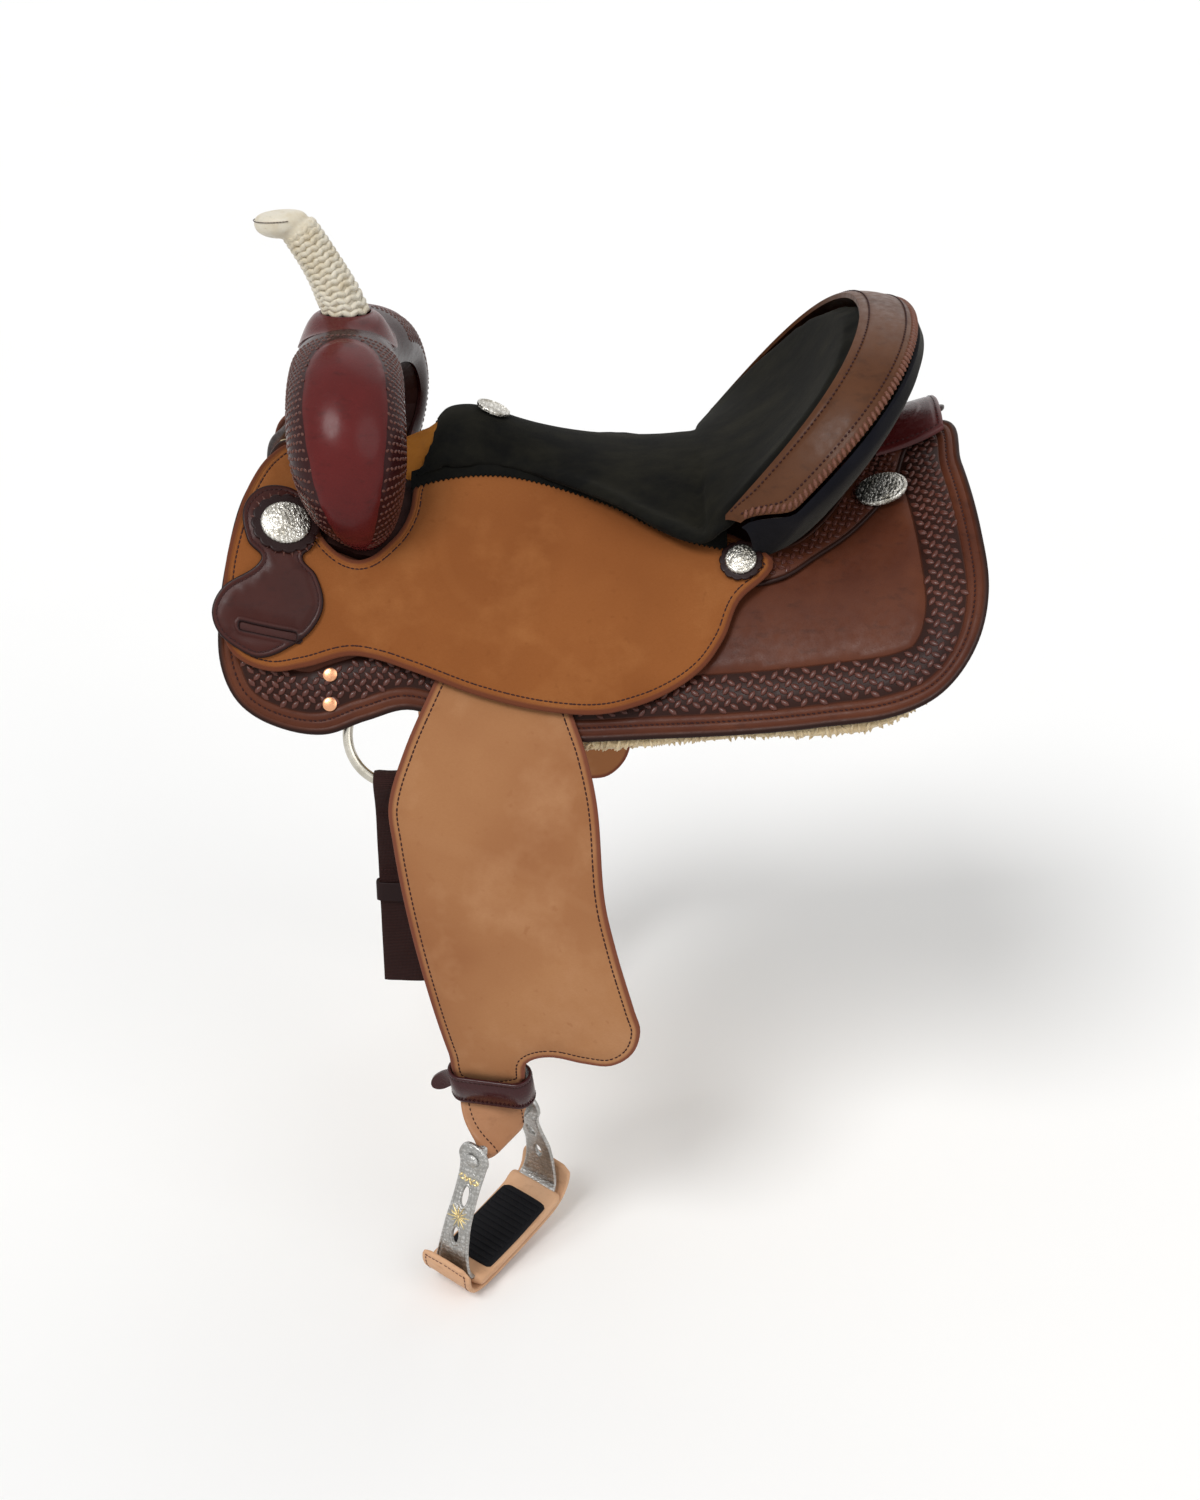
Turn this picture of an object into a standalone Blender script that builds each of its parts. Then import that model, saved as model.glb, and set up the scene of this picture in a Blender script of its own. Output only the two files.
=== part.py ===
"""Barrel racing saddle.

The saddle is built on an imagined horse's back, called the form. Its ridge runs
along X with the horn at -X, the near (left) side is -Y, and the origin lies on the
ridge below the middle of the seat. A place on the form has three numbers: along
(metres to the rear), down (metres over the side from the ridge) and height (metres
off the form, square to it). Every leather layer is cut flat in (along, down) and laid
on the form at its own height, as a saddler builds it up.
"""

from math import asin, cos, hypot, pi, radians, sin

import bmesh
import bpy
from mathutils import Matrix, Vector
from mathutils.geometry import delaunay_2d_cdt

NAME = "barrel_racing_saddle"
SIDES = {"near": -1, "off": 1}

# The form
FORM_RADIUS = 0.42
RIDGE_LEAN = radians(21)
LEAN_PER_METRE = radians(30)
RIDGE_RISE = 0.5

# Heights of the layers off the form
FLEECE_THICK = 0.0122
SKIRT_HEIGHT = 0.0142
SKIRT_THICK = 0.0055
BAR_HEIGHT = 0.0209
BAR_THICK = 0.0105
FENDER_HEIGHT = 0.0232
FENDER_THICK = 0.0036
REAR_JOCKEY_HEIGHT = 0.0210
JOCKEY_HIGH = 0.0345
JOCKEY_LOW = 0.0260
JOCKEY_OVER_FENDER = 0.0060
JOCKEY_THICK = 0.0040
SEAM_HEIGHT = 0.0480

# Outlines as (along, down) on the form
SKIRT = [(-0.284, 0.016), (-0.305, 0.050), (-0.322, 0.093), (-0.332, 0.150), (-0.337, 0.200),
         (-0.335, 0.240), (-0.320, 0.268), (-0.290, 0.281), (-0.245, 0.281), (-0.205, 0.263),
         (-0.165, 0.250), (-0.088, 0.270), (0.052, 0.277), (0.188, 0.292), (0.250, 0.300),
         (0.290, 0.293), (0.318, 0.265), (0.331, 0.222), (0.330, 0.165), (0.322, 0.080),
         (0.312, 0.012), (0.215, 0.014), (0.140, 0.034), (0.0, 0.036), (-0.190, 0.036)]
FLEECE = [(-0.280, 0.016), (-0.301, 0.052), (-0.325, 0.140), (-0.331, 0.205), (-0.322, 0.252),
          (-0.290, 0.268), (-0.258, 0.264), (-0.246, 0.215), (-0.186, 0.200), (-0.126, 0.215),
          (-0.112, 0.268), (-0.020, 0.279), (0.110, 0.283), (0.235, 0.303), (0.283, 0.290),
          (0.313, 0.255), (0.325, 0.200), (0.318, 0.080), (0.308, 0.014), (0.215, 0.016),
          (0.140, 0.036), (0.0, 0.038), (-0.190, 0.038)]
TREE_BAR = [(-0.252, 0.050), (-0.262, 0.085), (-0.245, 0.118), (-0.160, 0.124), (-0.060, 0.112),
            (0.060, 0.110), (0.150, 0.118), (0.190, 0.100), (0.205, 0.075), (0.190, 0.052),
            (0.060, 0.046), (-0.100, 0.046)]
JOCKEY = [(-0.276, 0.034), (-0.296, 0.050), (-0.311, 0.080), (-0.321, 0.115), (-0.330, 0.160),
          (-0.331, 0.212), (-0.320, 0.230), (-0.290, 0.236), (-0.259, 0.227), (-0.215, 0.211),
          (-0.167, 0.219), (-0.105, 0.237), (-0.044, 0.250), (0.008, 0.254), (0.055, 0.243),
          (0.088, 0.226), (0.108, 0.202), (0.122, 0.172), (0.147, 0.154), (0.152, 0.143),
          (0.136, 0.126), (0.104, 0.104), (0.078, 0.096), (0.045, 0.075), (0.010, 0.052),
          (-0.045, 0.030), (-0.100, 0.020), (-0.150, 0.030), (-0.166, 0.050), (-0.171, 0.082),
          (-0.184, 0.108), (-0.214, 0.131), (-0.244, 0.118), (-0.258, 0.085), (-0.266, 0.052)]
REAR_JOCKEY = [(0.121, 0.150), (0.157, 0.157), (0.191, 0.143), (0.224, 0.126), (0.256, 0.096),
               (0.272, 0.060), (0.280, 0.014), (0.236, 0.012), (0.226, 0.050), (0.211, 0.088),
               (0.178, 0.119), (0.140, 0.128)]
FENDER = [(-0.106, 0.142), (-0.124, 0.180), (-0.150, 0.235), (-0.172, 0.285), (-0.186, 0.331),
          (-0.183, 0.363), (-0.174, 0.416), (-0.160, 0.482), (-0.140, 0.566), (-0.130, 0.600),
          (-0.073, 0.594), (-0.067, 0.568), (-0.046, 0.559), (-0.014, 0.565), (0.010, 0.567),
          (0.029, 0.554), (0.036, 0.531), (0.031, 0.511), (0.014, 0.451), (0.004, 0.406),
          (-0.002, 0.331), (-0.012, 0.285), (-0.026, 0.245), (-0.040, 0.185), (-0.054, 0.142)]
KEEPER_PLATE = [(-0.280, 0.079), (-0.302, 0.086), (-0.315, 0.108), (-0.310, 0.134), (-0.298, 0.146),
                (-0.330, 0.175), (-0.340, 0.196), (-0.335, 0.213), (-0.319, 0.223), (-0.297, 0.227),
                (-0.270, 0.212), (-0.252, 0.195), (-0.243, 0.173), (-0.250, 0.150), (-0.262, 0.138),
                (-0.254, 0.128), (-0.250, 0.106), (-0.261, 0.086)]
KEEPER_THICK = 0.0034
KEEPER_SLIT = (-0.291, 0.204, 0.050, 0.006)
SHEET_CELL = (0.060, 0.026)

# Seat and cantle, as heights over the ridge line
SEAT_FRONT = -0.158
SEAT_MIDLINE = [(-0.160, 0.060), (-0.148, 0.0700), (-0.132, 0.0730), (-0.112, 0.0690),
                (-0.079, 0.0550), (-0.042, 0.0430), (-0.006, 0.0345), (0.031, 0.0305),
                (0.063, 0.0310), (0.097, 0.0360), (0.130, 0.0470), (0.165, 0.0690),
                (0.200, 0.1080), (0.235, 0.1680)]
SEAT_SEAM = [(-0.175, 0.054), (-0.152, 0.042), (-0.126, 0.033), (-0.100, 0.029), (-0.076, 0.030),
             (-0.045, 0.038), (-0.010, 0.052), (0.016, 0.065), (0.037, 0.080), (0.059, 0.094),
             (0.080, 0.106), (0.107, 0.117)]
SEAT_CROWN = 2.3
SEAT_THICK = 0.0100
SEAT_EDGE_THICK = 0.0062
SEAT_ROWS = 12
SEAT_COLUMNS = 10
CREST_FOOT = (0.107, 0.156, 0.010)
CREST_TOP = (0.236, 0.165)
ROLL_FOOT = (0.136, 0.178, 0.002)
ROLL_TOP = (0.281, 0.158)
CREST_BLUNT = 0.98
CREST_RISE = 0.60
CREST_SPACING = 1.4
ROLL_THICK = 0.0050
ROLL_OVERLAP = 0.0045
BACK_COVER_THICK = 0.0035
CANTLE_THICK = 0.0130
CANTLE_FOOT_Z = 0.056
CANTLE_SPREAD = 0.72
CANTLE_LEAST = 0.034

# Fork, its leather cover and the horn
FORK_ALONG_FOOT = -0.214
FORK_ALONG_TOP = -0.229
FORK_FOOT_DOWN = 0.088
FORK_FOOT_HEIGHT = 0.0330
COVER_THICK = 0.0030
FORK_GAP = 0.0015
COLLAR_TOP = 0.1600
COLLAR_RADII = (0.0375, 0.0238)
HORN_BASE = Vector((-0.2290, 0.0, 0.1604))
HORN_LEAN = (radians(21), radians(34))
NECK_LENGTH = 0.084
NECK_RADII = (0.0212, 0.0162)
NECK_WAIST = 0.0012
POST_RADIUS = 0.0085
POST_START = -0.62
CAP_TILT = radians(-4)
CAP_HALF = (0.0242, 0.0195, 0.0130)
CAP_OFFSET = Vector((-0.0142, 0.0, 0.0040))

# Silver
FRONT_CONCHO = (0.0220, 0.0195, 0.0060)
SIDE_CONCHO = (0.0140, 0.0140, 0.0050)
REAR_CONCHO = (0.0235, 0.0185, 0.0065)
FRONT_CONCHO_PLACE = (-0.278, 0.113)
SIDE_CONCHO_PLACE = (0.124, 0.139)
REAR_CONCHO_PLACE = (0.250, 0.091)
ROSETTE_RADIUS = 0.0195
ROSETTE_THICK = 0.0025
ROSETTE_SCALLOPS = 13
RIVET_RADIUS = 0.0062
RIVET_PLACES = [(-0.238, 0.229), (-0.238, 0.254)]

# Rigging
RING_CENTRE = (-0.180, 0.272)
RING_HEIGHT = 0.0070
RING_RADIUS = 0.0440
RING_WIRE = 0.0045
STRAP_WIDTH = 0.0380
STRAP_PLY = 0.0032

# Fender's pivot, stirrup leather and hobble strap
FENDER_PIVOT = (-0.084, 0.158)
LEATHER_ALONG = -0.101
LEATHER_HEIGHT = 0.0176
LEATHER_HALF = 0.0330
LEATHER_PLIES = 0.0040
LEATHER_LOOP = 0.0125
LEATHER_STATIONS = (0.350, 0.400, 0.450, 0.500, 0.540, 0.580, 0.618)
HOBBLE_DOWN = 0.603
HOBBLE_HEIGHT = 0.0200
HOBBLE_HALF = (0.0375, 0.0120)
HOBBLE_WIDTH = 0.034
HOBBLE_THICK = 0.0030

# Stirrups, in their own frame: X along the tread, Y outward, Z up from the tread
STIRRUP_PIN = Vector((-0.094, 0.256, -0.556))
STIRRUP_YAW = radians(55)
STIRRUP_PITCH = radians(-8)
STIRRUP_ROLL = radians(9)
STIRRUP_NECK = 0.038
LEG_THICK = 0.0045
PIN_RADIUS = 0.0060
TREAD_DEPTH = 0.056

COLOURS = {
    "oxblood": (0.060, 0.012, 0.010, 0.30, 0.0),
    "chestnut": (0.075, 0.026, 0.017, 0.45, 0.0),
    "tan": (0.420, 0.200, 0.085, 0.80, 0.0),
    "saddle_orange": (0.520, 0.220, 0.045, 0.55, 0.0),
    "suede": (0.008, 0.008, 0.009, 0.95, 0.0),
    "fleece": (0.720, 0.640, 0.470, 1.00, 0.0),
    "rawhide": (0.740, 0.700, 0.590, 0.50, 0.0),
    "wood": (0.480, 0.330, 0.180, 0.70, 0.0),
    "silver": (0.780, 0.770, 0.740, 0.22, 1.0),
    "aluminium": (0.700, 0.710, 0.720, 0.35, 1.0),
    "nickel": (0.640, 0.620, 0.580, 0.28, 1.0),
    "copper": (0.800, 0.380, 0.240, 0.30, 1.0),
    "rubber": (0.012, 0.012, 0.013, 0.85, 0.0),
    "nylon": (0.050, 0.018, 0.014, 0.75, 0.0),
    "harness": (0.560, 0.330, 0.180, 0.60, 0.0),
}


def clear_scene():
    """Remove what a new file starts with."""
    for item in list(bpy.data.objects):
        bpy.data.objects.remove(item, do_unlink=True)


def make_collection(name):
    """A collection linked to the scene."""
    collection = bpy.data.collections.new(name)
    bpy.context.scene.collection.children.link(collection)
    return collection


def material(name):
    """A Principled material from the colour table."""
    if name in bpy.data.materials:
        return bpy.data.materials[name]
    red, green, blue, roughness, metallic = COLOURS[name]
    made = bpy.data.materials.new(name)
    made.use_nodes = True
    shader = made.node_tree.nodes["Principled BSDF"]
    shader.inputs["Base Color"].default_value = (red, green, blue, 1)
    shader.inputs["Roughness"].default_value = roughness
    shader.inputs["Metallic"].default_value = metallic
    return made


def add_object(name, mesh, colour, sharp=40):
    """Put a mesh in the saddle's collection, shaded smooth."""
    made = bpy.data.objects.new(name, mesh)
    bpy.data.collections[NAME].objects.link(made)
    mesh.materials.clear()
    mesh.materials.append(material(colour))
    mesh.shade_smooth()
    mesh.set_sharp_from_angle(angle=radians(sharp))
    return made


def add_cutter(name, mesh):
    """Put a cutting shape where neither a render nor a viewport shows it solid."""
    made = bpy.data.objects.new(name, mesh)
    bpy.data.collections["cutters"].objects.link(made)
    made.hide_render = True
    made.display_type = "WIRE"
    return made


def mesh_from(work, name, outward=True):
    """Turn a bmesh into a mesh; a closed one gets its faces pointing out."""
    if outward:
        bmesh.ops.recalc_face_normals(work, faces=work.faces)
    mesh = bpy.data.meshes.new(name)
    work.to_mesh(mesh)
    work.free()
    return mesh


def boolean(target, other, operation="DIFFERENCE"):
    """Add an exact Boolean modifier."""
    step = target.modifiers.new(operation.lower(), "BOOLEAN")
    step.operation = operation
    step.object = other
    step.solver = "EXACT"


def ridge_lean(along):
    """Slope of the form's side where it leaves the ridge."""
    return RIDGE_LEAN - LEAN_PER_METRE * along


def ridge_height(along):
    """The ridge dips in the middle of the back."""
    return RIDGE_RISE * along * along


def on_form(along, down, height, side):
    """World place of a point laid on the form."""
    lean = ridge_lean(along)
    turn = lean + down / FORM_RADIUS
    across = FORM_RADIUS * (sin(turn) - sin(lean)) + height * sin(turn)
    up = ridge_height(along) - FORM_RADIUS * (cos(lean) - cos(turn)) + height * cos(turn)
    return Vector((along, side * across, up))


def form_frame(along, down, height, side):
    """Matrix at a point of the form: Z off the form, X to the rear."""
    return resting_frame(along, down, lambda along, down: height, 0.0, side)


def resting_frame(along, down, rule, lift, side):
    """Frame lying on a layer whose height follows a rule, raised by a lift."""
    step = 0.006

    def spot(along_step, down_step):
        place = (along + along_step, down + down_step)
        return on_form(*place, rule(*place), side)

    rearward = (spot(step, 0) - spot(-step, 0)).normalized()
    downward = (spot(0, step) - spot(0, -step)).normalized()
    outward = (downward.cross(rearward) * -side).normalized()
    frame = Matrix((rearward, outward.cross(rearward), outward)).transposed().to_4x4()
    frame.translation = spot(0, 0) + outward * lift
    return frame


def ease(value):
    """Smooth step from 0 to 1."""
    value = min(1.0, max(0.0, value))
    return value * value * (3 - 2 * value)


def along_curve(points, position):
    """Value of a smooth curve through (position, value) pairs."""
    last = len(points) - 2
    index = 0
    while index < last and position > points[index + 1][0]:
        index += 1
    (x0, y0), (x1, y1) = points[index], points[index + 1]
    before = points[max(index - 1, 0)]
    after = points[min(index + 2, len(points) - 1)]
    slope0 = (y1 - before[1]) / (x1 - before[0])
    slope1 = (after[1] - y0) / (after[0] - x0)
    step = x1 - x0
    part = min(1.0, max(0.0, (position - x0) / step))
    square, cube = part * part, part ** 3
    return ((2 * cube - 3 * square + 1) * y0 + (cube - 2 * square + part) * step * slope0
            + (3 * square - 2 * cube) * y1 + (cube - square) * step * slope1)


def smooth_loop(points, spacing=0.022):
    """Closed smooth curve through the points, sampled about every spacing."""
    count = len(points)
    loop = []
    for index in range(count):
        before, here = Vector(points[index - 1]), Vector(points[index])
        there, after = Vector(points[(index + 1) % count]), Vector(points[(index + 2) % count])
        length = (there - here).length
        start = (there - before).normalized() * length
        end = (after - here).normalized() * length
        steps = max(1, round(length / spacing))
        for step in range(steps):
            part = step / steps
            square, cube = part * part, part ** 3
            loop.append(here * (2 * cube - 3 * square + 1) + start * (cube - 2 * square + part)
                        + there * (3 * square - 2 * cube) + end * (cube - square))
    return loop


def inside_loop(point, loop):
    """Whether a flat point lies inside a closed loop."""
    found = False
    for index, here in enumerate(loop):
        before = loop[index - 1]
        if (here.y > point.y) != (before.y > point.y):
            reach = (before.x - here.x) * (point.y - here.y) / (before.y - here.y) + here.x
            if point.x < reach:
                found = not found
    return found


def clear_of_loop(point, loop, cell):
    """Whether a flat point keeps well off every corner of a loop."""
    return all(hypot((point.x - p.x) / cell[0], (point.y - p.y) / cell[1]) > 0.38 for p in loop)


def flat_triangles(loop, cell):
    """Fill a loop with triangles, with a grid of points inside it."""
    low_x, high_x = min(p.x for p in loop), max(p.x for p in loop)
    low_y, high_y = min(p.y for p in loop), max(p.y for p in loop)
    points = list(loop)
    rows = int((high_y - low_y) / cell[1])
    columns = int((high_x - low_x) / cell[0])
    for row in range(1, rows + 1):
        for column in range(1, columns + 1):
            shift = 0.5 * (row % 2)
            point = Vector((low_x + (column - shift) * cell[0], low_y + row * cell[1]))
            if inside_loop(point, loop) and clear_of_loop(point, loop, cell):
                points.append(point)
    squeeze = cell[1] / cell[0]
    squeezed = [Vector((p.x * squeeze, p.y)) for p in points]
    result = delaunay_2d_cdt(squeezed, [], [list(range(len(loop)))], 1, 1e-6)
    return [Vector((p.x / squeeze, p.y)) for p in result[0]], result[2]


def sheet(name, loop, height, thickness, side, colour, cell=SHEET_CELL):
    """A leather piece laid on the form: height is a number or a rule of place."""
    points, triangles = flat_triangles(loop, cell)
    rule = height if callable(height) else lambda along, down: height
    work = bmesh.new()
    corners = [work.verts.new(on_form(p.x, p.y, rule(p.x, p.y), side)) for p in points]
    for triangle in triangles:
        work.faces.new([corners[index] for index in triangle])
    work.normal_update()
    facing = sum((face.normal.z + side * face.normal.y for face in work.faces), 0.0)
    if facing < 0:
        bmesh.ops.reverse_faces(work, faces=work.faces)
    made = add_object(name, mesh_from(work, name, outward=False), colour)
    solid = made.modifiers.new("leather", "SOLIDIFY")
    solid.thickness = thickness
    solid.offset = 1
    solid.use_even_offset = True
    return made


def skin_rings(work, rings, endless=False):
    """Join rings of points with faces; an endless run comes back to its first ring."""
    rows = [[work.verts.new(point) for point in ring] for ring in rings]
    if endless:
        rows.append(rows[0])
    count = len(rings[0])
    for lower, upper in zip(rows, rows[1:]):
        for index in range(count):
            following = (index + 1) % count
            work.faces.new((lower[index], lower[following], upper[following], upper[index]))
    return rows


def loft(name, rings):
    """Solid skinned over rings of points, with flat ends."""
    work = bmesh.new()
    rows = skin_rings(work, rings)
    work.faces.new(list(reversed(rows[0])))
    work.faces.new(rows[-1])
    return mesh_from(work, name)


def sleeve(name, rings):
    """Solid skinned over rings that come back to the first, leaving a bore."""
    work = bmesh.new()
    skin_rings(work, rings, endless=True)
    return mesh_from(work, name)


def rounded_slab(name, rows, thickness_rule):
    """Closed solid under a grid of top points, thinning by a rule of (row, column)."""
    work = bmesh.new()
    height, width = len(rows), len(rows[0])
    top = [[work.verts.new(point) for point in row] for row in rows]
    low = [[work.verts.new(rows[r][c] - Vector((0, 0, thickness_rule(r, c)))) for c in range(width)]
           for r in range(height)]
    for r in range(height - 1):
        for c in range(width - 1):
            work.faces.new((top[r][c], top[r][c + 1], top[r + 1][c + 1], top[r + 1][c]))
            work.faces.new((low[r][c], low[r + 1][c], low[r + 1][c + 1], low[r][c + 1]))
    for r in range(height - 1):
        work.faces.new((top[r][0], top[r + 1][0], low[r + 1][0], low[r][0]))
        work.faces.new((top[r][-1], low[r][-1], low[r + 1][-1], top[r + 1][-1]))
    for c in range(width - 1):
        work.faces.new((top[0][c], low[0][c], low[0][c + 1], top[0][c + 1]))
        work.faces.new((top[-1][c], top[-1][c + 1], low[-1][c + 1], low[-1][c]))
    return mesh_from(work, name)


def jockey_height(along, down):
    """Underside of the seat jockey, which rides over the bars and the fender."""
    fall = ease((down - 0.105) / 0.095)
    rise = ease((along + 0.205) / 0.030) * ease((0.050 - along) / 0.030) * ease((down - 0.12) / 0.06)
    return JOCKEY_HIGH + (JOCKEY_LOW - JOCKEY_HIGH) * fall + JOCKEY_OVER_FENDER * rise


def on_jockey(along, down):
    """Just above the seat jockey's face."""
    return jockey_height(along, down) + JOCKEY_THICK + 0.0010


def make_underlayers(word, side):
    """Fleece, skirt and tree bar of one side."""
    sheet("fleece_" + word, smooth_loop(FLEECE), 0.0, FLEECE_THICK, side, "fleece")
    sheet("skirt_" + word, smooth_loop(SKIRT), SKIRT_HEIGHT, SKIRT_THICK, side, "chestnut")
    sheet("tree_bar_" + word, smooth_loop(TREE_BAR, 0.03), BAR_HEIGHT, BAR_THICK, side, "wood")


def make_jockeys(word, side):
    """Seat jockey and rear jockey of one side."""
    sheet("seat_jockey_" + word, smooth_loop(JOCKEY), jockey_height, JOCKEY_THICK, side, "tan",
          (0.045, 0.030))
    sheet("rear_jockey_" + word, smooth_loop(REAR_JOCKEY), REAR_JOCKEY_HEIGHT, JOCKEY_THICK, side,
          "oxblood", (0.030, 0.020))


def make_keeper_plate(word, side):
    """Latigo keeper: a shield with a slit, hanging from the front concho."""
    plate = sheet("latigo_keeper_" + word, smooth_loop(KEEPER_PLATE, 0.014), on_jockey, KEEPER_THICK,
                  side, "oxblood", (0.040, 0.030))
    along, down, length, width = KEEPER_SLIT
    work = bmesh.new()
    bmesh.ops.create_cube(work, size=1.0)
    place = form_frame(along, down, JOCKEY_LOW, side)
    bmesh.ops.transform(work, matrix=place @ Matrix.Diagonal((length, width, 0.03, 1)), verts=work.verts)
    boolean(plate, add_cutter("keeper_slit_" + word, mesh_from(work, "keeper_slit_" + word)))


def crest(fraction, foot, top):
    """Point of a cantle edge curve; fraction runs -1 (near foot) to 1 (off foot)."""
    angle = (1 - abs(fraction)) ** CREST_SPACING * pi / 2
    rise = sin(angle) ** CREST_RISE
    side = -1 if fraction < 0 else 1
    across = side * foot[1] * max(cos(angle), 0.0) ** CREST_BLUNT
    return Vector((foot[0] + (top[0] - foot[0]) * rise, across, foot[2] + (top[1] - foot[2]) * rise))


def crest_at(along):
    """Half width and height of the cantle crest above a place along the saddle."""
    rise = min(1.0, max(0.0, (along - CREST_FOOT[0]) / (CREST_TOP[0] - CREST_FOOT[0])))
    angle = asin(rise ** (1 / CREST_RISE))
    half = CREST_FOOT[1] * cos(angle) ** CREST_BLUNT
    return half, CREST_FOOT[2] + (CREST_TOP[1] - CREST_FOOT[2]) * rise


def seam_at(along):
    """Half width and height of the seam between seat and jockey."""
    point = on_form(along, along_curve(SEAT_SEAM, along), SEAM_HEIGHT, 1)
    return point.y, point.z


def edge_at(along):
    """Half width and height of the seat's edge anywhere along it."""
    if along <= CREST_FOOT[0] - 0.02:
        return seam_at(along)
    if along >= CREST_FOOT[0]:
        return crest_at(along)
    seam, foot = Vector(seam_at(along)), Vector(crest_at(CREST_FOOT[0]))
    part = ease((along - CREST_FOOT[0] + 0.02) / 0.02)
    mixed = seam.lerp(foot, part)
    return mixed.x, mixed.y


def seat_height(along, across):
    """Height of the seat's face: a crown in front, a dish against the cantle."""
    half, edge = edge_at(along)
    middle = along_curve(SEAT_MIDLINE, along)
    part = min(1.0, abs(across) / max(half, 0.001))
    return middle + (edge - middle) * part ** SEAT_CROWN


def seat_point(row, column):
    """Point of the seat's face, rows running back and columns across, both as parts of one."""
    across = 2 * column - 1
    goal = crest(across, CREST_FOOT, CREST_TOP)
    front = SEAT_FRONT - 0.015 * abs(across) ** 3
    along = front + (goal.x - 0.002 - front) * row
    half = edge_at(min(along, CREST_FOOT[0]))[0]
    pull = row ** 2.5
    side = (1 - pull) * across * half + pull * goal.y * 0.985
    height = seat_height(along, side)
    return Vector((along, side, height))


def make_seat():
    """Padded suede seat, crowned across and drawn in at its edges."""
    rows = [[seat_point(r / SEAT_ROWS, c / SEAT_COLUMNS) for c in range(SEAT_COLUMNS + 1)]
            for r in range(SEAT_ROWS + 1)]

    def thickness(row, column):
        rim = max(abs(2 * column / SEAT_COLUMNS - 1), abs(2 * row / SEAT_ROWS - 1))
        return SEAT_THICK + (SEAT_EDGE_THICK - SEAT_THICK) * rim ** 3

    made = add_object("seat", rounded_slab("seat", rows, thickness), "suede", 80)
    soft = made.modifiers.new("padding", "SUBSURF")
    soft.levels = 1
    soft.render_levels = 1
    return made


def make_ground_seat():
    """Natural leather laid over the tree under the seat, showing in the hand hole."""
    rows = []
    for r in range(9):
        along = -0.176 + 0.256 * r / 8
        row = []
        for c in range(9):
            part = c / 4 - 1
            half = min(0.043, 0.62 * seam_at(along)[0])
            across = part * half
            height = seat_height(max(along, SEAT_FRONT), across) - SEAT_THICK - 0.0035
            dip = 0.55 * max(0.0, SEAT_FRONT - along)
            row.append(Vector((along, across, height - dip)))
        rows.append(row)
    add_object("ground_seat", rounded_slab("ground_seat", rows, lambda r, c: 0.003), "saddle_orange", 60)


def dish_along(across, height):
    """Where the seat's dish reaches a height, going back from the middle of the seat."""
    low, high = 0.06, CREST_TOP[0]
    for _ in range(30):
        middle = 0.5 * (low + high)
        if seat_height(middle, across) < height:
            low = middle
        else:
            high = middle
    return low


def make_tree_cantle():
    """The tree's wooden cantle, under the dish of the seat."""
    rows = []
    columns, steps = 12, 4
    for step in range(steps + 1):
        row = []
        for c in range(columns + 1):
            fraction = CANTLE_SPREAD * (2 * c / columns - 1)
            top = crest(fraction, CREST_FOOT, CREST_TOP)
            low = min(dish_along(top.y, CANTLE_FOOT_Z), top.x - CANTLE_LEAST)
            along = low + (top.x - 0.008 - low) * step / steps
            drop = SEAT_THICK + 0.006
            row.append(Vector((along, top.y * 0.97, seat_height(along, top.y * 0.97) - drop)))
        rows.append(row)
    add_object("tree_cantle", rounded_slab("tree_cantle", rows, lambda r, c: CANTLE_THICK), "wood")


def make_cantle_binding():
    """Flat roll bound over the cantle's crest, from the seat's edge backward."""
    rings = []
    count = 32
    for index in range(count + 1):
        fraction = 0.985 * (2 * index / count - 1)
        inner = crest(fraction, CREST_FOOT, CREST_TOP)
        outer = crest(fraction, ROLL_FOOT, ROLL_TOP)
        across = outer - inner
        inner = inner - across.normalized() * ROLL_OVERLAP
        across = outer - inner
        lift = Vector((0, 0, 0.004))
        ring = []
        for part, rise in ((0, 0.0005), (0.3, 0.0035), (0.7, 0.0035), (1, 0)):
            ring.append(inner + across * part + Vector((0, 0, rise)) + lift)
        for part, rise in ((1, 0), (0.7, 0.0030), (0.3, 0.0030), (0, 0.0005)):
            ring.append(inner + across * part + Vector((0, 0, rise - ROLL_THICK)) + lift)
        rings.append(ring)
    add_object("cantle_binding", loft("cantle_binding", rings), "chestnut", 50)


def make_back_cover():
    """Black cover of the cantle's back, from under the roll down to the rear jockeys."""
    rings = []
    count = 28
    for index in range(count + 1):
        fraction = 0.93 * (2 * index / count - 1)
        side = -1 if fraction < 0 else 1
        upper = crest(fraction, ROLL_FOOT, ROLL_TOP) + Vector((0.002, side * 0.003, -0.0045))
        angle = (1 - abs(fraction)) * pi / 2
        foot = on_form(0.140 + 0.092 * sin(angle), 0.012 + 0.112 * cos(angle), 0.034, side)
        middle = (upper + foot) / 2 + Vector((-0.006, 0, 0))
        inward = Vector((-BACK_COVER_THICK, 0, -0.0005))
        rings.append([upper, middle, foot, foot + inward, middle + inward, upper + inward])
    add_object("cantle_back", loft("cantle_back", rings), "suede", 50)


def make_rear_cap():
    """Saddle-shaped cap joining the two rear jockeys over the ridge."""
    rows = []
    for r in range(5):
        along = 0.249 + 0.061 * r / 4
        edge = on_form(along, 0.048 - 0.010 * (r / 4) ** 3, 0.0262, 1)
        drop = 0.27 * edge.y
        row = []
        for c in range(11):
            part = c / 5 - 1
            row.append(Vector((along, part * edge.y, edge.z + drop * (1 - part * part) + 0.004)))
        rows.append(row)
    add_object("rear_cap", rounded_slab("rear_cap", rows, lambda r, c: 0.004), "oxblood")


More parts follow.
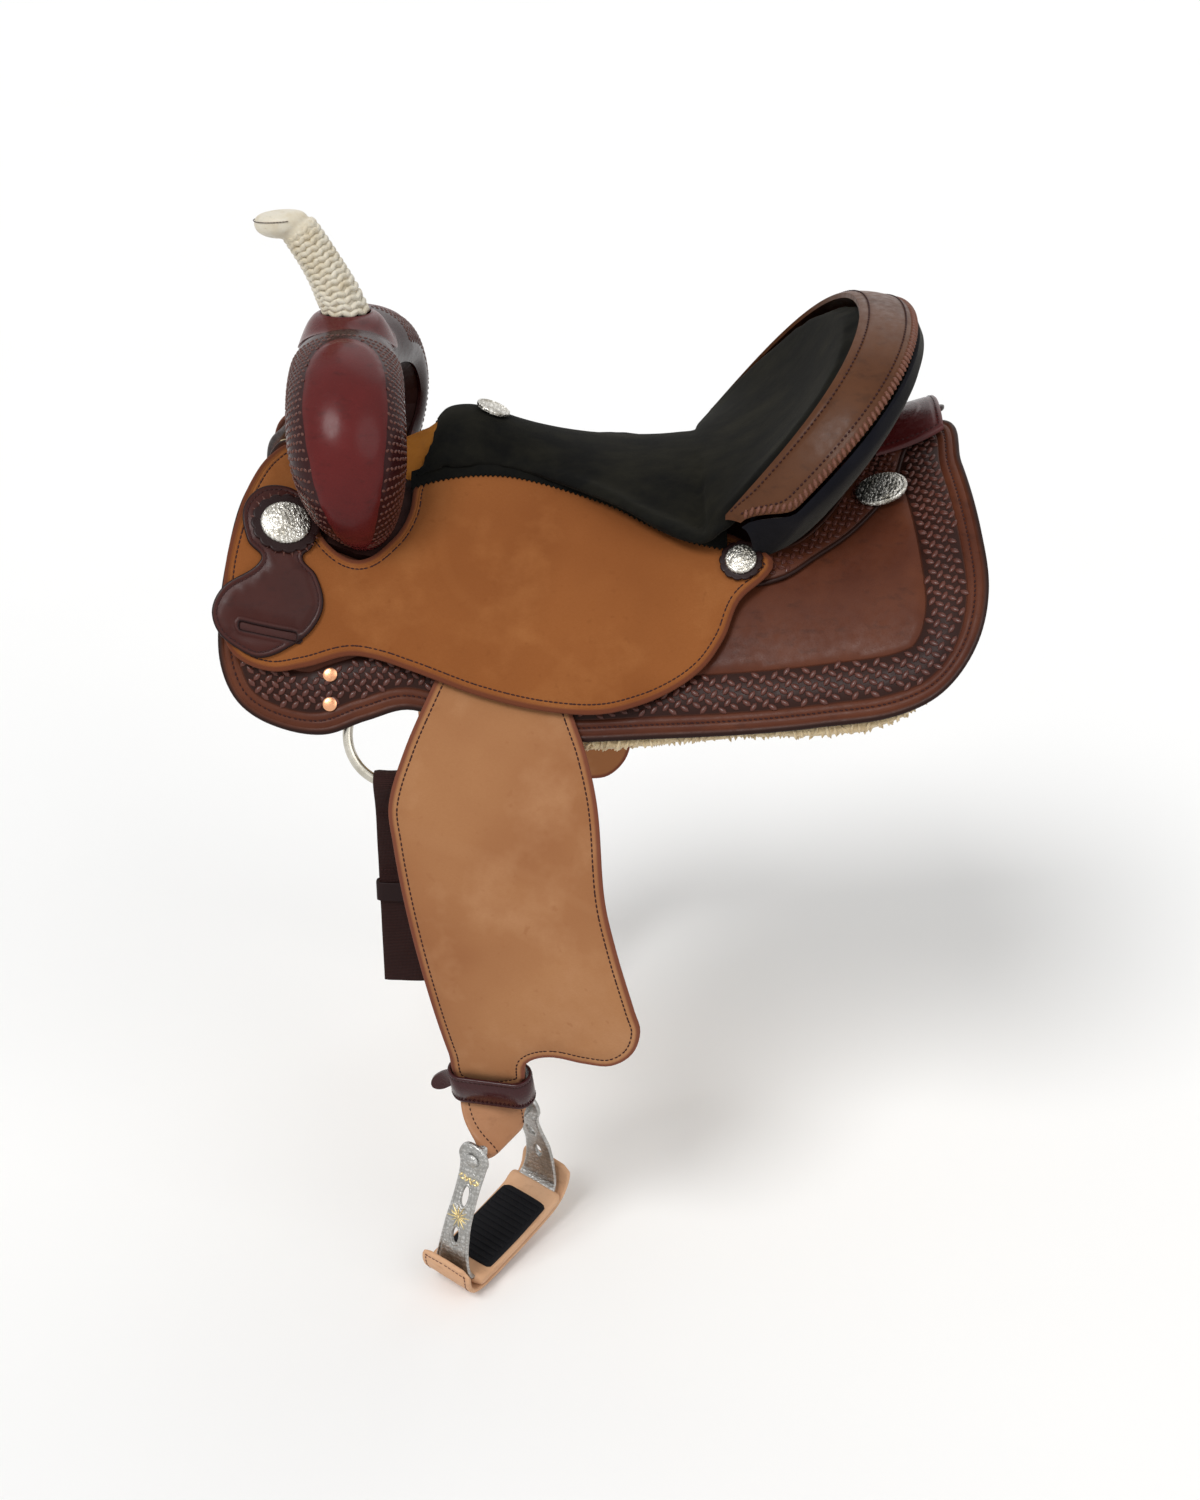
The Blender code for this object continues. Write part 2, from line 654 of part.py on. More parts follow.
def fork_line():
    """Stations of the fork from foot to top: centre, outward, half sizes."""
    foot = on_form(FORK_ALONG_FOOT, FORK_FOOT_DOWN, FORK_FOOT_HEIGHT, 1)
    turn = ridge_lean(FORK_ALONG_FOOT) + FORK_FOOT_DOWN / FORM_RADIUS
    rise = foot + 0.036 * Vector((0, sin(turn), cos(turn)))
    # across, up, fore-aft half, outer half, inner half
    table = [(foot.y, foot.z, 0.030, 0.033, 0.034), (rise.y, rise.z, 0.044, 0.043, 0.030),
             (0.123, 0.060, 0.051, 0.043, 0.032), (0.098, 0.096, 0.052, 0.040, 0.034),
             (0.055, 0.116, 0.050, 0.036, 0.035), (0.018, 0.122, 0.044, 0.032, 0.036),
             (0.0, 0.123, 0.042, 0.030, 0.036)]
    distance = [0.0]
    for before, here in zip(table, table[1:]):
        distance.append(distance[-1] + hypot(here[0] - before[0], here[1] - before[1]))
    tracks = [[(d, row[k]) for d, row in zip(distance, table)] for k in range(5)]
    stations = []
    count = 9
    for index in range(count + 1):
        at = distance[-1] * index / count
        stations.append([along_curve(track, at) for track in tracks])
    return stations, turn


def fork_rings(shrink, square_inside=False, longer=0.0, count=14):
    """Rings around the fork's arch, from its off foot to the middle."""
    stations, turn = fork_line()
    rings = []
    for index, (across, up, half, outer, inner) in enumerate(stations):
        after = stations[min(index + 1, len(stations) - 1)]
        before = stations[max(index - 1, 0)]
        heading = Vector((after[0] - before[0], after[1] - before[1])).normalized()
        if index == 0:
            heading = Vector((sin(turn), cos(turn)))
        if index == len(stations) - 1:
            heading = Vector((-1, 0))
        part = index / (len(stations) - 1)
        along = FORK_ALONG_FOOT + (FORK_ALONG_TOP - FORK_ALONG_FOOT) * part
        outward = Vector((heading.y, -heading.x))
        ring = []
        for step in range(count):
            angle = 2 * pi * step / count
            reach = sin(angle)
            wide = (half - shrink) * cos(angle)
            if reach >= 0:
                radial = (outer - shrink) * reach
            else:
                radial = inner * reach
                if square_inside:
                    radial = (inner + 0.008) * (-1 if reach < -0.1 else 0)
                    wide = (half - shrink) * (1 if cos(angle) > 0 else -1)
            spot = Vector((across, up)) + outward * radial
            corner = Vector((along + wide, spot.x, spot.y))
            if index == 0:
                corner = on_form(along + wide, FORK_FOOT_DOWN + radial, FORK_FOOT_HEIGHT - longer, 1)
            ring.append(corner)
        rings.append(ring)
    return rings


def add_mirror(item):
    """Complete a half that is open at the middle plane."""
    step = item.modifiers.new("both_sides", "MIRROR")
    step.use_axis = (False, True, False)
    step.use_clip = True
    step.merge_threshold = 0.00005


def half_mesh(name, rings):
    """Half loft, open at the middle, with faces pointing out."""
    work = bmesh.new()
    rows = skin_rings(work, rings)
    work.faces.new(list(reversed(rows[0])))
    bmesh.ops.recalc_face_normals(work, faces=work.faces)
    centre = sum((v.co for v in work.verts), Vector()) / len(work.verts)
    work.faces.ensure_lookup_table()
    score = sum((face.normal.dot(face.calc_center_median() - centre) for face in work.faces), 0.0)
    if score < 0:
        bmesh.ops.reverse_faces(work, faces=work.faces)
    return mesh_from(work, name, outward=False)


def horn_ring(fraction, radius, count):
    """Ring round the horn's bent neck; fraction 0 is its foot and 1 its top."""
    lean0, lean1 = HORN_LEAN
    bounded = min(1.0, max(0.0, fraction))
    spot = HORN_BASE.copy()
    steps = 12
    for index in range(steps):
        lean = lean0 + (lean1 - lean0) * bounded * (index + 0.5) / steps
        spot += Vector((-sin(lean), 0, cos(lean))) * NECK_LENGTH * bounded / steps
    lean = lean0 + (lean1 - lean0) * bounded
    heading = Vector((-sin(lean), 0, cos(lean)))
    spot += heading * NECK_LENGTH * (fraction - bounded)
    tilt = lean * ease(3 * bounded)
    level = Vector((cos(tilt), 0, sin(tilt)))
    return [spot + level * radius * cos(2 * pi * k / count) + Vector((0, radius * sin(2 * pi * k / count), 0))
            for k in range(count)]


def horn_tube(name, start, end, radius_rule, steps, count=16):
    """Solid bent rod along the horn's neck."""
    rings = []
    for index in range(steps + 1):
        fraction = start + (end - start) * index / steps
        rings.append(horn_ring(fraction, radius_rule(fraction), count))
    return loft(name, rings)


def make_fork():
    """Wooden fork, its leather swell cover with the horn collar, and the bore for the post."""
    fork = add_object("tree_fork", half_mesh("tree_fork", fork_rings(COVER_THICK + FORK_GAP)), "wood")
    add_mirror(fork)
    cover = add_object("swell_cover", half_mesh("swell_cover", fork_rings(0.0)), "oxblood", 60)
    add_mirror(cover)
    work = bmesh.new()
    height = 0.034
    bmesh.ops.create_cone(work, cap_ends=True, segments=20, radius1=COLLAR_RADII[0], radius2=COLLAR_RADII[1],
                          depth=height)
    place = Matrix.Translation((FORK_ALONG_TOP, 0, COLLAR_TOP - height / 2))
    bmesh.ops.transform(work, matrix=place, verts=work.verts)
    boolean(cover, add_cutter("collar", mesh_from(work, "collar")), "UNION")
    hollow = add_cutter("cover_hollow", half_mesh("cover_hollow", fork_rings(COVER_THICK, True, 0.006)))
    add_mirror(hollow)
    boolean(cover, hollow)
    bore = add_cutter("horn_bore", horn_tube("horn_bore", POST_START - 0.01, 0.4,
                                             lambda f: POST_RADIUS + 0.0004, 8))
    boolean(cover, bore)
    boolean(fork, bore)


def neck_radius(fraction):
    """Radius of the wrapped neck, slightly waisted."""
    low, high = NECK_RADII
    bounded = min(1.0, max(0.0, fraction))
    return low + (high - low) * bounded - NECK_WAIST * sin(pi * bounded) ** 2


def make_horn():
    """Steel post, braided rawhide neck and smooth rawhide cap."""
    add_object("horn_post", horn_tube("horn_post", POST_START, 0.995, lambda f: POST_RADIUS, 10, 12),
               "nickel")
    steps = 8
    rings = [horn_ring(index / steps, neck_radius(index / steps), 16) for index in range(steps + 1)]
    rings += [horn_ring(1 - index / steps, POST_RADIUS + 0.0005, 16) for index in range(steps + 1)]
    add_object("horn_wrap", sleeve("horn_wrap", rings), "rawhide", 50)
    end = horn_ring(1.0, 0.0, 4)[0]
    work = bmesh.new()
    bmesh.ops.create_uvsphere(work, u_segments=20, v_segments=12, radius=1.0)
    for vert in work.verts:
        flat = hypot(vert.co.x, vert.co.y)
        if vert.co.z > 0:
            vert.co.z = vert.co.z ** 0.7 * (1 - 0.18 * (1 - flat * flat))
    tilt = Matrix.Rotation(CAP_TILT, 4, "Y")
    place = Matrix.Translation(end + CAP_OFFSET)
    bmesh.ops.transform(work, matrix=place @ tilt @ Matrix.Diagonal((*CAP_HALF, 1)), verts=work.verts)
    cap = add_object("horn_cap", mesh_from(work, "horn_cap"), "rawhide", 60)
    seat = add_cutter("neck_seat", horn_tube("neck_seat", 0.6, 1.006, lambda f: neck_radius(f) + 0.0006, 6))
    boolean(cap, seat)


def dome(name, half_x, half_y, rise, colour, place, rings=3, count=14):
    """Concho or rivet head: a shallow dome turned about its own axis."""
    work = bmesh.new()
    profile = [(0.0, rise)]
    for index in range(1, rings + 1):
        angle = pi / 2 * index / rings
        profile.append((sin(angle), rise * cos(angle) * 0.85 + rise * 0.15))
    profile.append((1.0, 0.0))
    profile.append((0.0, 0.0))
    corners = [work.verts.new((x, 0, z)) for x, z in profile]
    edges = [work.edges.new(pair) for pair in zip(corners, corners[1:])]
    bmesh.ops.spin(work, geom=corners + edges, cent=(0, 0, 0), axis=(0, 0, 1), angle=2 * pi,
                   steps=count, use_merge=True)
    bmesh.ops.remove_doubles(work, verts=work.verts, dist=1e-6)
    bmesh.ops.transform(work, matrix=Matrix.Diagonal((half_x, half_y, 1, 1)), verts=work.verts)
    made = add_object(name, mesh_from(work, name), colour, 35)
    made.matrix_world = place
    return made


def rosette(name, radius, scallops, place):
    """Scalloped leather washer under a concho."""
    points = []
    count = scallops * 4
    for index in range(count):
        angle = 2 * pi * index / count
        reach = radius * (0.94 + 0.06 * abs(cos(scallops * angle / 2)))
        points.append(Vector((reach * cos(angle), reach * sin(angle), 0)))
    work = bmesh.new()
    lower = [work.verts.new(point) for point in points]
    upper = [work.verts.new(point + Vector((0, 0, ROSETTE_THICK))) for point in points]
    for index in range(count):
        following = (index + 1) % count
        work.faces.new((lower[index], lower[following], upper[following], upper[index]))
    work.faces.new(upper)
    work.faces.new(list(reversed(lower)))
    made = add_object(name, mesh_from(work, name), "oxblood")
    made.matrix_world = place
    return made


def make_silver(word, side):
    """Three conchos, a scalloped rosette and two copper rivets on one side."""
    place = resting_frame(*FRONT_CONCHO_PLACE, on_jockey, KEEPER_THICK + 0.0010, side)
    dome("front_concho_" + word, *FRONT_CONCHO, "silver", place)
    place = resting_frame(*SIDE_CONCHO_PLACE, on_jockey, 0.0006, side)
    rosette("side_rosette_" + word, ROSETTE_RADIUS, ROSETTE_SCALLOPS, place)
    place = resting_frame(*SIDE_CONCHO_PLACE, on_jockey, 0.0006 + ROSETTE_THICK + 0.0003, side)
    dome("side_concho_" + word, *SIDE_CONCHO, "silver", place)
    height = REAR_JOCKEY_HEIGHT + JOCKEY_THICK + 0.0015
    dome("rear_concho_" + word, *REAR_CONCHO, "silver", form_frame(*REAR_CONCHO_PLACE, height, side))
    for index, (along, down) in enumerate(RIVET_PLACES, 1):
        place = form_frame(along, down, SKIRT_HEIGHT + SKIRT_THICK + 0.0004, side)
        dome("rivet_%s_%d" % (word, index), RIVET_RADIUS, RIVET_RADIUS, 0.0022, "copper", place, 3, 12)


def make_badge():
    """Plain oval plate on the pommel end of the seat."""
    place = Matrix.Translation((-0.098, 0, along_curve(SEAT_MIDLINE, -0.098) + 0.0010))
    turn = Matrix.Rotation(radians(22), 4, "Y") @ Matrix.Rotation(radians(90), 4, "Z")
    dome("seat_badge", 0.0165, 0.0100, 0.0020, "silver", place @ turn, 3, 16)


def make_ring(word, side):
    """Rigging ring set behind the skirt; its lower half hangs below the edge."""
    along, down = RING_CENTRE
    bpy.ops.mesh.primitive_torus_add(major_radius=RING_RADIUS, minor_radius=RING_WIRE,
                                     major_segments=24, minor_segments=6)
    made = bpy.context.object
    made.name = "rigging_ring_" + word
    made.matrix_world = form_frame(along, down, RING_HEIGHT, side)
    for collection in list(made.users_collection):
        collection.objects.unlink(made)
    bpy.data.collections[NAME].objects.link(made)
    made.data.materials.append(material("nickel"))
    made.data.shade_smooth()


def ring_low_frame(side):
    """Frame at the lowest place of the ring's wire: X level along the wire, Z up."""
    ring = form_frame(*RING_CENTRE, RING_HEIGHT, side)
    upward = Vector((0, 0, 1))
    level = (ring.col[2].xyz.cross(upward) * side).normalized()
    downward = ring.col[2].xyz.cross(level) * side
    frame = Matrix((level, upward.cross(level), upward)).transposed().to_4x4()
    frame.translation = ring.translation + downward * RING_RADIUS
    return frame


def hanging_strap(name, side, length, back_length, colour):
    """A strap folded over the ring's wire: a looped head, two plies and a tail."""
    sag = RING_RADIUS - (RING_RADIUS ** 2 - (STRAP_WIDTH / 2) ** 2) ** 0.5
    inner = RING_WIRE + sag / 2 + 0.0010
    outer = inner + STRAP_PLY
    profile = []
    for index in range(9):
        angle = pi * index / 8
        profile.append(Vector((outer * cos(angle), outer * sin(angle))))
    profile.append(Vector((-0.0004 - STRAP_PLY, -0.020)))
    profile.append(Vector((-0.0004 - STRAP_PLY, -back_length)))
    profile.append(Vector((0.0, -back_length)))
    profile.append(Vector((0.0, -length)))
    profile.append(Vector((STRAP_PLY, -length)))
    profile.append(Vector((STRAP_PLY, -0.020)))
    work = bmesh.new()
    rows = []
    for shift in (-STRAP_WIDTH / 2, STRAP_WIDTH / 2):
        rows.append([work.verts.new((shift, side * p.x, p.y)) for p in profile])
    count = len(profile)
    for index in range(count):
        following = (index + 1) % count
        work.faces.new((rows[0][index], rows[0][following], rows[1][following], rows[1][index]))
    work.faces.new(rows[0])
    work.faces.new(list(reversed(rows[1])))
    made = add_object(name, mesh_from(work, name), colour)
    bore = bmesh.new()
    bmesh.ops.create_cone(bore, cap_ends=True, segments=16, radius1=inner, radius2=inner,
                          depth=STRAP_WIDTH * 1.4)
    bmesh.ops.transform(bore, matrix=Matrix.Rotation(pi / 2, 4, "Y"), verts=bore.verts)
    cutter = add_cutter(name + "_eye", mesh_from(bore, name + "_eye"))
    hinge = bpy.data.objects.new(name + "_hinge", None)
    bpy.context.scene.collection.objects.link(hinge)
    hinge.matrix_world = ring_low_frame(side) @ Matrix.Translation((0, -side * 0.2 * sag, sag / 2))
    made.parent = hinge
    cutter.parent = hinge
    boolean(made, cutter)


def add_fender_pivot(word, side):
    """Empty at the top of the fender, about whose Z the fender and all that hangs on it swing."""
    pivot = bpy.data.objects.new("fender_pivot_" + word, None)
    bpy.context.scene.collection.objects.link(pivot)
    pivot.matrix_world = form_frame(*FENDER_PIVOT, FENDER_HEIGHT, side)
    for stem in ("fender_", "stirrup_leather_", "hobble_strap_"):
        piece = bpy.data.objects[stem + word]
        piece.parent = pivot
        piece.matrix_parent_inverse = pivot.matrix_world.inverted()


def stirrup_frame(side):
    """Matrix of a stirrup at its pin: X along the tread, Z up the stirrup."""
    yaw = Matrix.Rotation(-side * STIRRUP_YAW, 4, "Z")
    pitch = Matrix.Rotation(STIRRUP_PITCH, 4, "Y")
    roll = Matrix.Rotation(-side * STIRRUP_ROLL, 4, "X")
    pin = Vector((STIRRUP_PIN.x, side * STIRRUP_PIN.y, STIRRUP_PIN.z))
    return Matrix.Translation(pin) @ yaw @ pitch @ roll


def make_fender(word, side):
    """Fender laid over the skirt, narrowing to its neck under the jockey."""
    sheet("fender_" + word, smooth_loop(FENDER), FENDER_HEIGHT, FENDER_THICK, side, "tan",
          (0.055, 0.036))


def level_frame(along, down, height, side):
    """Frame on the form with X rearward, Y square to the form and Z up along it."""
    frame = form_frame(along, down, height, side)
    rearward, outward = frame.col[0].xyz, frame.col[2].xyz
    inward = outward * -side
    turned = Matrix((rearward, -inward, rearward.cross(-inward))).transposed().to_4x4()
    turned.translation = frame.translation
    return turned


def leather_section(place, half_width, half_thick, steps=3):
    """Flat oval section of the stirrup leather in a frame's X and Y."""
    points = []
    for end in (1, -1):
        for index in range(steps + 1):
            angle = -pi / 2 + pi * index / steps
            x = end * (half_width - half_thick + half_thick * cos(angle))
            y = end * half_thick * sin(angle)
            points.append(place @ Vector((x, y, 0)))
    return points


def make_leather(word, side):
    """Stirrup leather: from behind the fender it twists to the stirrup and wraps its pin."""
    near = SIDES["near"]
    pin = stirrup_frame(near)
    rings = []
    for down in LEATHER_STATIONS:
        place = level_frame(LEATHER_ALONG, down, LEATHER_HEIGHT, near)
        rings.append(leather_section(place, LEATHER_HALF, LEATHER_PLIES))
    start = level_frame(LEATHER_ALONG, LEATHER_STATIONS[-1], LEATHER_HEIGHT, near)
    turned = pin.to_quaternion()
    steps = 4
    for index in range(1, steps + 1):
        part = index / steps
        centre = start.translation.lerp(pin.translation, part)
        spin = start.to_quaternion().slerp(turned, ease(part)).to_matrix().to_4x4()
        thick = LEATHER_PLIES + (LEATHER_LOOP - LEATHER_PLIES) * ease((part - 0.3) / 0.7)
        place = Matrix.Translation(centre) @ spin
        rings.append(leather_section(place, LEATHER_HALF - 0.0035 * part, thick))
    for drop, share in ((0.55, 0.84), (0.88, 0.48)):
        place = pin @ Matrix.Translation((0, 0, -LEATHER_LOOP * drop))
        rings.append(leather_section(place, LEATHER_HALF - 0.0045, LEATHER_LOOP * share))
    rings = [[Vector((p.x, near * side * p.y, p.z)) for p in ring] for ring in rings]
    made = add_object("stirrup_leather_" + word, loft("stirrup_leather_" + word, rings), "harness", 50)
    bore = bmesh.new()
    bmesh.ops.create_cone(bore, cap_ends=True, segments=20, radius1=PIN_RADIUS + 0.0006,
                          radius2=PIN_RADIUS + 0.0006, depth=0.09)
    bmesh.ops.transform(bore, matrix=stirrup_frame(side) @ Matrix.Rotation(pi / 2, 4, "Y"), verts=bore.verts)
    boolean(made, add_cutter("pin_eye_" + word, mesh_from(bore, "pin_eye_" + word)))


def make_hobble(word, side):
    """Hobble strap buckled round the leather under the fender."""
    place = level_frame(LEATHER_ALONG, HOBBLE_DOWN, HOBBLE_HEIGHT, side)
    rings = []
    for more, ends in ((0.0, (-1, 1)), (HOBBLE_THICK, (1, -1))):
        for end in ends:
            level = place @ Matrix.Translation((0, 0, end * HOBBLE_WIDTH / 2))
            rings.append(leather_section(level, HOBBLE_HALF[0] + more, HOBBLE_HALF[1] + more, 4))
    add_object("hobble_strap_" + word, sleeve("hobble_strap_" + word, rings), "oxblood")


def leg_outline():
    """Half outline of the stirrup's inner edge as (x, z) from the pin down to the tread."""
    return [(STIRRUP_NECK, 0.010), (STIRRUP_NECK + 0.001, -0.012), (0.050, -0.040), (0.062, -0.070),
            (0.068, -0.100), (0.069, -0.124), (0.062, -0.134), (0.045, -0.1375), (0.0, -0.1385)]


def stirrup_section(x, z, normal_x, normal_z, half_depth):
    """Rectangle across the stirrup's strip at one station."""
    thick = LEG_THICK
    return [Vector((x, -half_depth, z)), Vector((x, half_depth, z)),
            Vector((x + normal_x * thick, half_depth, z + normal_z * thick)),
            Vector((x + normal_x * thick, -half_depth, z + normal_z * thick))]


def make_stirrup(word, side):
    """Aluminium stirrup: a bent strip with lobed tops, its pin, leather tread and rubber pad."""
    place = stirrup_frame(side)
    half = leg_outline()
    path = half + [(-x, z) for x, z in reversed(half[:-1])]
    depths = [0.0150, 0.0135, 0.0125, 0.0140, 0.0165, 0.0200, 0.0230, 0.0250, 0.0260]
    depths += list(reversed(depths[:-1]))
    rings = []
    for index, (x, z) in enumerate(path):
        before, after = path[max(index - 1, 0)], path[min(index + 1, len(path) - 1)]
        run = Vector((after[0] - before[0], after[1] - before[1])).normalized()
        rings.append(stirrup_section(x, z, -run.y, run.x, depths[index]))
    frame = add_object("stirrup_frame_" + word, loft("stirrup_frame_" + word, rings), "aluminium", 35)
    frame.matrix_world = place
    for end in (-1, 1):
        bore = bmesh.new()
        bmesh.ops.create_cone(bore, cap_ends=True, segments=16, radius1=PIN_RADIUS + 0.0004,
                              radius2=PIN_RADIUS + 0.0004, depth=0.03)
        bmesh.ops.transform(bore, matrix=place @ Matrix.Translation((end * STIRRUP_NECK, 0, 0))
                            @ Matrix.Rotation(pi / 2, 4, "Y"), verts=bore.verts)
        label = "leg_hole_%s_%s" % (word, "front" if end < 0 else "rear")
        boolean(frame, add_cutter(label, mesh_from(bore, label)))
    work = bmesh.new()
    bmesh.ops.create_cone(work, cap_ends=True, segments=16, radius1=PIN_RADIUS, radius2=PIN_RADIUS,
                          depth=2 * (STIRRUP_NECK + LEG_THICK + 0.004))
    bmesh.ops.transform(work, matrix=Matrix.Rotation(pi / 2, 4, "Y"), verts=work.verts)
    pin = add_object("stirrup_pin_" + word, mesh_from(work, "stirrup_pin_" + word), "nickel")
    pin.matrix_world = place
    work = bmesh.new()
    bmesh.ops.create_cube(work, size=1.0)
    bmesh.ops.transform(work, matrix=Matrix.Translation((0, 0, -0.1340)) @ Matrix.Diagonal(
        (0.094, TREAD_DEPTH - 0.006, 0.0060, 1)), verts=work.verts)
    pad = add_object("tread_pad_" + word, mesh_from(work, "tread_pad_" + word), "rubber")
    pad.matrix_world = place
    make_tread(word, place)


def make_tread(word, place):
    """Leather shell under the stirrup, turned up at both ends."""
    line = [(0.0795, -0.1080), (0.0785, -0.1270), (0.0720, -0.1400), (0.0570, -0.1460),
            (0.0290, -0.1480), (0.0, -0.1485)]
    path = line + [(-x, z) for x, z in reversed(line[:-1])]
    rings = []
    for index, (x, z) in enumerate(path):
        before, after = path[max(index - 1, 0)], path[min(index + 1, len(path) - 1)]
        run = Vector((after[0] - before[0], after[1] - before[1])).normalized()
        rings.append(stirrup_section(x, z, -run.y, run.x, TREAD_DEPTH / 2))
    tread = add_object("tread_leather_" + word, loft("tread_leather_" + word, rings), "harness", 40)
    tread.matrix_world = place


def make_side(word, side):
    """Everything that one side of the saddle has."""
    make_underlayers(word, side)
    make_jockeys(word, side)
    make_keeper_plate(word, side)
    make_silver(word, side)
    make_ring(word, side)
    make_fender(word, side)
    make_leather(word, side)
    make_hobble(word, side)
    add_fender_pivot(word, side)
    make_stirrup(word, side)


def main():
    clear_scene()
    make_collection(NAME)
    make_collection("cutters")
    for word, side in SIDES.items():
        make_side(word, side)
    hanging_strap("latigo", SIDES["near"], 0.205, 0.105, "nylon")
    hanging_strap("off_billet", SIDES["off"], 0.260, 0.240, "harness")
    make_seat()
    make_ground_seat()
    make_tree_cantle()
    make_cantle_binding()
    make_back_cover()
    make_rear_cap()
    make_fork()
    make_horn()
    make_badge()


main()
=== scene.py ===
"""Looks of a barrel racing saddle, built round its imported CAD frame.

The saddle lies on the form of a horse's back: X runs to the rear, the near side is
-Y and the origin is on the ridge below the middle of the seat. Leather pieces are cut
flat in (along, down) and laid on the form at the heights that the CAD gives them.
"""

import logging
from dataclasses import dataclass, field
from enum import Enum
from math import asin, atan2, cos, floor, hypot, pi, radians, sin, sqrt
from typing import Callable, Iterable, Sequence

import bmesh
import bpy
import numpy as np
from mathutils import Matrix, Vector, noise
from mathutils.geometry import delaunay_2d_cdt


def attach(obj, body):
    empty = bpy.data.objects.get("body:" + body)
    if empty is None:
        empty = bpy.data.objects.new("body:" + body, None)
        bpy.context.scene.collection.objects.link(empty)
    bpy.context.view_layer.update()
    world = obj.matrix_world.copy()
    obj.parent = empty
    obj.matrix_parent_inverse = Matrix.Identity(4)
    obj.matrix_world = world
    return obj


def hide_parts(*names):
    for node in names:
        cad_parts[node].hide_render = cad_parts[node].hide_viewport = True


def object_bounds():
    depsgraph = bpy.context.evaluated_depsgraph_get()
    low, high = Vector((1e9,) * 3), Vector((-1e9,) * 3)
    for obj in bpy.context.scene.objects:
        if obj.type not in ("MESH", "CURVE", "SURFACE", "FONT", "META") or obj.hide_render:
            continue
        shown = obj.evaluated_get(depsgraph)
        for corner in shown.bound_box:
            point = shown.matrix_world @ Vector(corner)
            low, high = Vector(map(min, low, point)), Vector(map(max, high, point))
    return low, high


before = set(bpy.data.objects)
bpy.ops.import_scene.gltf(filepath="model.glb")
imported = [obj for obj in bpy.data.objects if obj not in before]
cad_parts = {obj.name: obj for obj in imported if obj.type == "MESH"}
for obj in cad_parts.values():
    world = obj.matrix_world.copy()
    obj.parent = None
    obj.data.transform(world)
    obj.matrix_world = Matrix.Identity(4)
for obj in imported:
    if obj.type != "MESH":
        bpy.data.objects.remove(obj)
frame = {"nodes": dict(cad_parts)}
CAD_BOX = [list(corner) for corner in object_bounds()]
LOG = logging.getLogger("saddle")

Flat = tuple[float, float]
Colour = tuple[float, float, float]
Lay = Callable[[float, float, float], Vector]


class Side(Enum):
    """The two sides of the saddle: its word in piece names and its sign along Y."""

    NEAR = ("near", -1)
    OFF = ("off", 1)

    @property
    def word(self) -> str:
        """The side's word in piece names."""
        return self.value[0]

    @property
    def sign(self) -> int:
        """The side's sign along Y."""
        return self.value[1]

    @property
    def fender_body(self) -> str:
        """The CAD body that the side's fender belongs to."""
        return "fender_assembly_" + self.word

    @property
    def stirrup_body(self) -> str:
        """The CAD body that the side's stirrup belongs to."""
        return "stirrup_" + self.word


class Motif(Enum):
    """Small shapes that are repeated along paths and over panels."""

    STITCH = "stitch"
    PILLOW = "pillow"
    SEED = "seed"
    PETAL = "petal"
    SCALE = "scale"
    RIB = "rib"
    LOCK = "lock"


def ease(value: float) -> float:
    """Smooth step from 0 to 1."""
    value = min(1.0, max(0.0, value))
    return value * value * (3 - 2 * value)


def along_curve(points: Sequence[Flat], position: float) -> float:
    """Reads a smooth curve through (position, value) pairs.

    Args:
        points: The pairs, in rising order of position.
        position: Where to read the curve.

    Returns:
        The curve's value there.
    """
    last = len(points) - 2
    index = 0
    while index < last and position > points[index + 1][0]:
        index += 1
    (x0, y0), (x1, y1) = points[index], points[index + 1]
    before, after = points[max(index - 1, 0)], points[min(index + 2, len(points) - 1)]
    slope0, slope1 = (y1 - before[1]) / (x1 - before[0]), (after[1] - y0) / (after[0] - x0)
    step = x1 - x0
    part = min(1.0, max(0.0, (position - x0) / step))
    square, cube = part * part, part**3
    return (
        (2 * cube - 3 * square + 1) * y0
        + (cube - 2 * square + part) * step * slope0
        + (3 * square - 2 * cube) * y1
        + (cube - square) * step * slope1
    )


def smooth_loop(points: Sequence[Flat], spacing: float) -> list[Vector]:
    """Samples the closed smooth curve through some flat points.

    Args:
        points: Corners of the outline.
        spacing: Wanted distance between samples.

    Returns:
        The samples, in order round the loop.
    """
    count = len(points)
    loop = []
    for index in range(count):
        before, here = Vector(points[index - 1]), Vector(points[index])
        there, after = Vector(points[(index + 1) % count]), Vector(points[(index + 2) % count])
        length = (there - here).length
        start, end = (there - before).normalized() * length, (after - here).normalized() * length
        steps = max(1, round(length / spacing))
        for step in range(steps):
            part = step / steps
            square, cube = part * part, part**3
            loop.append(
                here * (2 * cube - 3 * square + 1)
                + start * (cube - 2 * square + part)
                + there * (3 * square - 2 * cube)
                + end * (cube - square)
            )
    return loop


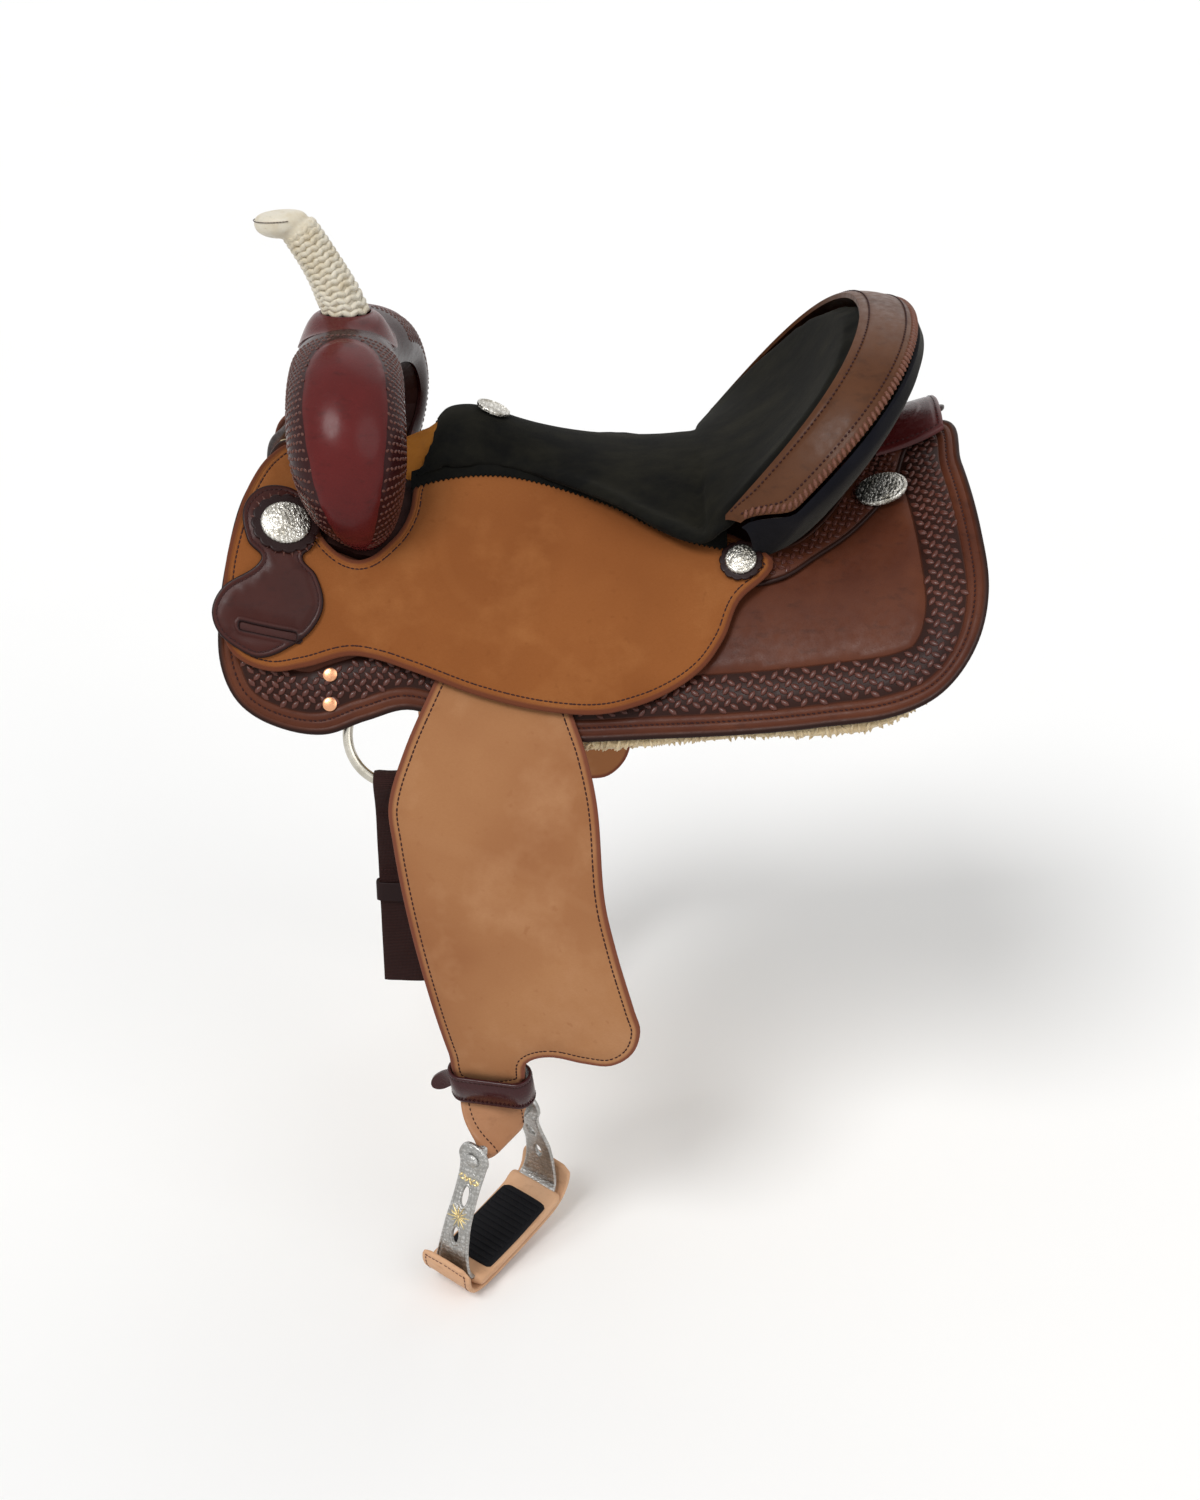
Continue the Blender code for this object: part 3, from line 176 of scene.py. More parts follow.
@dataclass(frozen=True)
class Form:
    """The horse-back form that the leather is laid on."""

    radius: float = 0.42
    lean_at_origin: float = radians(21)
    lean_per_metre: float = radians(30)
    rise: float = 0.5

    def place(self, along: float, down: float, height: float, sign: int) -> Vector:
        """Place of a point laid on the form.

        Args:
            along: Metres to the rear.
            down: Metres over the side from the ridge.
            height: Metres off the form, square to it.
            sign: -1 on the near side and 1 on the off side.

        Returns:
            The place in the row frame.
        """
        lean = self.lean_at_origin - self.lean_per_metre * along
        turn = lean + down / self.radius
        across = self.radius * (sin(turn) - sin(lean)) + height * sin(turn)
        drop = self.radius * (cos(lean) - cos(turn))
        return Vector((along, sign * across, self.rise * along * along - drop + height * cos(turn)))

    def frame(self, along: float, down: float, rule: Callable[[float, float], float], sign: int) -> Matrix:
        """Frame resting on a layer: X to the rear and Z off the layer."""
        step = 0.006

        def spot(more_along: float, more_down: float) -> Vector:
            place = (along + more_along, down + more_down)
            return self.place(*place, rule(*place), sign)

        rearward = (spot(step, 0) - spot(-step, 0)).normalized()
        downward = (spot(0, step) - spot(0, -step)).normalized()
        outward = (downward.cross(rearward) * -sign).normalized()
        made = Matrix((rearward, outward.cross(rearward), outward)).transposed().to_4x4()
        made.translation = spot(0, 0)
        return made


FORM = Form()


def solid_mesh(name: str, points: Sequence[Vector], faces: Sequence[Sequence[int]], smooth: float = 50) -> bpy.types.Mesh:
    """Makes a closed mesh with faces pointing outwards.

    Args:
        name: The mesh's name.
        points: Corners.
        faces: Corner numbers of each face.
        smooth: Largest angle in degrees that is shaded smooth.

    Returns:
        The mesh.
    """
    work = bmesh.new()
    corners = [work.verts.new(point) for point in points]
    for face in faces:
        work.faces.new([corners[index] for index in face])
    bmesh.ops.recalc_face_normals(work, faces=work.faces)
    if work.calc_volume(signed=True) < 0:
        bmesh.ops.reverse_faces(work, faces=work.faces)
    mesh = bpy.data.meshes.new(name)
    work.to_mesh(mesh)
    work.free()
    mesh.shade_smooth()
    mesh.set_sharp_from_angle(angle=radians(smooth))
    return mesh


def place_piece(name: str, mesh: bpy.types.Mesh, material: bpy.types.Material | None = None) -> bpy.types.Object:
    """Puts a mesh in the scene as an object at the origin."""
    made = bpy.data.objects.new(name, mesh)
    bpy.context.scene.collection.objects.link(made)
    if material is not None:
        mesh.materials.clear()
        mesh.materials.append(material)
    return made


def keep(piece: bpy.types.Object, body: str, slot: str, *nodes: str) -> bpy.types.Object:
    """Hands a finished piece to the frame.

    Args:
        piece: The finished object.
        body: CAD body that it rides on.
        slot: Material slot of the record that its finish comes from; not used.
        nodes: CAD nodes that it stands for.

    Returns:
        The same object.
    """
    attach(piece, body)
    if nodes:
        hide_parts(*nodes)
    LOG.info("%s: %d faces on %s", piece.name, len(piece.data.polygons), body)
    return piece


def dress(finish: bpy.types.Material, *names: str) -> None:
    """Gives CAD nodes that are shown as they are their finish."""
    for name in names:
        slots = frame["nodes"][name].data.materials
        slots.clear()
        slots.append(finish)


def grid_solid(
    name: str, top: Sequence[Sequence[Vector]], bottom: Sequence[Sequence[Vector]], smooth: float = 50
) -> bpy.types.Mesh:
    """Closes two grids of points of the same size into one solid."""
    height, width = len(top), len(top[0])
    points = [point for rows in (top, bottom) for row in rows for point in row]
    base = height * width
    faces = []
    for r in range(height - 1):
        for c in range(width - 1):
            a, b, d, e = r * width + c, r * width + c + 1, (r + 1) * width + c, (r + 1) * width + c + 1
            faces.append((a, b, e, d))
            faces.append((base + a, base + d, base + e, base + b))
    rim = [c for c in range(width)] + [r * width + width - 1 for r in range(1, height)]
    rim += [(height - 1) * width + c for c in range(width - 2, -1, -1)]
    rim += [r * width for r in range(height - 2, 0, -1)]
    for here, there in zip(rim, rim[1:] + rim[:1]):
        faces.append((here, base + here, base + there, there))
    return solid_mesh(name, points, faces, smooth)


def ring_solid(name: str, rings: Sequence[Sequence[Vector]], endless: bool = False, smooth: float = 50) -> bpy.types.Mesh:
    """Skins rings of points into a solid, closed by flat ends or by its own first ring."""
    count = len(rings[0])
    points = [point for ring in rings for point in ring]
    total = len(rings)
    faces = []
    for r in range(total if endless else total - 1):
        low, high = r * count, ((r + 1) % total) * count
        for k in range(count):
            n = (k + 1) % count
            faces.append((low + k, low + n, high + n, high + k))
    if not endless:
        faces.append(tuple(range(count)))
        faces.append(tuple(range((total - 1) * count, total * count)))
    return solid_mesh(name, points, faces, smooth)


@dataclass(frozen=True)
class Section:
    """How a cut piece's thickness runs in from its edge.

    Each groove is (distance from the edge, half width, depth); a negative depth is a bead.
    """

    thick: float
    rounding: float = 0.0016
    grooves: tuple[tuple[float, float, float], ...] = ()

    def top(self, distance: float) -> float:
        """Height of the face at a distance from the edge."""
        part = min(1.0, distance / self.rounding)
        height = self.thick * (0.5 + 0.5 * sqrt(1 - (1 - part) ** 2))
        for centre, half, depth in self.grooves:
            off = abs(distance - centre) / half
            if off < 1:
                height -= depth * (1 - off * off)
        return height

    def bottom(self, distance: float) -> float:
        """Height of the back at a distance from the edge."""
        part = min(1.0, distance / self.rounding)
        return self.thick * 0.4 * (1 - sqrt(1 - (1 - part) ** 2))

    def insets(self) -> list[float]:
        """Distances from the edge at which the pattern needs corners."""
        found = [self.rounding * part for part in (0.12, 0.4, 1.0)]
        for centre, half, _ in self.grooves:
            found += [centre - half, centre, centre + half]
        return sorted(set(round(d, 5) for d in found))


def distance_to(points: np.ndarray, loops: Sequence[np.ndarray]) -> np.ndarray:
    """Distance of flat points from the nearest of some closed loops."""
    best = np.full(len(points), 1e9)
    for loop in loops:
        start, run = loop, np.roll(loop, -1, axis=0) - loop
        size = np.maximum((run**2).sum(1), 1e-18)
        for low in range(0, len(points), 2000):
            away = points[low : low + 2000, None, :] - start[None]
            part = np.clip((away * run[None]).sum(2) / size[None], 0, 1)
            gap = np.linalg.norm(away - part[..., None] * run[None], axis=2).min(1)
            best[low : low + 2000] = np.minimum(best[low : low + 2000], gap)
    return best


def within(points: np.ndarray, loop: np.ndarray) -> np.ndarray:
    """Which flat points lie inside a closed loop."""
    x, y = points[:, 0, None], points[:, 1, None]
    x0, y0 = loop[None, :, 0], loop[None, :, 1]
    x1, y1 = np.roll(loop, 1, axis=0)[None, :, 0], np.roll(loop, 1, axis=0)[None, :, 1]
    rise = np.where(y1 == y0, 1e-12, y1 - y0)
    crossed = ((y0 > y) != (y1 > y)) & (x < (x1 - x0) * (y - y0) / rise + x0)
    return crossed.sum(1) % 2 == 1


@dataclass(frozen=True)
class Cut:
    """A flat pattern of leather or metal: its outline, holes and section."""

    outline: tuple[Flat, ...]
    section: Section
    holes: tuple[tuple[Flat, ...], ...] = ()
    spacing: float = 0.005
    cell: float = 0.011

    def loops(self, spacing: float | None = None) -> list[np.ndarray]:
        """The outline and the holes as rings of points."""
        step = spacing or self.spacing
        return [np.array([tuple(p) for p in smooth_loop(loop, step)]) for loop in (self.outline, *self.holes)]

    def offset(self, loop: np.ndarray, inset: float, loops: Sequence[np.ndarray]) -> np.ndarray:
        """Points at a distance inside a loop, without those that fall nearer to it."""
        run = np.roll(loop, -1, axis=0) - np.roll(loop, 1, axis=0)
        run /= np.maximum(np.linalg.norm(run, axis=1), 1e-12)[:, None]
        x, y = loop[:, 0], loop[:, 1]
        area = (x * np.roll(y, -1) - y * np.roll(x, -1)).sum()
        inward = np.stack((-run[:, 1], run[:, 0]), 1) * (1 if area > 0 else -1)
        found = loop + inward * inset * (1 if loop is loops[0] else -1)
        return found[distance_to(found, loops) > 0.97 * inset]

    def mesh(self, name: str, lay: Lay, smooth: float = 50) -> bpy.types.Mesh:
        """Cuts the pattern and lays it in place.

        Args:
            name: The mesh's name.
            lay: Gives the place of (across, down, height off the layer).
            smooth: Largest angle in degrees that is shaded smooth.

        Returns:
            A closed mesh with its flat pattern as UV map and the distance from its edge
            as the attribute "edge".
        """
        loops = self.loops()
        insets = self.section.insets()
        groups = [self.offset(loop, inset, loops) for inset in insets for loop in loops]
        low, high = loops[0].min(0), loops[0].max(0)
        rows = int((high[1] - low[1]) / self.cell) + 1
        columns = int((high[0] - low[0]) / self.cell) + 1
        grid = [(low[0] + (c + 0.5 * (r % 2)) * self.cell, low[1] + (r + 0.3) * self.cell)
                for r in range(rows) for c in range(columns)]
        grid = np.array(grid)
        inside = within(grid, loops[0]) & (distance_to(grid, loops) > insets[-1] + 0.5 * self.cell)
        for hole in loops[1:]:
            inside &= ~within(grid, hole)
        extra = np.concatenate([group for group in groups if len(group)] + [grid[inside]])
        ok = within(extra, loops[0])
        for hole in loops[1:]:
            ok &= ~within(extra, hole)
        flat = np.concatenate(loops + [extra[ok]])
        edges, first = [], 0
        for loop in loops:
            edges += [(first + k, first + (k + 1) % len(loop)) for k in range(len(loop))]
            first += len(loop)
        found = delaunay_2d_cdt([Vector(p) for p in flat], edges[len(loops[0]) :],
                                [list(range(len(loops[0])))], 1, 1e-7)
        flat = np.array([tuple(p) for p in found[0]])
        triangles = np.array([tri for tri in found[2] if len(tri) == 3])
        middle = flat[triangles].mean(1)
        for hole in loops[1:]:
            good = ~within(middle, hole)
            triangles, middle = triangles[good], middle[good]
        used = np.unique(triangles)
        index = np.full(len(flat), -1)
        index[used] = np.arange(len(used))
        flat, triangles = flat[used], index[triangles]
        gap = distance_to(flat, loops)
        count = len(flat)
        points = [lay(u, v, self.section.top(d)) for (u, v), d in zip(flat, gap)]
        points += [lay(u, v, self.section.bottom(d)) for (u, v), d in zip(flat, gap)]
        sides: dict[tuple[int, int], int] = {}
        for tri in triangles.tolist():
            for a, b in ((tri[0], tri[1]), (tri[1], tri[2]), (tri[2], tri[0])):
                sides[(a, b)] = 1
        faces = triangles.tolist() + [[count + c, count + b, count + a] for a, b, c in triangles.tolist()]
        faces += [[b, a, count + a, count + b] for a, b in sides if (b, a) not in sides]
        made = solid_mesh(name, points, faces, smooth)
        edge = made.attributes.new("edge", "FLOAT", "POINT")
        edge.data.foreach_set("value", np.concatenate((gap, gap)).astype(np.float32))
        layer = made.uv_layers.new(name="pattern")
        corner = np.zeros(len(made.loops), np.int32)
        made.loops.foreach_get("vertex_index", corner)
        layer.data.foreach_set("uv", np.concatenate((flat, flat))[corner].astype(np.float32).ravel())
        return made

    def seam(self, inset: float, pitch: float) -> list[tuple[float, float, float]]:
        """Even places along a line inside the edge.

        Args:
            inset: Distance of the line from the edge.
            pitch: Distance between places.

        Returns:
            (across, down, heading) of each place.
        """
        loops = self.loops(0.0015)
        line = self.offset(loops[0], inset, loops)
        found, travelled = [], 0.0
        for here, there in zip(line, np.roll(line, -1, axis=0)):
            step = hypot(*(there - here))
            if step > 0.008:
                continue
            travelled += step
            if travelled >= pitch:
                travelled -= pitch
                found.append((here[0], here[1], atan2(there[1] - here[1], there[0] - here[0])))
        return found

    def lattice(self, pitch: Flat, turn: float, nearest: float, furthest: float) -> list[tuple[float, float, int, int]]:
        """Places of a stamped pattern in a band along the edge.

        Args:
            pitch: Distances between places along and across the turned rows.
            turn: Angle of the rows.
            nearest: Least distance from the edge.
            furthest: Greatest distance from the edge.

        Returns:
            (across, down, row, column) of each place.
        """
        loops = self.loops()
        reach = int(0.9 / min(pitch))
        rows, columns = np.meshgrid(np.arange(-reach, reach), np.arange(-reach, reach), indexing="ij")
        rows, columns = rows.ravel(), columns.ravel()
        x, y = columns * pitch[0], rows * pitch[1]
        points = np.stack((x * cos(turn) - y * sin(turn), x * sin(turn) + y * cos(turn)), 1)
        low, high = loops[0].min(0), loops[0].max(0)
        good = ((points > low) & (points < high)).all(1)
        points, rows, columns = points[good], rows[good], columns[good]
        gap = distance_to(points, loops)
        good = within(points, loops[0]) & (gap > nearest) & (gap < furthest)
        return [(p[0], p[1], int(r), int(c)) for p, r, c in zip(points[good], rows[good], columns[good])]


def frame_on(lay: Lay, u: float, v: float, heading: float, height: float = 0.0) -> Matrix:
    """Frame on a laid surface: X along a heading of the pattern and Z off the surface.

    Args:
        lay: Gives the place of (across, down, height).
        u: Place across the pattern.
        v: Place down the pattern.
        heading: Angle of X in the pattern.
        height: Height above the layer.

    Returns:
        The frame's matrix.
    """
    step = 0.0015
    here = lay(u, v, height)
    ahead = (lay(u + step * cos(heading), v + step * sin(heading), height) - here).normalized()
    beside = lay(u - step * sin(heading), v + step * cos(heading), height) - here
    outward = ahead.cross(beside).normalized()
    if outward.dot(lay(u, v, height + step) - here) < 0:
        outward.negate()
    made = Matrix((ahead, outward.cross(ahead), outward)).transposed().to_4x4()
    made.translation = here
    return made


def motif_mesh(kind: Motif) -> bpy.types.Mesh:
    """Makes a small shape one unit long, wide and high, standing on Z = 0."""
    work = bmesh.new()
    if kind in (Motif.STITCH, Motif.SEED):
        bmesh.ops.create_uvsphere(work, u_segments=6 if kind is Motif.STITCH else 7, v_segments=4, radius=0.5)
    elif kind is Motif.RIB:
        bmesh.ops.create_cube(work, size=1.0)
        for vert in work.verts:
            if vert.co.z > 0:
                vert.co.y *= 0.55
    else:
        steps = 6 if kind is Motif.SCALE else 4
        wide = 4
        rows = []
        for r in range(steps + 1):
            x = -1 + 2 * r / steps
            half = sqrt(max(0.0, 1 - abs(x) ** (2.6 if kind is not Motif.PETAL else 2)))
            if kind is Motif.PETAL:
                half *= 0.55 - 0.45 * x
            if kind is Motif.LOCK:
                half *= 0.6 - 0.4 * x
            half = max(half, 0.12)
            row = []
            for c in range(wide + 1):
                y = -1 + 2 * c / wide
                swell = sqrt(max(0.0, 1 - y * y)) * sqrt(max(0.0, 1 - x * x * 0.9))
                if kind is Motif.PILLOW:
                    swell *= 0.78 + 0.22 * abs(y) ** 0.5 * 2
                bend = 0.55 * (x + 1) ** 2 if kind is Motif.LOCK else 0.0
                row.append(Vector((x / 2, y * half / 2, swell + bend)))
            rows.append(row)
        base = [[Vector((p.x, p.y, -0.25)) for p in row] for row in rows]
        work.free()
        return grid_solid("motif_" + kind.value, rows, base, 80)
    mesh = bpy.data.meshes.new("motif_" + kind.value)
    work.to_mesh(mesh)
    work.free()
    mesh.shade_smooth()
    return mesh


class Repeater:
    """Repeats a motif at marks with a Geometry Nodes tree."""

    def __init__(self) -> None:
        """Starts with no motif made."""
        self.motifs: dict[Motif, bpy.types.Object] = {}
        self.tree = self._tree()
        self.sockets = {s.name: s.identifier for s in self.tree.interface.items_tree if s.in_out == "INPUT"}

    def _tree(self) -> bpy.types.NodeTree:
        """Builds the tree: an instance at each mark, turned and sized by its attributes."""
        tree = bpy.data.node_groups.new("repeat_at_marks", "GeometryNodeTree")
        face = tree.interface
        face.new_socket("Marks", in_out="INPUT", socket_type="NodeSocketGeometry")
        face.new_socket("Motif", in_out="INPUT", socket_type="NodeSocketObject")
        for name in ("Length", "Width", "Height"):
            face.new_socket(name, in_out="INPUT", socket_type="NodeSocketFloat")
        face.new_socket("Finish", in_out="INPUT", socket_type="NodeSocketMaterial")
        face.new_socket("Pieces", in_out="OUTPUT", socket_type="NodeSocketGeometry")
        add = tree.nodes.new
        into, out = add("NodeGroupInput"), add("NodeGroupOutput")
        shape, turn, size = add("GeometryNodeObjectInfo"), add("GeometryNodeInputNamedAttribute"), add("GeometryNodeInputNamedAttribute")
        turn.data_type = size.data_type = "FLOAT_VECTOR"
        turn.inputs["Name"].default_value, size.inputs["Name"].default_value = "turn", "size"
        spin, sizes, scale = add("FunctionNodeEulerToRotation"), add("ShaderNodeCombineXYZ"), add("ShaderNodeVectorMath")
        scale.operation = "MULTIPLY"
        copies, real = add("GeometryNodeInstanceOnPoints"), add("GeometryNodeRealizeInstances")
        dress = add("GeometryNodeSetMaterial")
        link = tree.links.new
        link(into.outputs["Motif"], shape.inputs["Object"])
        for name, axis in (("Length", "X"), ("Width", "Y"), ("Height", "Z")):
            link(into.outputs[name], sizes.inputs[axis])
        link(turn.outputs["Attribute"], spin.inputs[0])
        link(sizes.outputs[0], scale.inputs[0])
        link(size.outputs["Attribute"], scale.inputs[1])
        link(into.outputs["Marks"], copies.inputs["Points"])
        link(shape.outputs["Geometry"], copies.inputs["Instance"])
        link(spin.outputs[0], copies.inputs["Rotation"])
        link(scale.outputs[0], copies.inputs["Scale"])
        link(copies.outputs[0], real.inputs[0])
        link(real.outputs[0], dress.inputs["Geometry"])
        link(into.outputs["Finish"], dress.inputs["Material"])
        link(dress.outputs[0], out.inputs[0])
        return tree

    def motif(self, kind: Motif) -> bpy.types.Object:
        """The object of a motif, made when it is first asked for."""
        if kind not in self.motifs:
            self.motifs[kind] = place_piece("motif_" + kind.value, motif_mesh(kind))
        return self.motifs[kind]

    def build(self, name: str, kind: Motif, size: tuple[float, float, float], marks: Sequence[Matrix],
              material: bpy.types.Material, sizes: Sequence[Vector] | None = None) -> bpy.types.Object:
        """Repeats a motif at marks.

        Args:
            name: Name of the piece.
            kind: The motif.
            size: Its length, width and height in metres.
            marks: Frame of each copy.
            material: Its material.
            sizes: A factor on the size of each copy.

        Returns:
            The piece as a plain mesh at the origin.
        """
        mesh = bpy.data.meshes.new(name + "_marks")
        mesh.from_pydata([mark.translation for mark in marks], [], [])
        turns = mesh.attributes.new("turn", "FLOAT_VECTOR", "POINT")
        turns.data.foreach_set("vector", [a for mark in marks for a in mark.to_euler("XYZ")])
        factors = mesh.attributes.new("size", "FLOAT_VECTOR", "POINT")
        factors.data.foreach_set("vector", [a for k in range(len(marks)) for a in (sizes[k] if sizes else (1, 1, 1))])
        work = place_piece(name + "_work", mesh)
        step = work.modifiers.new("repeat", "NODES")
        step.node_group = self.tree
        for label, value in (("Motif", self.motif(kind)), ("Length", size[0]), ("Width", size[1]),
                             ("Height", size[2]), ("Finish", material)):
            step[self.sockets[label]] = value
        graph = bpy.context.evaluated_depsgraph_get()
        made = bpy.data.meshes.new_from_object(work.evaluated_get(graph), depsgraph=graph)
        made.name = name
        for label in ("turn", "size"):
            if label in made.attributes:
                made.attributes.remove(made.attributes[label])
        bpy.data.objects.remove(work)
        made.shade_smooth()
        made.set_sharp_from_angle(angle=radians(60))
        return place_piece(name, made, material)

    def clear(self) -> None:
        """Takes the motifs out of the scene."""
        for item in self.motifs.values():
            bpy.data.objects.remove(item)
        self.motifs.clear()


REPEATER = Repeater()


class Graph:
    """Wires the nodes of one material."""

    def __init__(self, name: str) -> None:
        """Starts a material with an empty tree and an output."""
        self.material = bpy.data.materials.new(name)
        self.material.use_nodes = True
        self.tree = self.material.node_tree
        self.tree.nodes.clear()
        self.output = self.tree.nodes.new("ShaderNodeOutputMaterial")
        self.object = self.add("ShaderNodeTexCoord").outputs["Object"]

    def add(self, kind: str, settings: dict | None = None, inputs: dict | None = None) -> bpy.types.Node:
        """Adds a node, with its settings and its inputs as values or links."""
        node = self.tree.nodes.new(kind)
        for key, value in (settings or {}).items():
            setattr(node, key, value)
        for key, value in (inputs or {}).items():
            if isinstance(value, bpy.types.NodeSocket):
                self.tree.links.new(value, node.inputs[key])
            else:
                node.inputs[key].default_value = value
        return node

    def noise(self, scale: float, detail: float = 3, rough: float = 0.5, stretch: Colour | None = None,
              vector: bpy.types.NodeSocket | None = None) -> bpy.types.NodeSocket:
        """Value of a noise over the object, from 0 to 1."""
        vector = vector or self.object
        if stretch:
            vector = self.add("ShaderNodeMapping", None, {"Vector": vector, "Scale": stretch}).outputs[0]
        made = self.add("ShaderNodeTexNoise", None, {"Vector": vector, "Scale": scale, "Detail": detail, "Roughness": rough})
        return made.outputs["Fac"]

    def cells(self, scale: float, feature: str = "F1") -> bpy.types.NodeSocket:
        """Distance in a Voronoi pattern over the object."""
        return self.add("ShaderNodeTexVoronoi", {"feature": feature}, {"Vector": self.object, "Scale": scale}).outputs["Distance"]

    def range(self, value: bpy.types.NodeSocket, low: float, high: float, out_low: float = 0.0,
              out_high: float = 1.0) -> bpy.types.NodeSocket:
        """A value moved from one range to another, held inside it."""
        return self.add("ShaderNodeMapRange", None, {"Value": value, "From Min": low, "From Max": high,
                                                     "To Min": out_low, "To Max": out_high}).outputs[0]

    def mix(self, part: bpy.types.NodeSocket | float, first: object, second: object) -> bpy.types.NodeSocket:
        """Mixes two colours."""
        node = self.add("ShaderNodeMix", {"data_type": "RGBA"})
        for index, value in ((0, part), (6, first), (7, second)):
            if isinstance(value, bpy.types.NodeSocket):
                self.tree.links.new(value, node.inputs[index])
            else:
                node.inputs[index].default_value = (*value, 1.0) if index else value
        return node.outputs[2]

    def math(self, kind: str, first: object, second: object = 0.0) -> bpy.types.NodeSocket:
        """Works out one value from two."""
        return self.add("ShaderNodeMath", {"operation": kind}, {0: first, 1: second}).outputs[0]

    def attribute(self, name: str) -> bpy.types.NodeSocket:
        """Value of a mesh attribute."""
        return self.add("ShaderNodeAttribute", {"attribute_name": name}).outputs["Fac"]

    def bump(self, height: bpy.types.NodeSocket, depth: float, strength: float = 1.0,
             normal: bpy.types.NodeSocket | None = None) -> bpy.types.NodeSocket:
        """Normal bent by a height; depth is in metres."""
        inputs = {"Height": height, "Distance": depth, "Strength": strength}
        if normal is not None:
            inputs["Normal"] = normal
        return self.add("ShaderNodeBump", None, inputs).outputs[0]

    def surface(self, **inputs: object) -> bpy.types.Material:
        """Ends the tree in a Principled shader; names use _ for a space."""
        shader = self.add("ShaderNodeBsdfPrincipled")
        for key, value in inputs.items():
            socket = shader.inputs[key.replace("_", " ")]
            if isinstance(value, bpy.types.NodeSocket):
                self.tree.links.new(value, socket)
            else:
                colour = isinstance(value, tuple) and len(socket.default_value) == 4
                socket.default_value = (*value, 1.0) if colour else value
        self.tree.links.new(shader.outputs[0], self.output.inputs[0])
        return self.material


@dataclass(frozen=True)
class Leather:
    """Finished leather: dyed grain with pores, mottling and burnished edges."""

    name: str
    colour: Colour
    shade: Colour
    edge: Colour
    roughness: float = 0.4
    coat: float = 0.0
    grain: float = 0.00022
    edge_width: float = 0.0
    band: Flat | None = None
    specular: float = 0.20

    def build(self) -> bpy.types.Material:
        """Builds the material."""
        graph = Graph(self.name)
        cloud = graph.range(graph.noise(11, 4, 0.6), 0.32, 0.68)
        tone = graph.mix(cloud, self.colour, self.shade)
        streak = graph.range(graph.noise(60, 3, 0.6, (1, 1, 2.5)), 0.55, 0.75, 0, 0.35)
        tone = graph.mix(streak, tone, self.edge)
        pores = graph.range(graph.cells(950), 0.0, 0.35)
        tone = graph.mix(graph.range(pores, 0, 1, 0.25, 0.0), tone, self.edge)
        if self.edge_width:
            rim = graph.range(graph.attribute("edge"), self.edge_width * 0.4, self.edge_width, 0.92, 0.0)
            tone = graph.mix(rim, tone, self.edge)
        # Darker band at given distances from the edge: stamped leather, and on the swell also painted shade over the
        # cover's inside.
        if self.band:
            gap = graph.attribute("edge")
            stamped_and_shade = graph.math("MULTIPLY", graph.range(gap, self.band[0] - 0.002, self.band[0], 0, 0.85),
                              graph.range(gap, self.band[1], self.band[1] + 0.002, 1, 0))
            tone = graph.mix(stamped_and_shade, tone, self.edge)
        rough = graph.range(graph.noise(140, 3), 0.3, 0.7, self.roughness * 0.8, min(1.0, self.roughness * 1.3))
        fine = graph.bump(pores, self.grain, 0.6)
        wide = graph.bump(graph.noise(70, 4, 0.6), self.grain * 2.5, 0.35, fine)
        return graph.surface(Base_Color=tone, Roughness=rough, Normal=wide, Coat_Weight=self.coat,
                             Coat_Roughness=0.14, Specular_IOR_Level=self.specular)


@dataclass(frozen=True)
class Roughout:
    """Leather worn flesh side out: matt, with its fibres stroked one way, rubbed and darker patches."""

    name: str
    colour: Colour
    pale: Colour
    dark: Colour
    edge: Colour
    edge_width: float = 0.0052

    def build(self) -> bpy.types.Material:
        """Builds the material."""
        graph = Graph(self.name)
        tone = graph.mix(graph.range(graph.noise(5.5, 3, 0.55), 0.35, 0.65), self.colour, self.dark)
        tone = graph.mix(graph.range(graph.noise(13, 4, 0.6), 0.50, 0.72, 0, 0.7), tone, self.pale)
        fibre = graph.noise(420, 4, 0.7, (1.0, 1.0, 2.2))
        tone = graph.mix(graph.range(fibre, 0.35, 0.75, 0.0, 0.26), tone, self.dark)
        spots = graph.range(graph.noise(95, 2, 0.5), 0.66, 0.74, 0, 0.45)
        tone = graph.mix(spots, tone, self.dark)
        scar = graph.add("ShaderNodeTexWave", {"bands_direction": "DIAGONAL"},
                         {"Vector": graph.object, "Scale": 1.6, "Distortion": 7.0, "Detail": 2.0}).outputs["Fac"]
        tone = graph.mix(graph.range(scar, 0.99, 1.0, 0, 0.10), tone, self.pale)
        if self.edge_width:
            rim = graph.range(graph.attribute("edge"), self.edge_width * 0.55, self.edge_width, 0.9, 0.0)
            tone = graph.mix(rim, tone, self.edge)
        fine = graph.bump(fibre, 0.0004, 0.5)
        wide = graph.bump(graph.noise(60, 4, 0.6), 0.0006, 0.3, fine)
        return graph.surface(Base_Color=tone, Roughness=graph.range(fibre, 0.3, 0.7, 0.78, 0.95), Normal=wide,
                             Sheen_Weight=0.03, Sheen_Roughness=0.5, Specular_IOR_Level=0.12)


@dataclass(frozen=True)
class Suede:
    """Napped suede with lighter patches, partly its own tone and partly painted sheen of the nap."""

    name: str
    colour: Colour
    tone_and_sheen: Colour
    sheen: float = 0.05

    def build(self) -> bpy.types.Material:
        """Builds the material."""
        graph = Graph(self.name)
        # Lighter patches: partly tone variation, partly painted sheen where the nap would catch the light.
        patch = graph.range(graph.noise(14, 4, 0.65, (1, 1.6, 1)), 0.42, 0.66)
        tone = graph.mix(patch, self.colour, self.tone_and_sheen)
        nap = graph.noise(900, 3, 0.7)
        tone = graph.mix(graph.range(nap, 0.3, 0.75, 0, 0.4), tone, self.colour)
        fine = graph.bump(nap, 0.0004, 0.55)
        wide = graph.bump(graph.noise(45, 4, 0.6), 0.0012, 0.35, fine)
        return graph.surface(Base_Color=tone, Roughness=0.95, Normal=wide, Sheen_Weight=self.sheen,
                             Sheen_Roughness=0.4, Sheen_Tint=(0.45, 0.42, 0.34), Specular_IOR_Level=0.08)


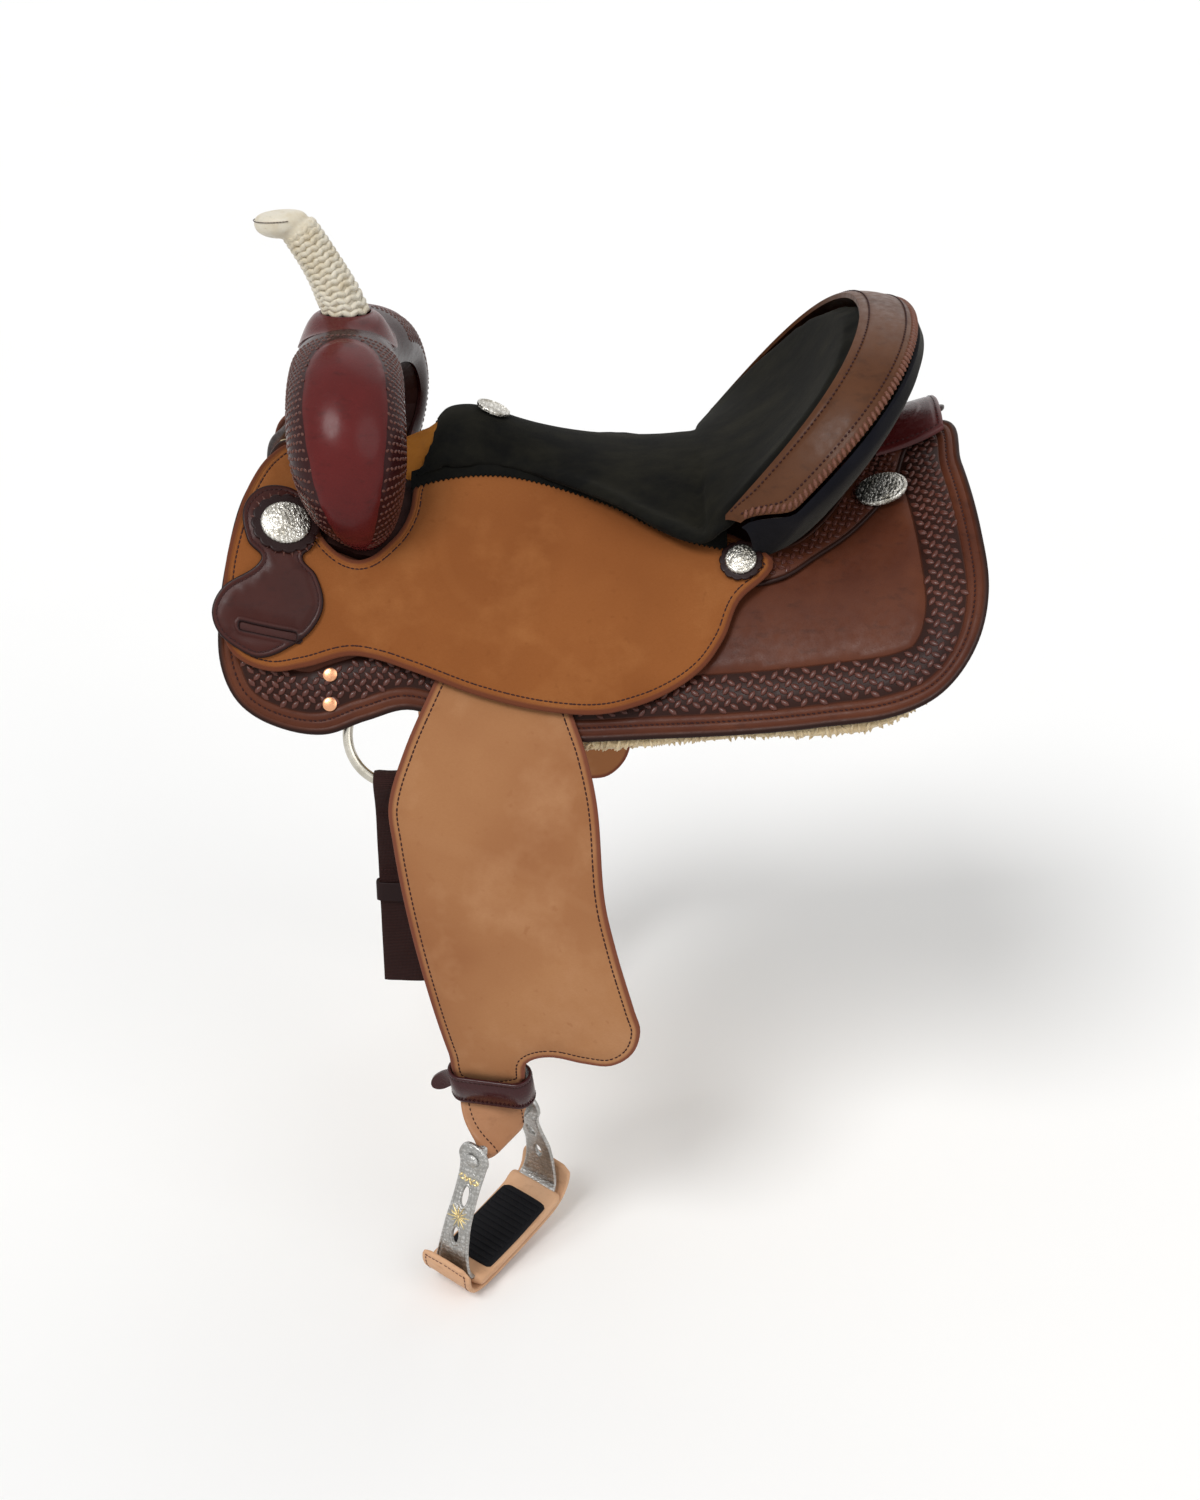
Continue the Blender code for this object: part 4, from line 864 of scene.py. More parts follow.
@dataclass(frozen=True)
class Wool:
    """Sheepskin lining with curled, uneven locks."""

    name: str
    colour: Colour
    shade: Colour

    def build(self) -> bpy.types.Material:
        """Builds the material."""
        graph = Graph(self.name)
        curl = graph.noise(190, 4, 0.75)
        tone = graph.mix(graph.range(curl, 0.35, 0.65), self.shade, self.colour)
        tone = graph.mix(graph.range(graph.noise(22, 3), 0.4, 0.65, 0, 0.35), tone, self.shade)
        fine = graph.bump(curl, 0.0022, 0.8)
        return graph.surface(Base_Color=tone, Roughness=0.96, Normal=fine, Sheen_Weight=0.4, Sheen_Roughness=0.6)


@dataclass(frozen=True)
class Hide:
    """Rawhide: hard, slightly waxy, yellowed in the hollows."""

    name: str
    colour: Colour
    stain: Colour
    hollow: Colour

    def build(self) -> bpy.types.Material:
        """Builds the material."""
        graph = Graph(self.name)
        tone = graph.mix(graph.range(graph.noise(45, 4, 0.6), 0.42, 0.7), self.colour, self.stain)
        fibre = graph.noise(260, 4, 0.65, (1, 1, 3))
        tone = graph.mix(graph.range(fibre, 0.6, 0.8, 0, 0.5), tone, self.hollow)
        crack = graph.range(graph.cells(320), 0.0, 0.12, 0.5, 0.0)
        tone = graph.mix(crack, tone, self.stain)
        return graph.surface(Base_Color=tone, Roughness=graph.range(fibre, 0.3, 0.7, 0.36, 0.62),
                             Normal=graph.bump(fibre, 0.0005, 0.5), Subsurface_Weight=0.08,
                             Subsurface_Radius=(0.002, 0.0015, 0.001), Coat_Weight=0.15, Coat_Roughness=0.3)


@dataclass(frozen=True)
class Metal:
    """Bright or cast metal with tarnish in its low places and fine scratches."""

    name: str
    colour: Colour
    tarnish: Colour
    roughness: float = 0.25
    cloud: float = 45.0
    depth: float = 0.00015
    engraved: float = 0.0
    streak: float = 7.0

    def build(self) -> bpy.types.Material:
        """Builds the material."""
        graph = Graph(self.name)
        wear = graph.range(graph.noise(self.cloud, 4, 0.6), 0.45, 0.72)
        tone = graph.mix(wear, self.colour, self.tarnish)
        scratch = graph.noise(500, 4, 0.7, (1, self.streak, 1))
        height = graph.bump(scratch, self.depth, 0.4)
        if self.engraved:
            leaf = graph.range(graph.cells(self.engraved, "DISTANCE_TO_EDGE"), 0.02, 0.14)
            swirl = graph.add("ShaderNodeTexWave", {"wave_type": "RINGS", "rings_direction": "SPHERICAL"},
                              {"Vector": graph.object, "Scale": self.engraved * 0.25, "Distortion": 6.0, "Detail": 1.5,
                               "Detail Scale": 3.0}).outputs["Fac"]
            cut = graph.math("MULTIPLY", leaf, graph.range(swirl, 0.22, 0.45))
            tone = graph.mix(graph.range(cut, 0, 1, 0.75, 0.0), tone, self.tarnish)
            height = graph.bump(cut, 0.0003, 0.7, height)
        rough = graph.range(scratch, 0.3, 0.75, self.roughness * 0.7, self.roughness * 1.5)
        return graph.surface(Base_Color=tone, Roughness=rough, Metallic=1.0, Normal=height)


@dataclass(frozen=True)
class Webbing:
    """Woven nylon, ribbed across the strap; follows the strap's own map in metres."""

    name: str
    colour: Colour
    glint: Colour
    rib: float = 0.0016

    def build(self) -> bpy.types.Material:
        """Builds the material."""
        graph = Graph(self.name)
        flat = graph.add("ShaderNodeUVMap", {"uv_map": "pattern"}).outputs[0]
        split = graph.add("ShaderNodeSeparateXYZ", None, {0: flat})
        ribs = graph.math("SINE", graph.math("MULTIPLY", split.outputs[1], 2 * pi / self.rib))
        picks = graph.math("SINE", graph.math("MULTIPLY", split.outputs[0], 2 * pi / (self.rib * 0.8)))
        weave = graph.math("ADD", graph.math("MULTIPLY", ribs, 0.65), graph.math("MULTIPLY", picks, 0.35))
        tone = graph.mix(graph.range(weave, -0.4, 1.0), self.colour, self.glint)
        tone = graph.mix(graph.range(graph.noise(60, 3), 0.5, 0.8, 0, 0.4), tone, self.colour)
        return graph.surface(Base_Color=tone, Roughness=0.62, Normal=graph.bump(weave, 0.0003, 0.9),
                             Sheen_Weight=0.02, Sheen_Roughness=0.4, Specular_IOR_Level=0.12)


@dataclass(frozen=True)
class Plain:
    """A quiet finish, such as thread, rubber or wood, with grain along one axis."""

    name: str
    colour: Colour
    shade: Colour
    roughness: float
    scale: float = 300.0
    stretch: Colour = (1, 1, 1)
    depth: float = 0.0002

    def build(self) -> bpy.types.Material:
        """Builds the material."""
        graph = Graph(self.name)
        grain = graph.noise(self.scale, 4, 0.65, self.stretch)
        tone = graph.mix(graph.range(grain, 0.35, 0.7), self.colour, self.shade)
        tone = graph.mix(graph.range(graph.noise(18, 3), 0.45, 0.75, 0, 0.3), tone, self.shade)
        rough = graph.range(grain, 0.3, 0.7, self.roughness * 0.85, min(1.0, self.roughness * 1.15))
        return graph.surface(Base_Color=tone, Roughness=rough, Normal=graph.bump(grain, self.depth, 0.6),
                             Specular_IOR_Level=0.2)


class Finishes:
    """Every finish of the saddle, built once."""

    def __init__(self) -> None:
        """Builds the materials."""
        self.oxblood = Leather("oxblood_leather", (0.098, 0.0120, 0.0115), (0.064, 0.0090, 0.0085), (0.014, 0.004, 0.004),
                               0.26, 0.10, 0.0001).build()
        self.tooled = Leather("tooled_chestnut", (0.110, 0.0330, 0.0150), (0.066, 0.0180, 0.0095), (0.014, 0.006, 0.005),
                              0.40, 0.02, 0.00014, 0.0056, (0.0196, 0.0512), specular=0.10).build()
        self.strap = Leather("oxblood_strap", (0.052, 0.0125, 0.0095), (0.034, 0.0085, 0.0065), (0.012, 0.004, 0.004),
                             0.36, 0.04, 0.0001, 0.0024, specular=0.12).build()
        self.plum = Leather("plum_strap", (0.190, 0.0380, 0.0380), (0.130, 0.0250, 0.0270), (0.030, 0.007, 0.008),
                            0.24, 0.12, 0.00005, 0.0016).build()
        self.binding = Leather("binding_leather", (0.100, 0.0380, 0.0150), (0.064, 0.0230, 0.0095), (0.018, 0.008, 0.005),
                               0.40, 0.03, 0.00012, specular=0.12).build()
        self.raised = Leather("raised_stamping", (0.105, 0.0340, 0.0230), (0.070, 0.0220, 0.0160), (0.030, 0.011, 0.009),
                              0.30, 0.14, 0.00008).build()
        # The swell's band reaches past the panel's border over the cover's inside, darkening it as painted shade.
        self.swell = Leather("swell_oxblood", (0.105, 0.0125, 0.0120), (0.070, 0.0092, 0.0088), (0.016, 0.005, 0.005),
                             0.24, 0.04, 0.00006, band=(0.0065, 9.0), specular=0.12).build()
        # Near-black leather for the fork and the bars: partly the gullet's lining, partly painted shade where they sit
        # in shadow.
        self.dark = Leather("lining_and_painted_shade", (0.030, 0.010, 0.008), (0.020, 0.007, 0.006), (0.010, 0.004, 0.004),
                            0.55, 0.0, 0.0002, specular=0.1).build()
        self.natural = Leather("natural_leather", (0.410, 0.2000, 0.0980), (0.350, 0.1550, 0.0700), (0.190, 0.078, 0.034),
                               0.50, 0.03, 0.00014).build()
        self.pale = Leather("pale_tread_leather", (0.640, 0.3900, 0.2350), (0.560, 0.3100, 0.1700), (0.330, 0.160, 0.080),
                            0.55, 0.0, 0.00014).build()
        self.lining = Leather("orange_lining", (0.600, 0.2350, 0.0380), (0.480, 0.1650, 0.0240), (0.280, 0.085, 0.015),
                              0.45, 0.04, 0.00012).build()
        self.roughout = Roughout("tan_roughout", (0.262, 0.0890, 0.0240), (0.318, 0.1230, 0.0380), (0.205, 0.064, 0.016),
                                 (0.115, 0.032, 0.016)).build()
        self.fender = Roughout("fender_roughout", (0.365, 0.1720, 0.0740), (0.420, 0.2150, 0.1050), (0.285, 0.118, 0.048),
                               (0.150, 0.044, 0.026)).build()
        # The second colour of each suede lightens its patches: partly tone, partly painted sheen.
        self.suede = Suede("black_suede", (0.0046, 0.0046, 0.0042), (0.014, 0.013, 0.009)).build()
        self.back = Suede("back_suede", (0.0050, 0.0052, 0.0080), (0.010, 0.010, 0.014), 0.2).build()
        self.wool = Wool("fleece_wool", (0.700, 0.570, 0.350), (0.480, 0.350, 0.180)).build()
        self.rawhide = Hide("braided_rawhide", (0.640, 0.590, 0.480), (0.520, 0.440, 0.300), (0.230, 0.190, 0.130)).build()
        self.silver = Metal("engraved_silver", (0.760, 0.740, 0.690), (0.230, 0.210, 0.170), 0.30, 70, 0.00005, 330, 1.5).build()
        self.cast = Metal("cast_aluminium", (0.560, 0.555, 0.540), (0.300, 0.295, 0.280), 0.34, 90, 0.0001, 260, 2.0).build()
        self.nickel = Metal("nickel_ring", (0.600, 0.570, 0.500), (0.360, 0.330, 0.260), 0.24, 30).build()
        self.brass = Metal("brass_overlay", (0.780, 0.640, 0.330), (0.470, 0.350, 0.160), 0.26, 80).build()
        self.copper = Metal("copper_rivet", (0.760, 0.380, 0.210), (0.480, 0.200, 0.100), 0.26, 160).build()
        self.rubber = Plain("black_rubber", (0.004, 0.004, 0.005), (0.008, 0.008, 0.010), 0.95, 500).build()
        self.wood = Plain("tree_wood", (0.480, 0.330, 0.180), (0.330, 0.200, 0.100), 0.65, 60, (1, 7, 7)).build()
        self.thread = Plain("dark_thread", (0.036, 0.007, 0.006), (0.016, 0.004, 0.004), 0.60, 1500).build()
        self.lace = Plain("lacing_leather", (0.170, 0.068, 0.042), (0.090, 0.034, 0.022), 0.45, 900).build()
        self.nylon = Webbing("nylon_webbing", (0.016, 0.0048, 0.0042), (0.036, 0.0120, 0.0095)).build()


@dataclass(frozen=True)
class Heights:
    """Heights of the leather layers off the form."""

    fleece: float = 0.0122
    skirt: float = 0.0142
    skirt_thick: float = 0.0055
    fender: float = 0.0232
    fender_thick: float = 0.0036
    rear_jockey: float = 0.0210
    jockey_high: float = 0.0345
    jockey_low: float = 0.0260
    over_fender: float = 0.0060
    jockey_thick: float = 0.0040
    seam: float = 0.0480

    def jockey(self, along: float, down: float) -> float:
        """Underside of the seat jockey, which rides over the bars and the fender."""
        fall = ease((down - 0.105) / 0.095)
        rise = ease((along + 0.205) / 0.030) * ease((0.050 - along) / 0.030) * ease((down - 0.12) / 0.06)
        return self.jockey_high + (self.jockey_low - self.jockey_high) * fall + self.over_fender * rise

    def on_jockey(self, along: float, down: float) -> float:
        """Just above the seat jockey's face."""
        return self.jockey(along, down) + self.jockey_thick + 0.0010


HEIGHTS = Heights()


def laid(rule: Callable[[float, float], float] | float, sign: int) -> Lay:
    """Way of laying a pattern on the form over a layer of some height."""
    if callable(rule):
        return lambda u, v, h: FORM.place(u, v, rule(u, v) + h, sign)
    return lambda u, v, h: FORM.place(u, v, rule + h, sign)


def stitch_line(name: str, cut: Cut, lay: Lay, inset: float, pitch: float, thread: bpy.types.Material,
                size: tuple[float, float, float] = (0.0041, 0.0020, 0.0012), slant: float = 0.0) -> bpy.types.Object:
    """Sews a line of stitches inside the edge of a laid pattern.

    Args:
        name: Name of the piece.
        cut: The pattern.
        lay: How the pattern is laid.
        inset: Distance of the line from the edge.
        pitch: Distance between stitches.
        thread: Material of the thread.
        size: Length, width and height of a stitch.
        slant: Angle of each stitch to the line.

    Returns:
        The stitches as one piece.
    """
    height = cut.section.top(inset)
    marks = [frame_on(lay, u, v, heading + slant, height + size[2] * 0.15) for u, v, heading in cut.seam(inset, pitch)]
    return REPEATER.build(name, Motif.STITCH, size, marks, thread)


def stamping(name: str, cut: Cut, lay: Lay, pitch: float, turn: float, band: Flat,
             material: bpy.types.Material, fill: Flat = (1.18, 0.66)) -> bpy.types.Object:
    """Stamps basket weave over a band of a laid pattern.

    Args:
        name: Name of the piece.
        cut: The pattern.
        lay: How the pattern is laid.
        pitch: Size of one cell of the weave.
        turn: Angle of the weave's rows.
        band: Nearest and furthest distance from the edge.
        material: Material of the raised leather.
        fill: Length and width of a strand as parts of a cell.

    Returns:
        The raised strands as one piece.
    """
    marks = []
    for u, v, row, column in cut.lattice((pitch, pitch), turn, *band):
        heading = turn + (pi / 2 if (row + column) % 2 else 0.0)
        marks.append(frame_on(lay, u, v, heading, cut.section.thick + 0.0002))
    return REPEATER.build(name, Motif.PILLOW, (pitch * fill[0], pitch * fill[1], 0.0013), marks, material)


@dataclass
class Underlay:
    """Fleece lining and the stamped skirt of one side."""

    side: Side
    finishes: Finishes
    skirt_outline: tuple[Flat, ...] = (
        (-0.284, 0.016), (-0.305, 0.050), (-0.322, 0.093), (-0.332, 0.150), (-0.337, 0.200),
        (-0.335, 0.240), (-0.320, 0.268), (-0.290, 0.281), (-0.245, 0.281), (-0.205, 0.263),
        (-0.165, 0.250), (-0.088, 0.270), (0.052, 0.277), (0.188, 0.292), (0.250, 0.300),
        (0.290, 0.293), (0.318, 0.265), (0.331, 0.222), (0.330, 0.165), (0.322, 0.080),
        (0.312, 0.012), (0.215, 0.014), (0.140, 0.034), (0.0, 0.036), (-0.190, 0.036))
    fleece_outline: tuple[Flat, ...] = (
        (-0.280, 0.016), (-0.301, 0.052), (-0.325, 0.140), (-0.331, 0.205), (-0.322, 0.252),
        (-0.290, 0.268), (-0.258, 0.264), (-0.246, 0.215), (-0.186, 0.200), (-0.126, 0.215),
        (-0.112, 0.268), (-0.020, 0.279), (0.110, 0.283), (0.235, 0.303), (0.283, 0.290),
        (0.313, 0.255), (0.325, 0.200), (0.318, 0.080), (0.308, 0.014), (0.215, 0.016),
        (0.140, 0.036), (0.0, 0.038), (-0.190, 0.038))
    stitch_inset: float = 0.0118
    band: Flat = (0.0205, 0.0500)
    cell: float = 0.0074

    def make(self) -> None:
        """Builds and dresses the side's underlayers."""
        self._fleece()
        self._skirt()

    def _fleece(self) -> None:
        word, sign = self.side.word, self.side.sign
        cut = Cut(self.fleece_outline, Section(HEIGHTS.fleece, 0.0045), cell=0.008, spacing=0.006)

        def lay(u: float, v: float, h: float) -> Vector:
            lump = 0.0022 * noise.noise((u * 85, v * 85, h * 120)) + 0.0012 * noise.noise((u * 260, v * 260, 3))
            return FORM.place(u + lump, v + lump, h * 0.92 + lump, sign)

        wool = place_piece("fleece_lining_" + word, cut.mesh("fleece_lining", lay), self.finishes.wool)
        keep(wool, "saddle", "fleece", "fleece_" + word)
        marks, sizes = [], []
        for index, (u, v, heading) in enumerate(cut.seam(0.0030, 0.0024)):
            if v < 0.05:
                continue
            shake = noise.noise((index * 1.7, 0.3, 0.0)), noise.noise((index * 2.3, 9.1, 0.0))
            marks.append(frame_on(lay, u, v, heading - pi / 2 + shake[0] * 1.3, 0.0016 + 0.0045 * (index % 3)))
            sizes.append(Vector((1 + 0.5 * shake[1], 1, 1 + 0.6 * shake[0])))
        locks = REPEATER.build("fleece_locks_" + word, Motif.LOCK, (0.0105, 0.0042, 0.0022), marks,
                               self.finishes.wool, sizes)
        keep(locks, "saddle", "fleece")

    def _skirt(self) -> None:
        word = self.side.word
        section = Section(HEIGHTS.skirt_thick, 0.0022, (
            (0.0058, 0.0011, 0.0006), (0.0090, 0.0012, -0.0004), (self.stitch_inset, 0.0014, 0.0008),
            (0.0146, 0.0012, -0.0004), (0.0182, 0.0010, 0.0007), (0.0525, 0.0011, 0.0008)))
        cut = Cut(self.skirt_outline, section)
        lay = laid(HEIGHTS.skirt, self.side.sign)
        skirt = place_piece("skirt_leather_" + word, cut.mesh("skirt_leather", lay), self.finishes.tooled)
        keep(skirt, "saddle", "chestnut", "skirt_" + word)
        keep(stamping("skirt_stamping_" + word, cut, lay, self.cell, radians(38), self.band, self.finishes.raised),
             "saddle", "chestnut")
        keep(stitch_line("skirt_stitching_" + word, cut, lay, self.stitch_inset, 0.0045, self.finishes.thread,
                         (0.0036, 0.0020, 0.0014), radians(24)), "saddle", "chestnut")


@dataclass
class Jockeys:
    """Seat jockey and rear jockey of one side."""

    side: Side
    finishes: Finishes
    jockey_outline: tuple[Flat, ...] = (
        (-0.276, 0.034), (-0.296, 0.050), (-0.311, 0.080), (-0.321, 0.115), (-0.330, 0.160),
        (-0.331, 0.212), (-0.320, 0.230), (-0.290, 0.236), (-0.259, 0.227), (-0.215, 0.211),
        (-0.167, 0.219), (-0.105, 0.237), (-0.044, 0.250), (0.008, 0.254), (0.055, 0.243),
        (0.088, 0.226), (0.108, 0.202), (0.122, 0.172), (0.147, 0.154), (0.152, 0.143),
        (0.136, 0.126), (0.104, 0.104), (0.078, 0.096), (0.045, 0.075), (0.010, 0.052),
        (-0.045, 0.030), (-0.100, 0.020), (-0.150, 0.030), (-0.166, 0.050), (-0.171, 0.082),
        (-0.184, 0.108), (-0.214, 0.131), (-0.244, 0.118), (-0.258, 0.085), (-0.266, 0.052))
    rear_outline: tuple[Flat, ...] = (
        (0.121, 0.150), (0.157, 0.157), (0.191, 0.143), (0.224, 0.126), (0.256, 0.096),
        (0.272, 0.060), (0.280, 0.014), (0.236, 0.012), (0.226, 0.050), (0.211, 0.088),
        (0.178, 0.119), (0.140, 0.128))
    stitch_inset: float = 0.0080
    pitch: float = 0.0042

    def make(self) -> None:
        """Builds and dresses the side's two jockeys."""
        word, sign = self.side.word, self.side.sign
        section = Section(HEIGHTS.jockey_thick, 0.0020, ((0.0054, 0.0009, 0.0005), (self.stitch_inset, 0.0010, 0.0007)))
        cut, lay = Cut(self.jockey_outline, section), laid(HEIGHTS.jockey, sign)
        seat_jockey = place_piece("jockey_leather_" + word, cut.mesh("jockey_leather", lay), self.finishes.roughout)
        keep(seat_jockey, "saddle", "tan", "seat_jockey_" + word)
        keep(stitch_line("jockey_stitching_" + word, cut, lay, self.stitch_inset, self.pitch, self.finishes.thread),
             "saddle", "oxblood")
        section = Section(HEIGHTS.jockey_thick, 0.0016, ((0.0040, 0.0009, 0.0006),))
        cut, lay = Cut(self.rear_outline, section, cell=0.008), laid(HEIGHTS.rear_jockey, sign)
        rear = place_piece("rear_jockey_leather_" + word, cut.mesh("rear_leather", lay), self.finishes.tooled)
        keep(rear, "saddle", "oxblood", "rear_jockey_" + word)
        keep(stamping("rear_stamping_" + word, cut, lay, 0.0062, radians(24), (0.0068, 1.0), self.finishes.raised),
             "saddle", "oxblood")


@dataclass
class KeeperPlate:
    """Shield-shaped latigo keeper that hangs from the front concho."""

    side: Side
    finishes: Finishes
    outline: tuple[Flat, ...] = (
        (-0.280, 0.079), (-0.302, 0.086), (-0.315, 0.108), (-0.310, 0.134), (-0.298, 0.146),
        (-0.330, 0.175), (-0.340, 0.196), (-0.335, 0.213), (-0.319, 0.223), (-0.297, 0.227),
        (-0.270, 0.212), (-0.252, 0.195), (-0.243, 0.173), (-0.250, 0.150), (-0.262, 0.138),
        (-0.254, 0.128), (-0.250, 0.106), (-0.261, 0.086))
    slit: tuple[float, float, float, float] = (-0.291, 0.204, 0.0500, 0.0060)
    thick: float = 0.0034
    head: Flat = (-0.278, 0.113)

    def make(self) -> None:
        """Builds and dresses the plate."""
        word, sign = self.side.word, self.side.sign
        along, down, length, width = self.slit
        half = (length / 2, width / 2)
        corners = [(along + x * half[0], down + y * half[1]) for x, y in
                   ((-1, -0.5), (-0.97, -1), (-0.5, -1), (0, -1), (0.5, -1), (0.97, -1), (1, -0.5), (1, 0.5),
                    (0.97, 1), (0.5, 1), (0, 1), (-0.5, 1), (-0.97, 1), (-1, 0.5))]
        section = Section(self.thick, 0.0014, ((0.0045, 0.0009, 0.0005),))
        cut = Cut(self.outline, section, (tuple(corners),), 0.003, 0.007)
        lay = laid(HEIGHTS.on_jockey, sign)
        plate = place_piece("keeper_leather_" + word, cut.mesh("keeper_leather", lay), self.finishes.strap)
        keep(plate, "saddle", "oxblood", "latigo_keeper_" + word)
        keep(stitch_line("keeper_stitching_" + word, cut, lay, 0.0045, 0.0044, self.finishes.thread), "saddle", "oxblood")
        patch = Cut(((along - 0.028, down - 0.005), (along + 0.028, down - 0.005), (along + 0.028, down + 0.005),
                     (along - 0.028, down + 0.005)), Section(0.0010, 0.0006), spacing=0.004, cell=0.006)
        back = place_piece("keeper_slit_back_" + word, patch.mesh("keeper_slit_back", lay), self.finishes.strap)
        keep(back, "saddle", "oxblood")
        marks = []
        for index in range(24):
            angle = 2 * pi * index / 24
            u, v = self.head[0] + 0.0268 * cos(angle), self.head[1] + 0.0242 * sin(angle)
            marks.append(frame_on(lay, u, v, angle, self.thick))
        keep(REPEATER.build("keeper_scallops_" + word, Motif.PETAL, (0.0070, 0.0058, 0.0014), marks, self.finishes.raised),
             "saddle", "oxblood")


@dataclass(frozen=True)
class Concho:
    """A domed, engraved metal head with a roped rim."""

    half_x: float
    half_y: float
    rise: float
    petals: int = 8
    ropes: int = 40
    relief: float = 0.0005

    def height(self, reach: float, angle: float) -> float:
        """Height of the face, from the dome, the rim's rope and the engraved flower."""
        low = 0.0008 + (self.rise - 0.0008) * sqrt(max(0.0, 1 - 0.92 * reach * reach))
        if not self.petals:
            return low
        rope = max(0.0, 1 - abs(reach - 0.92) / 0.06)
        low += self.relief * rope * (0.75 + 0.5 * sin(self.ropes * angle + 9 * reach))
        ditch = max(0.0, 1 - abs(reach - 0.82) / 0.03)
        low -= 0.5 * self.relief * ditch
        flower = abs(cos(self.petals / 2 * angle))
        edge = 0.18 + 0.26 * flower
        low += self.relief * ease((edge - reach) / 0.05) * (0.6 + 0.4 * cos(12 * reach))
        scroll = sin(self.petals * angle + 17 * reach) * sin(31 * reach - 2 * angle)
        if 0.46 < reach < 0.80:
            low += 0.7 * self.relief * max(-0.4, scroll)
        low -= 0.5 * self.relief * max(0.0, 1 - abs(reach - 0.08) / 0.03)
        return low

    def mesh(self, name: str, place: Matrix) -> bpy.types.Mesh:
        """Builds the head, closed by a flat back."""
        count = 96 if self.petals else 32
        steps = 26 if self.petals else 8
        rings = [[place @ Vector((self.half_x * 0.02 * cos(2 * pi * k / count), self.half_y * 0.02 * sin(2 * pi * k / count), 0))
                  for k in range(count)]]
        for reach in (0.98, 1.0):
            rings.append([place @ Vector((self.half_x * reach * cos(2 * pi * k / count),
                                          self.half_y * reach * sin(2 * pi * k / count), 0.0)) for k in range(count)])
        for r in range(steps, 0, -1):
            reach = r / steps
            rings.append([place @ Vector((self.half_x * reach * cos(2 * pi * k / count),
                                          self.half_y * reach * sin(2 * pi * k / count),
                                          self.height(reach, 2 * pi * k / count))) for k in range(count)])
        return ring_solid(name, rings, smooth=60)


@dataclass
class Silver:
    """Conchos, their scalloped washer and the copper rivets of one side."""

    side: Side
    finishes: Finishes
    front: Concho = Concho(0.0220, 0.0195, 0.0060, 10, 44)
    small: Concho = Concho(0.0140, 0.0140, 0.0050, 6, 30, 0.0004)
    rear: Concho = Concho(0.0235, 0.0185, 0.0065, 10, 44)
    rivet: Concho = Concho(0.0062, 0.0062, 0.0024, 0)
    front_place: Flat = (-0.278, 0.113)
    small_place: Flat = (0.124, 0.139)
    rear_place: Flat = (0.250, 0.091)
    rivet_places: tuple[Flat, ...] = ((-0.238, 0.229), (-0.238, 0.254))
    washer_radius: float = 0.0195
    washer_thick: float = 0.0025
    scallops: int = 13

    def make(self) -> None:
        """Builds the side's silver and copper."""
        word, sign = self.side.word, self.side.sign
        silver = self.finishes.silver

        def on(place: Flat, rule: Callable[[float, float], float], lift: float) -> Matrix:
            return FORM.frame(*place, rule, sign) @ Matrix.Translation((0, 0, lift))

        rosette = on(self.front_place, HEIGHTS.on_jockey, 0.0035)
        keep(self._washer("front_rosette_" + word, rosette, (0.0305, 0.0280), 0.0018, 15), "saddle", "oxblood")
        front = on(self.front_place, HEIGHTS.on_jockey, 0.0046)
        piece = place_piece("front_silver_" + word, self.front.mesh("front_silver", front), silver)
        keep(piece, "saddle", "silver", "front_concho_" + word)
        washer = on(self.small_place, HEIGHTS.on_jockey, 0.0006)
        radius = (self.washer_radius, self.washer_radius)
        keep(self._washer("scalloped_washer_" + word, washer, radius, self.washer_thick, self.scallops), "saddle",
             "oxblood", "side_rosette_" + word)
        small = on(self.small_place, HEIGHTS.on_jockey, 0.0006 + self.washer_thick + 0.0003)
        piece = place_piece("side_silver_" + word, self.small.mesh("side_silver", small), silver)
        keep(piece, "saddle", "silver", "side_concho_" + word)
        top = HEIGHTS.rear_jockey + HEIGHTS.jockey_thick + 0.0015
        rear = on(self.rear_place, lambda a, d: top, 0.0)
        piece = place_piece("rear_silver_" + word, self.rear.mesh("rear_silver", rear), silver)
        keep(piece, "saddle", "silver", "rear_concho_" + word)
        for index, place in enumerate(self.rivet_places, 1):
            head = on(place, lambda a, d: HEIGHTS.skirt + HEIGHTS.skirt_thick + 0.0004, 0.0)
            piece = place_piece("copper_rivet_%s_%d" % (word, index), self.rivet.mesh("rivet", head), self.finishes.copper)
            keep(piece, "saddle", "copper", "rivet_%s_%d" % (word, index))

    def _washer(self, name: str, place: Matrix, radius: Flat, thick: float, scallops: int) -> bpy.types.Object:
        """Scalloped leather washer with a rounded rim.

        Args:
            name: Name of the piece.
            place: Frame of its back.
            radius: Half width and half height.
            thick: Thickness.
            scallops: Number of scallops round it.

        Returns:
            The piece.
        """
        count = scallops * 12
        rings = []
        for reach, height in ((0.02, 0.0), (0.985, 0.0), (1.0, 0.3), (1.0, 0.65), (0.975, 0.95), (0.93, 1.0),
                              (0.80, 0.92), (0.74, 1.0), (0.3, 1.0), (0.02, 1.0)):
            ring = []
            for k in range(count):
                angle = 2 * pi * k / count
                lobe = 0.925 + 0.075 * abs(cos(scallops * angle / 2)) ** 0.7
                wide = reach * lobe if reach > 0.7 else reach
                ring.append(place @ Vector((radius[0] * wide * cos(angle), radius[1] * wide * sin(angle), height * thick)))
            rings.append(ring)
        return place_piece(name, ring_solid(name, rings), self.finishes.strap)


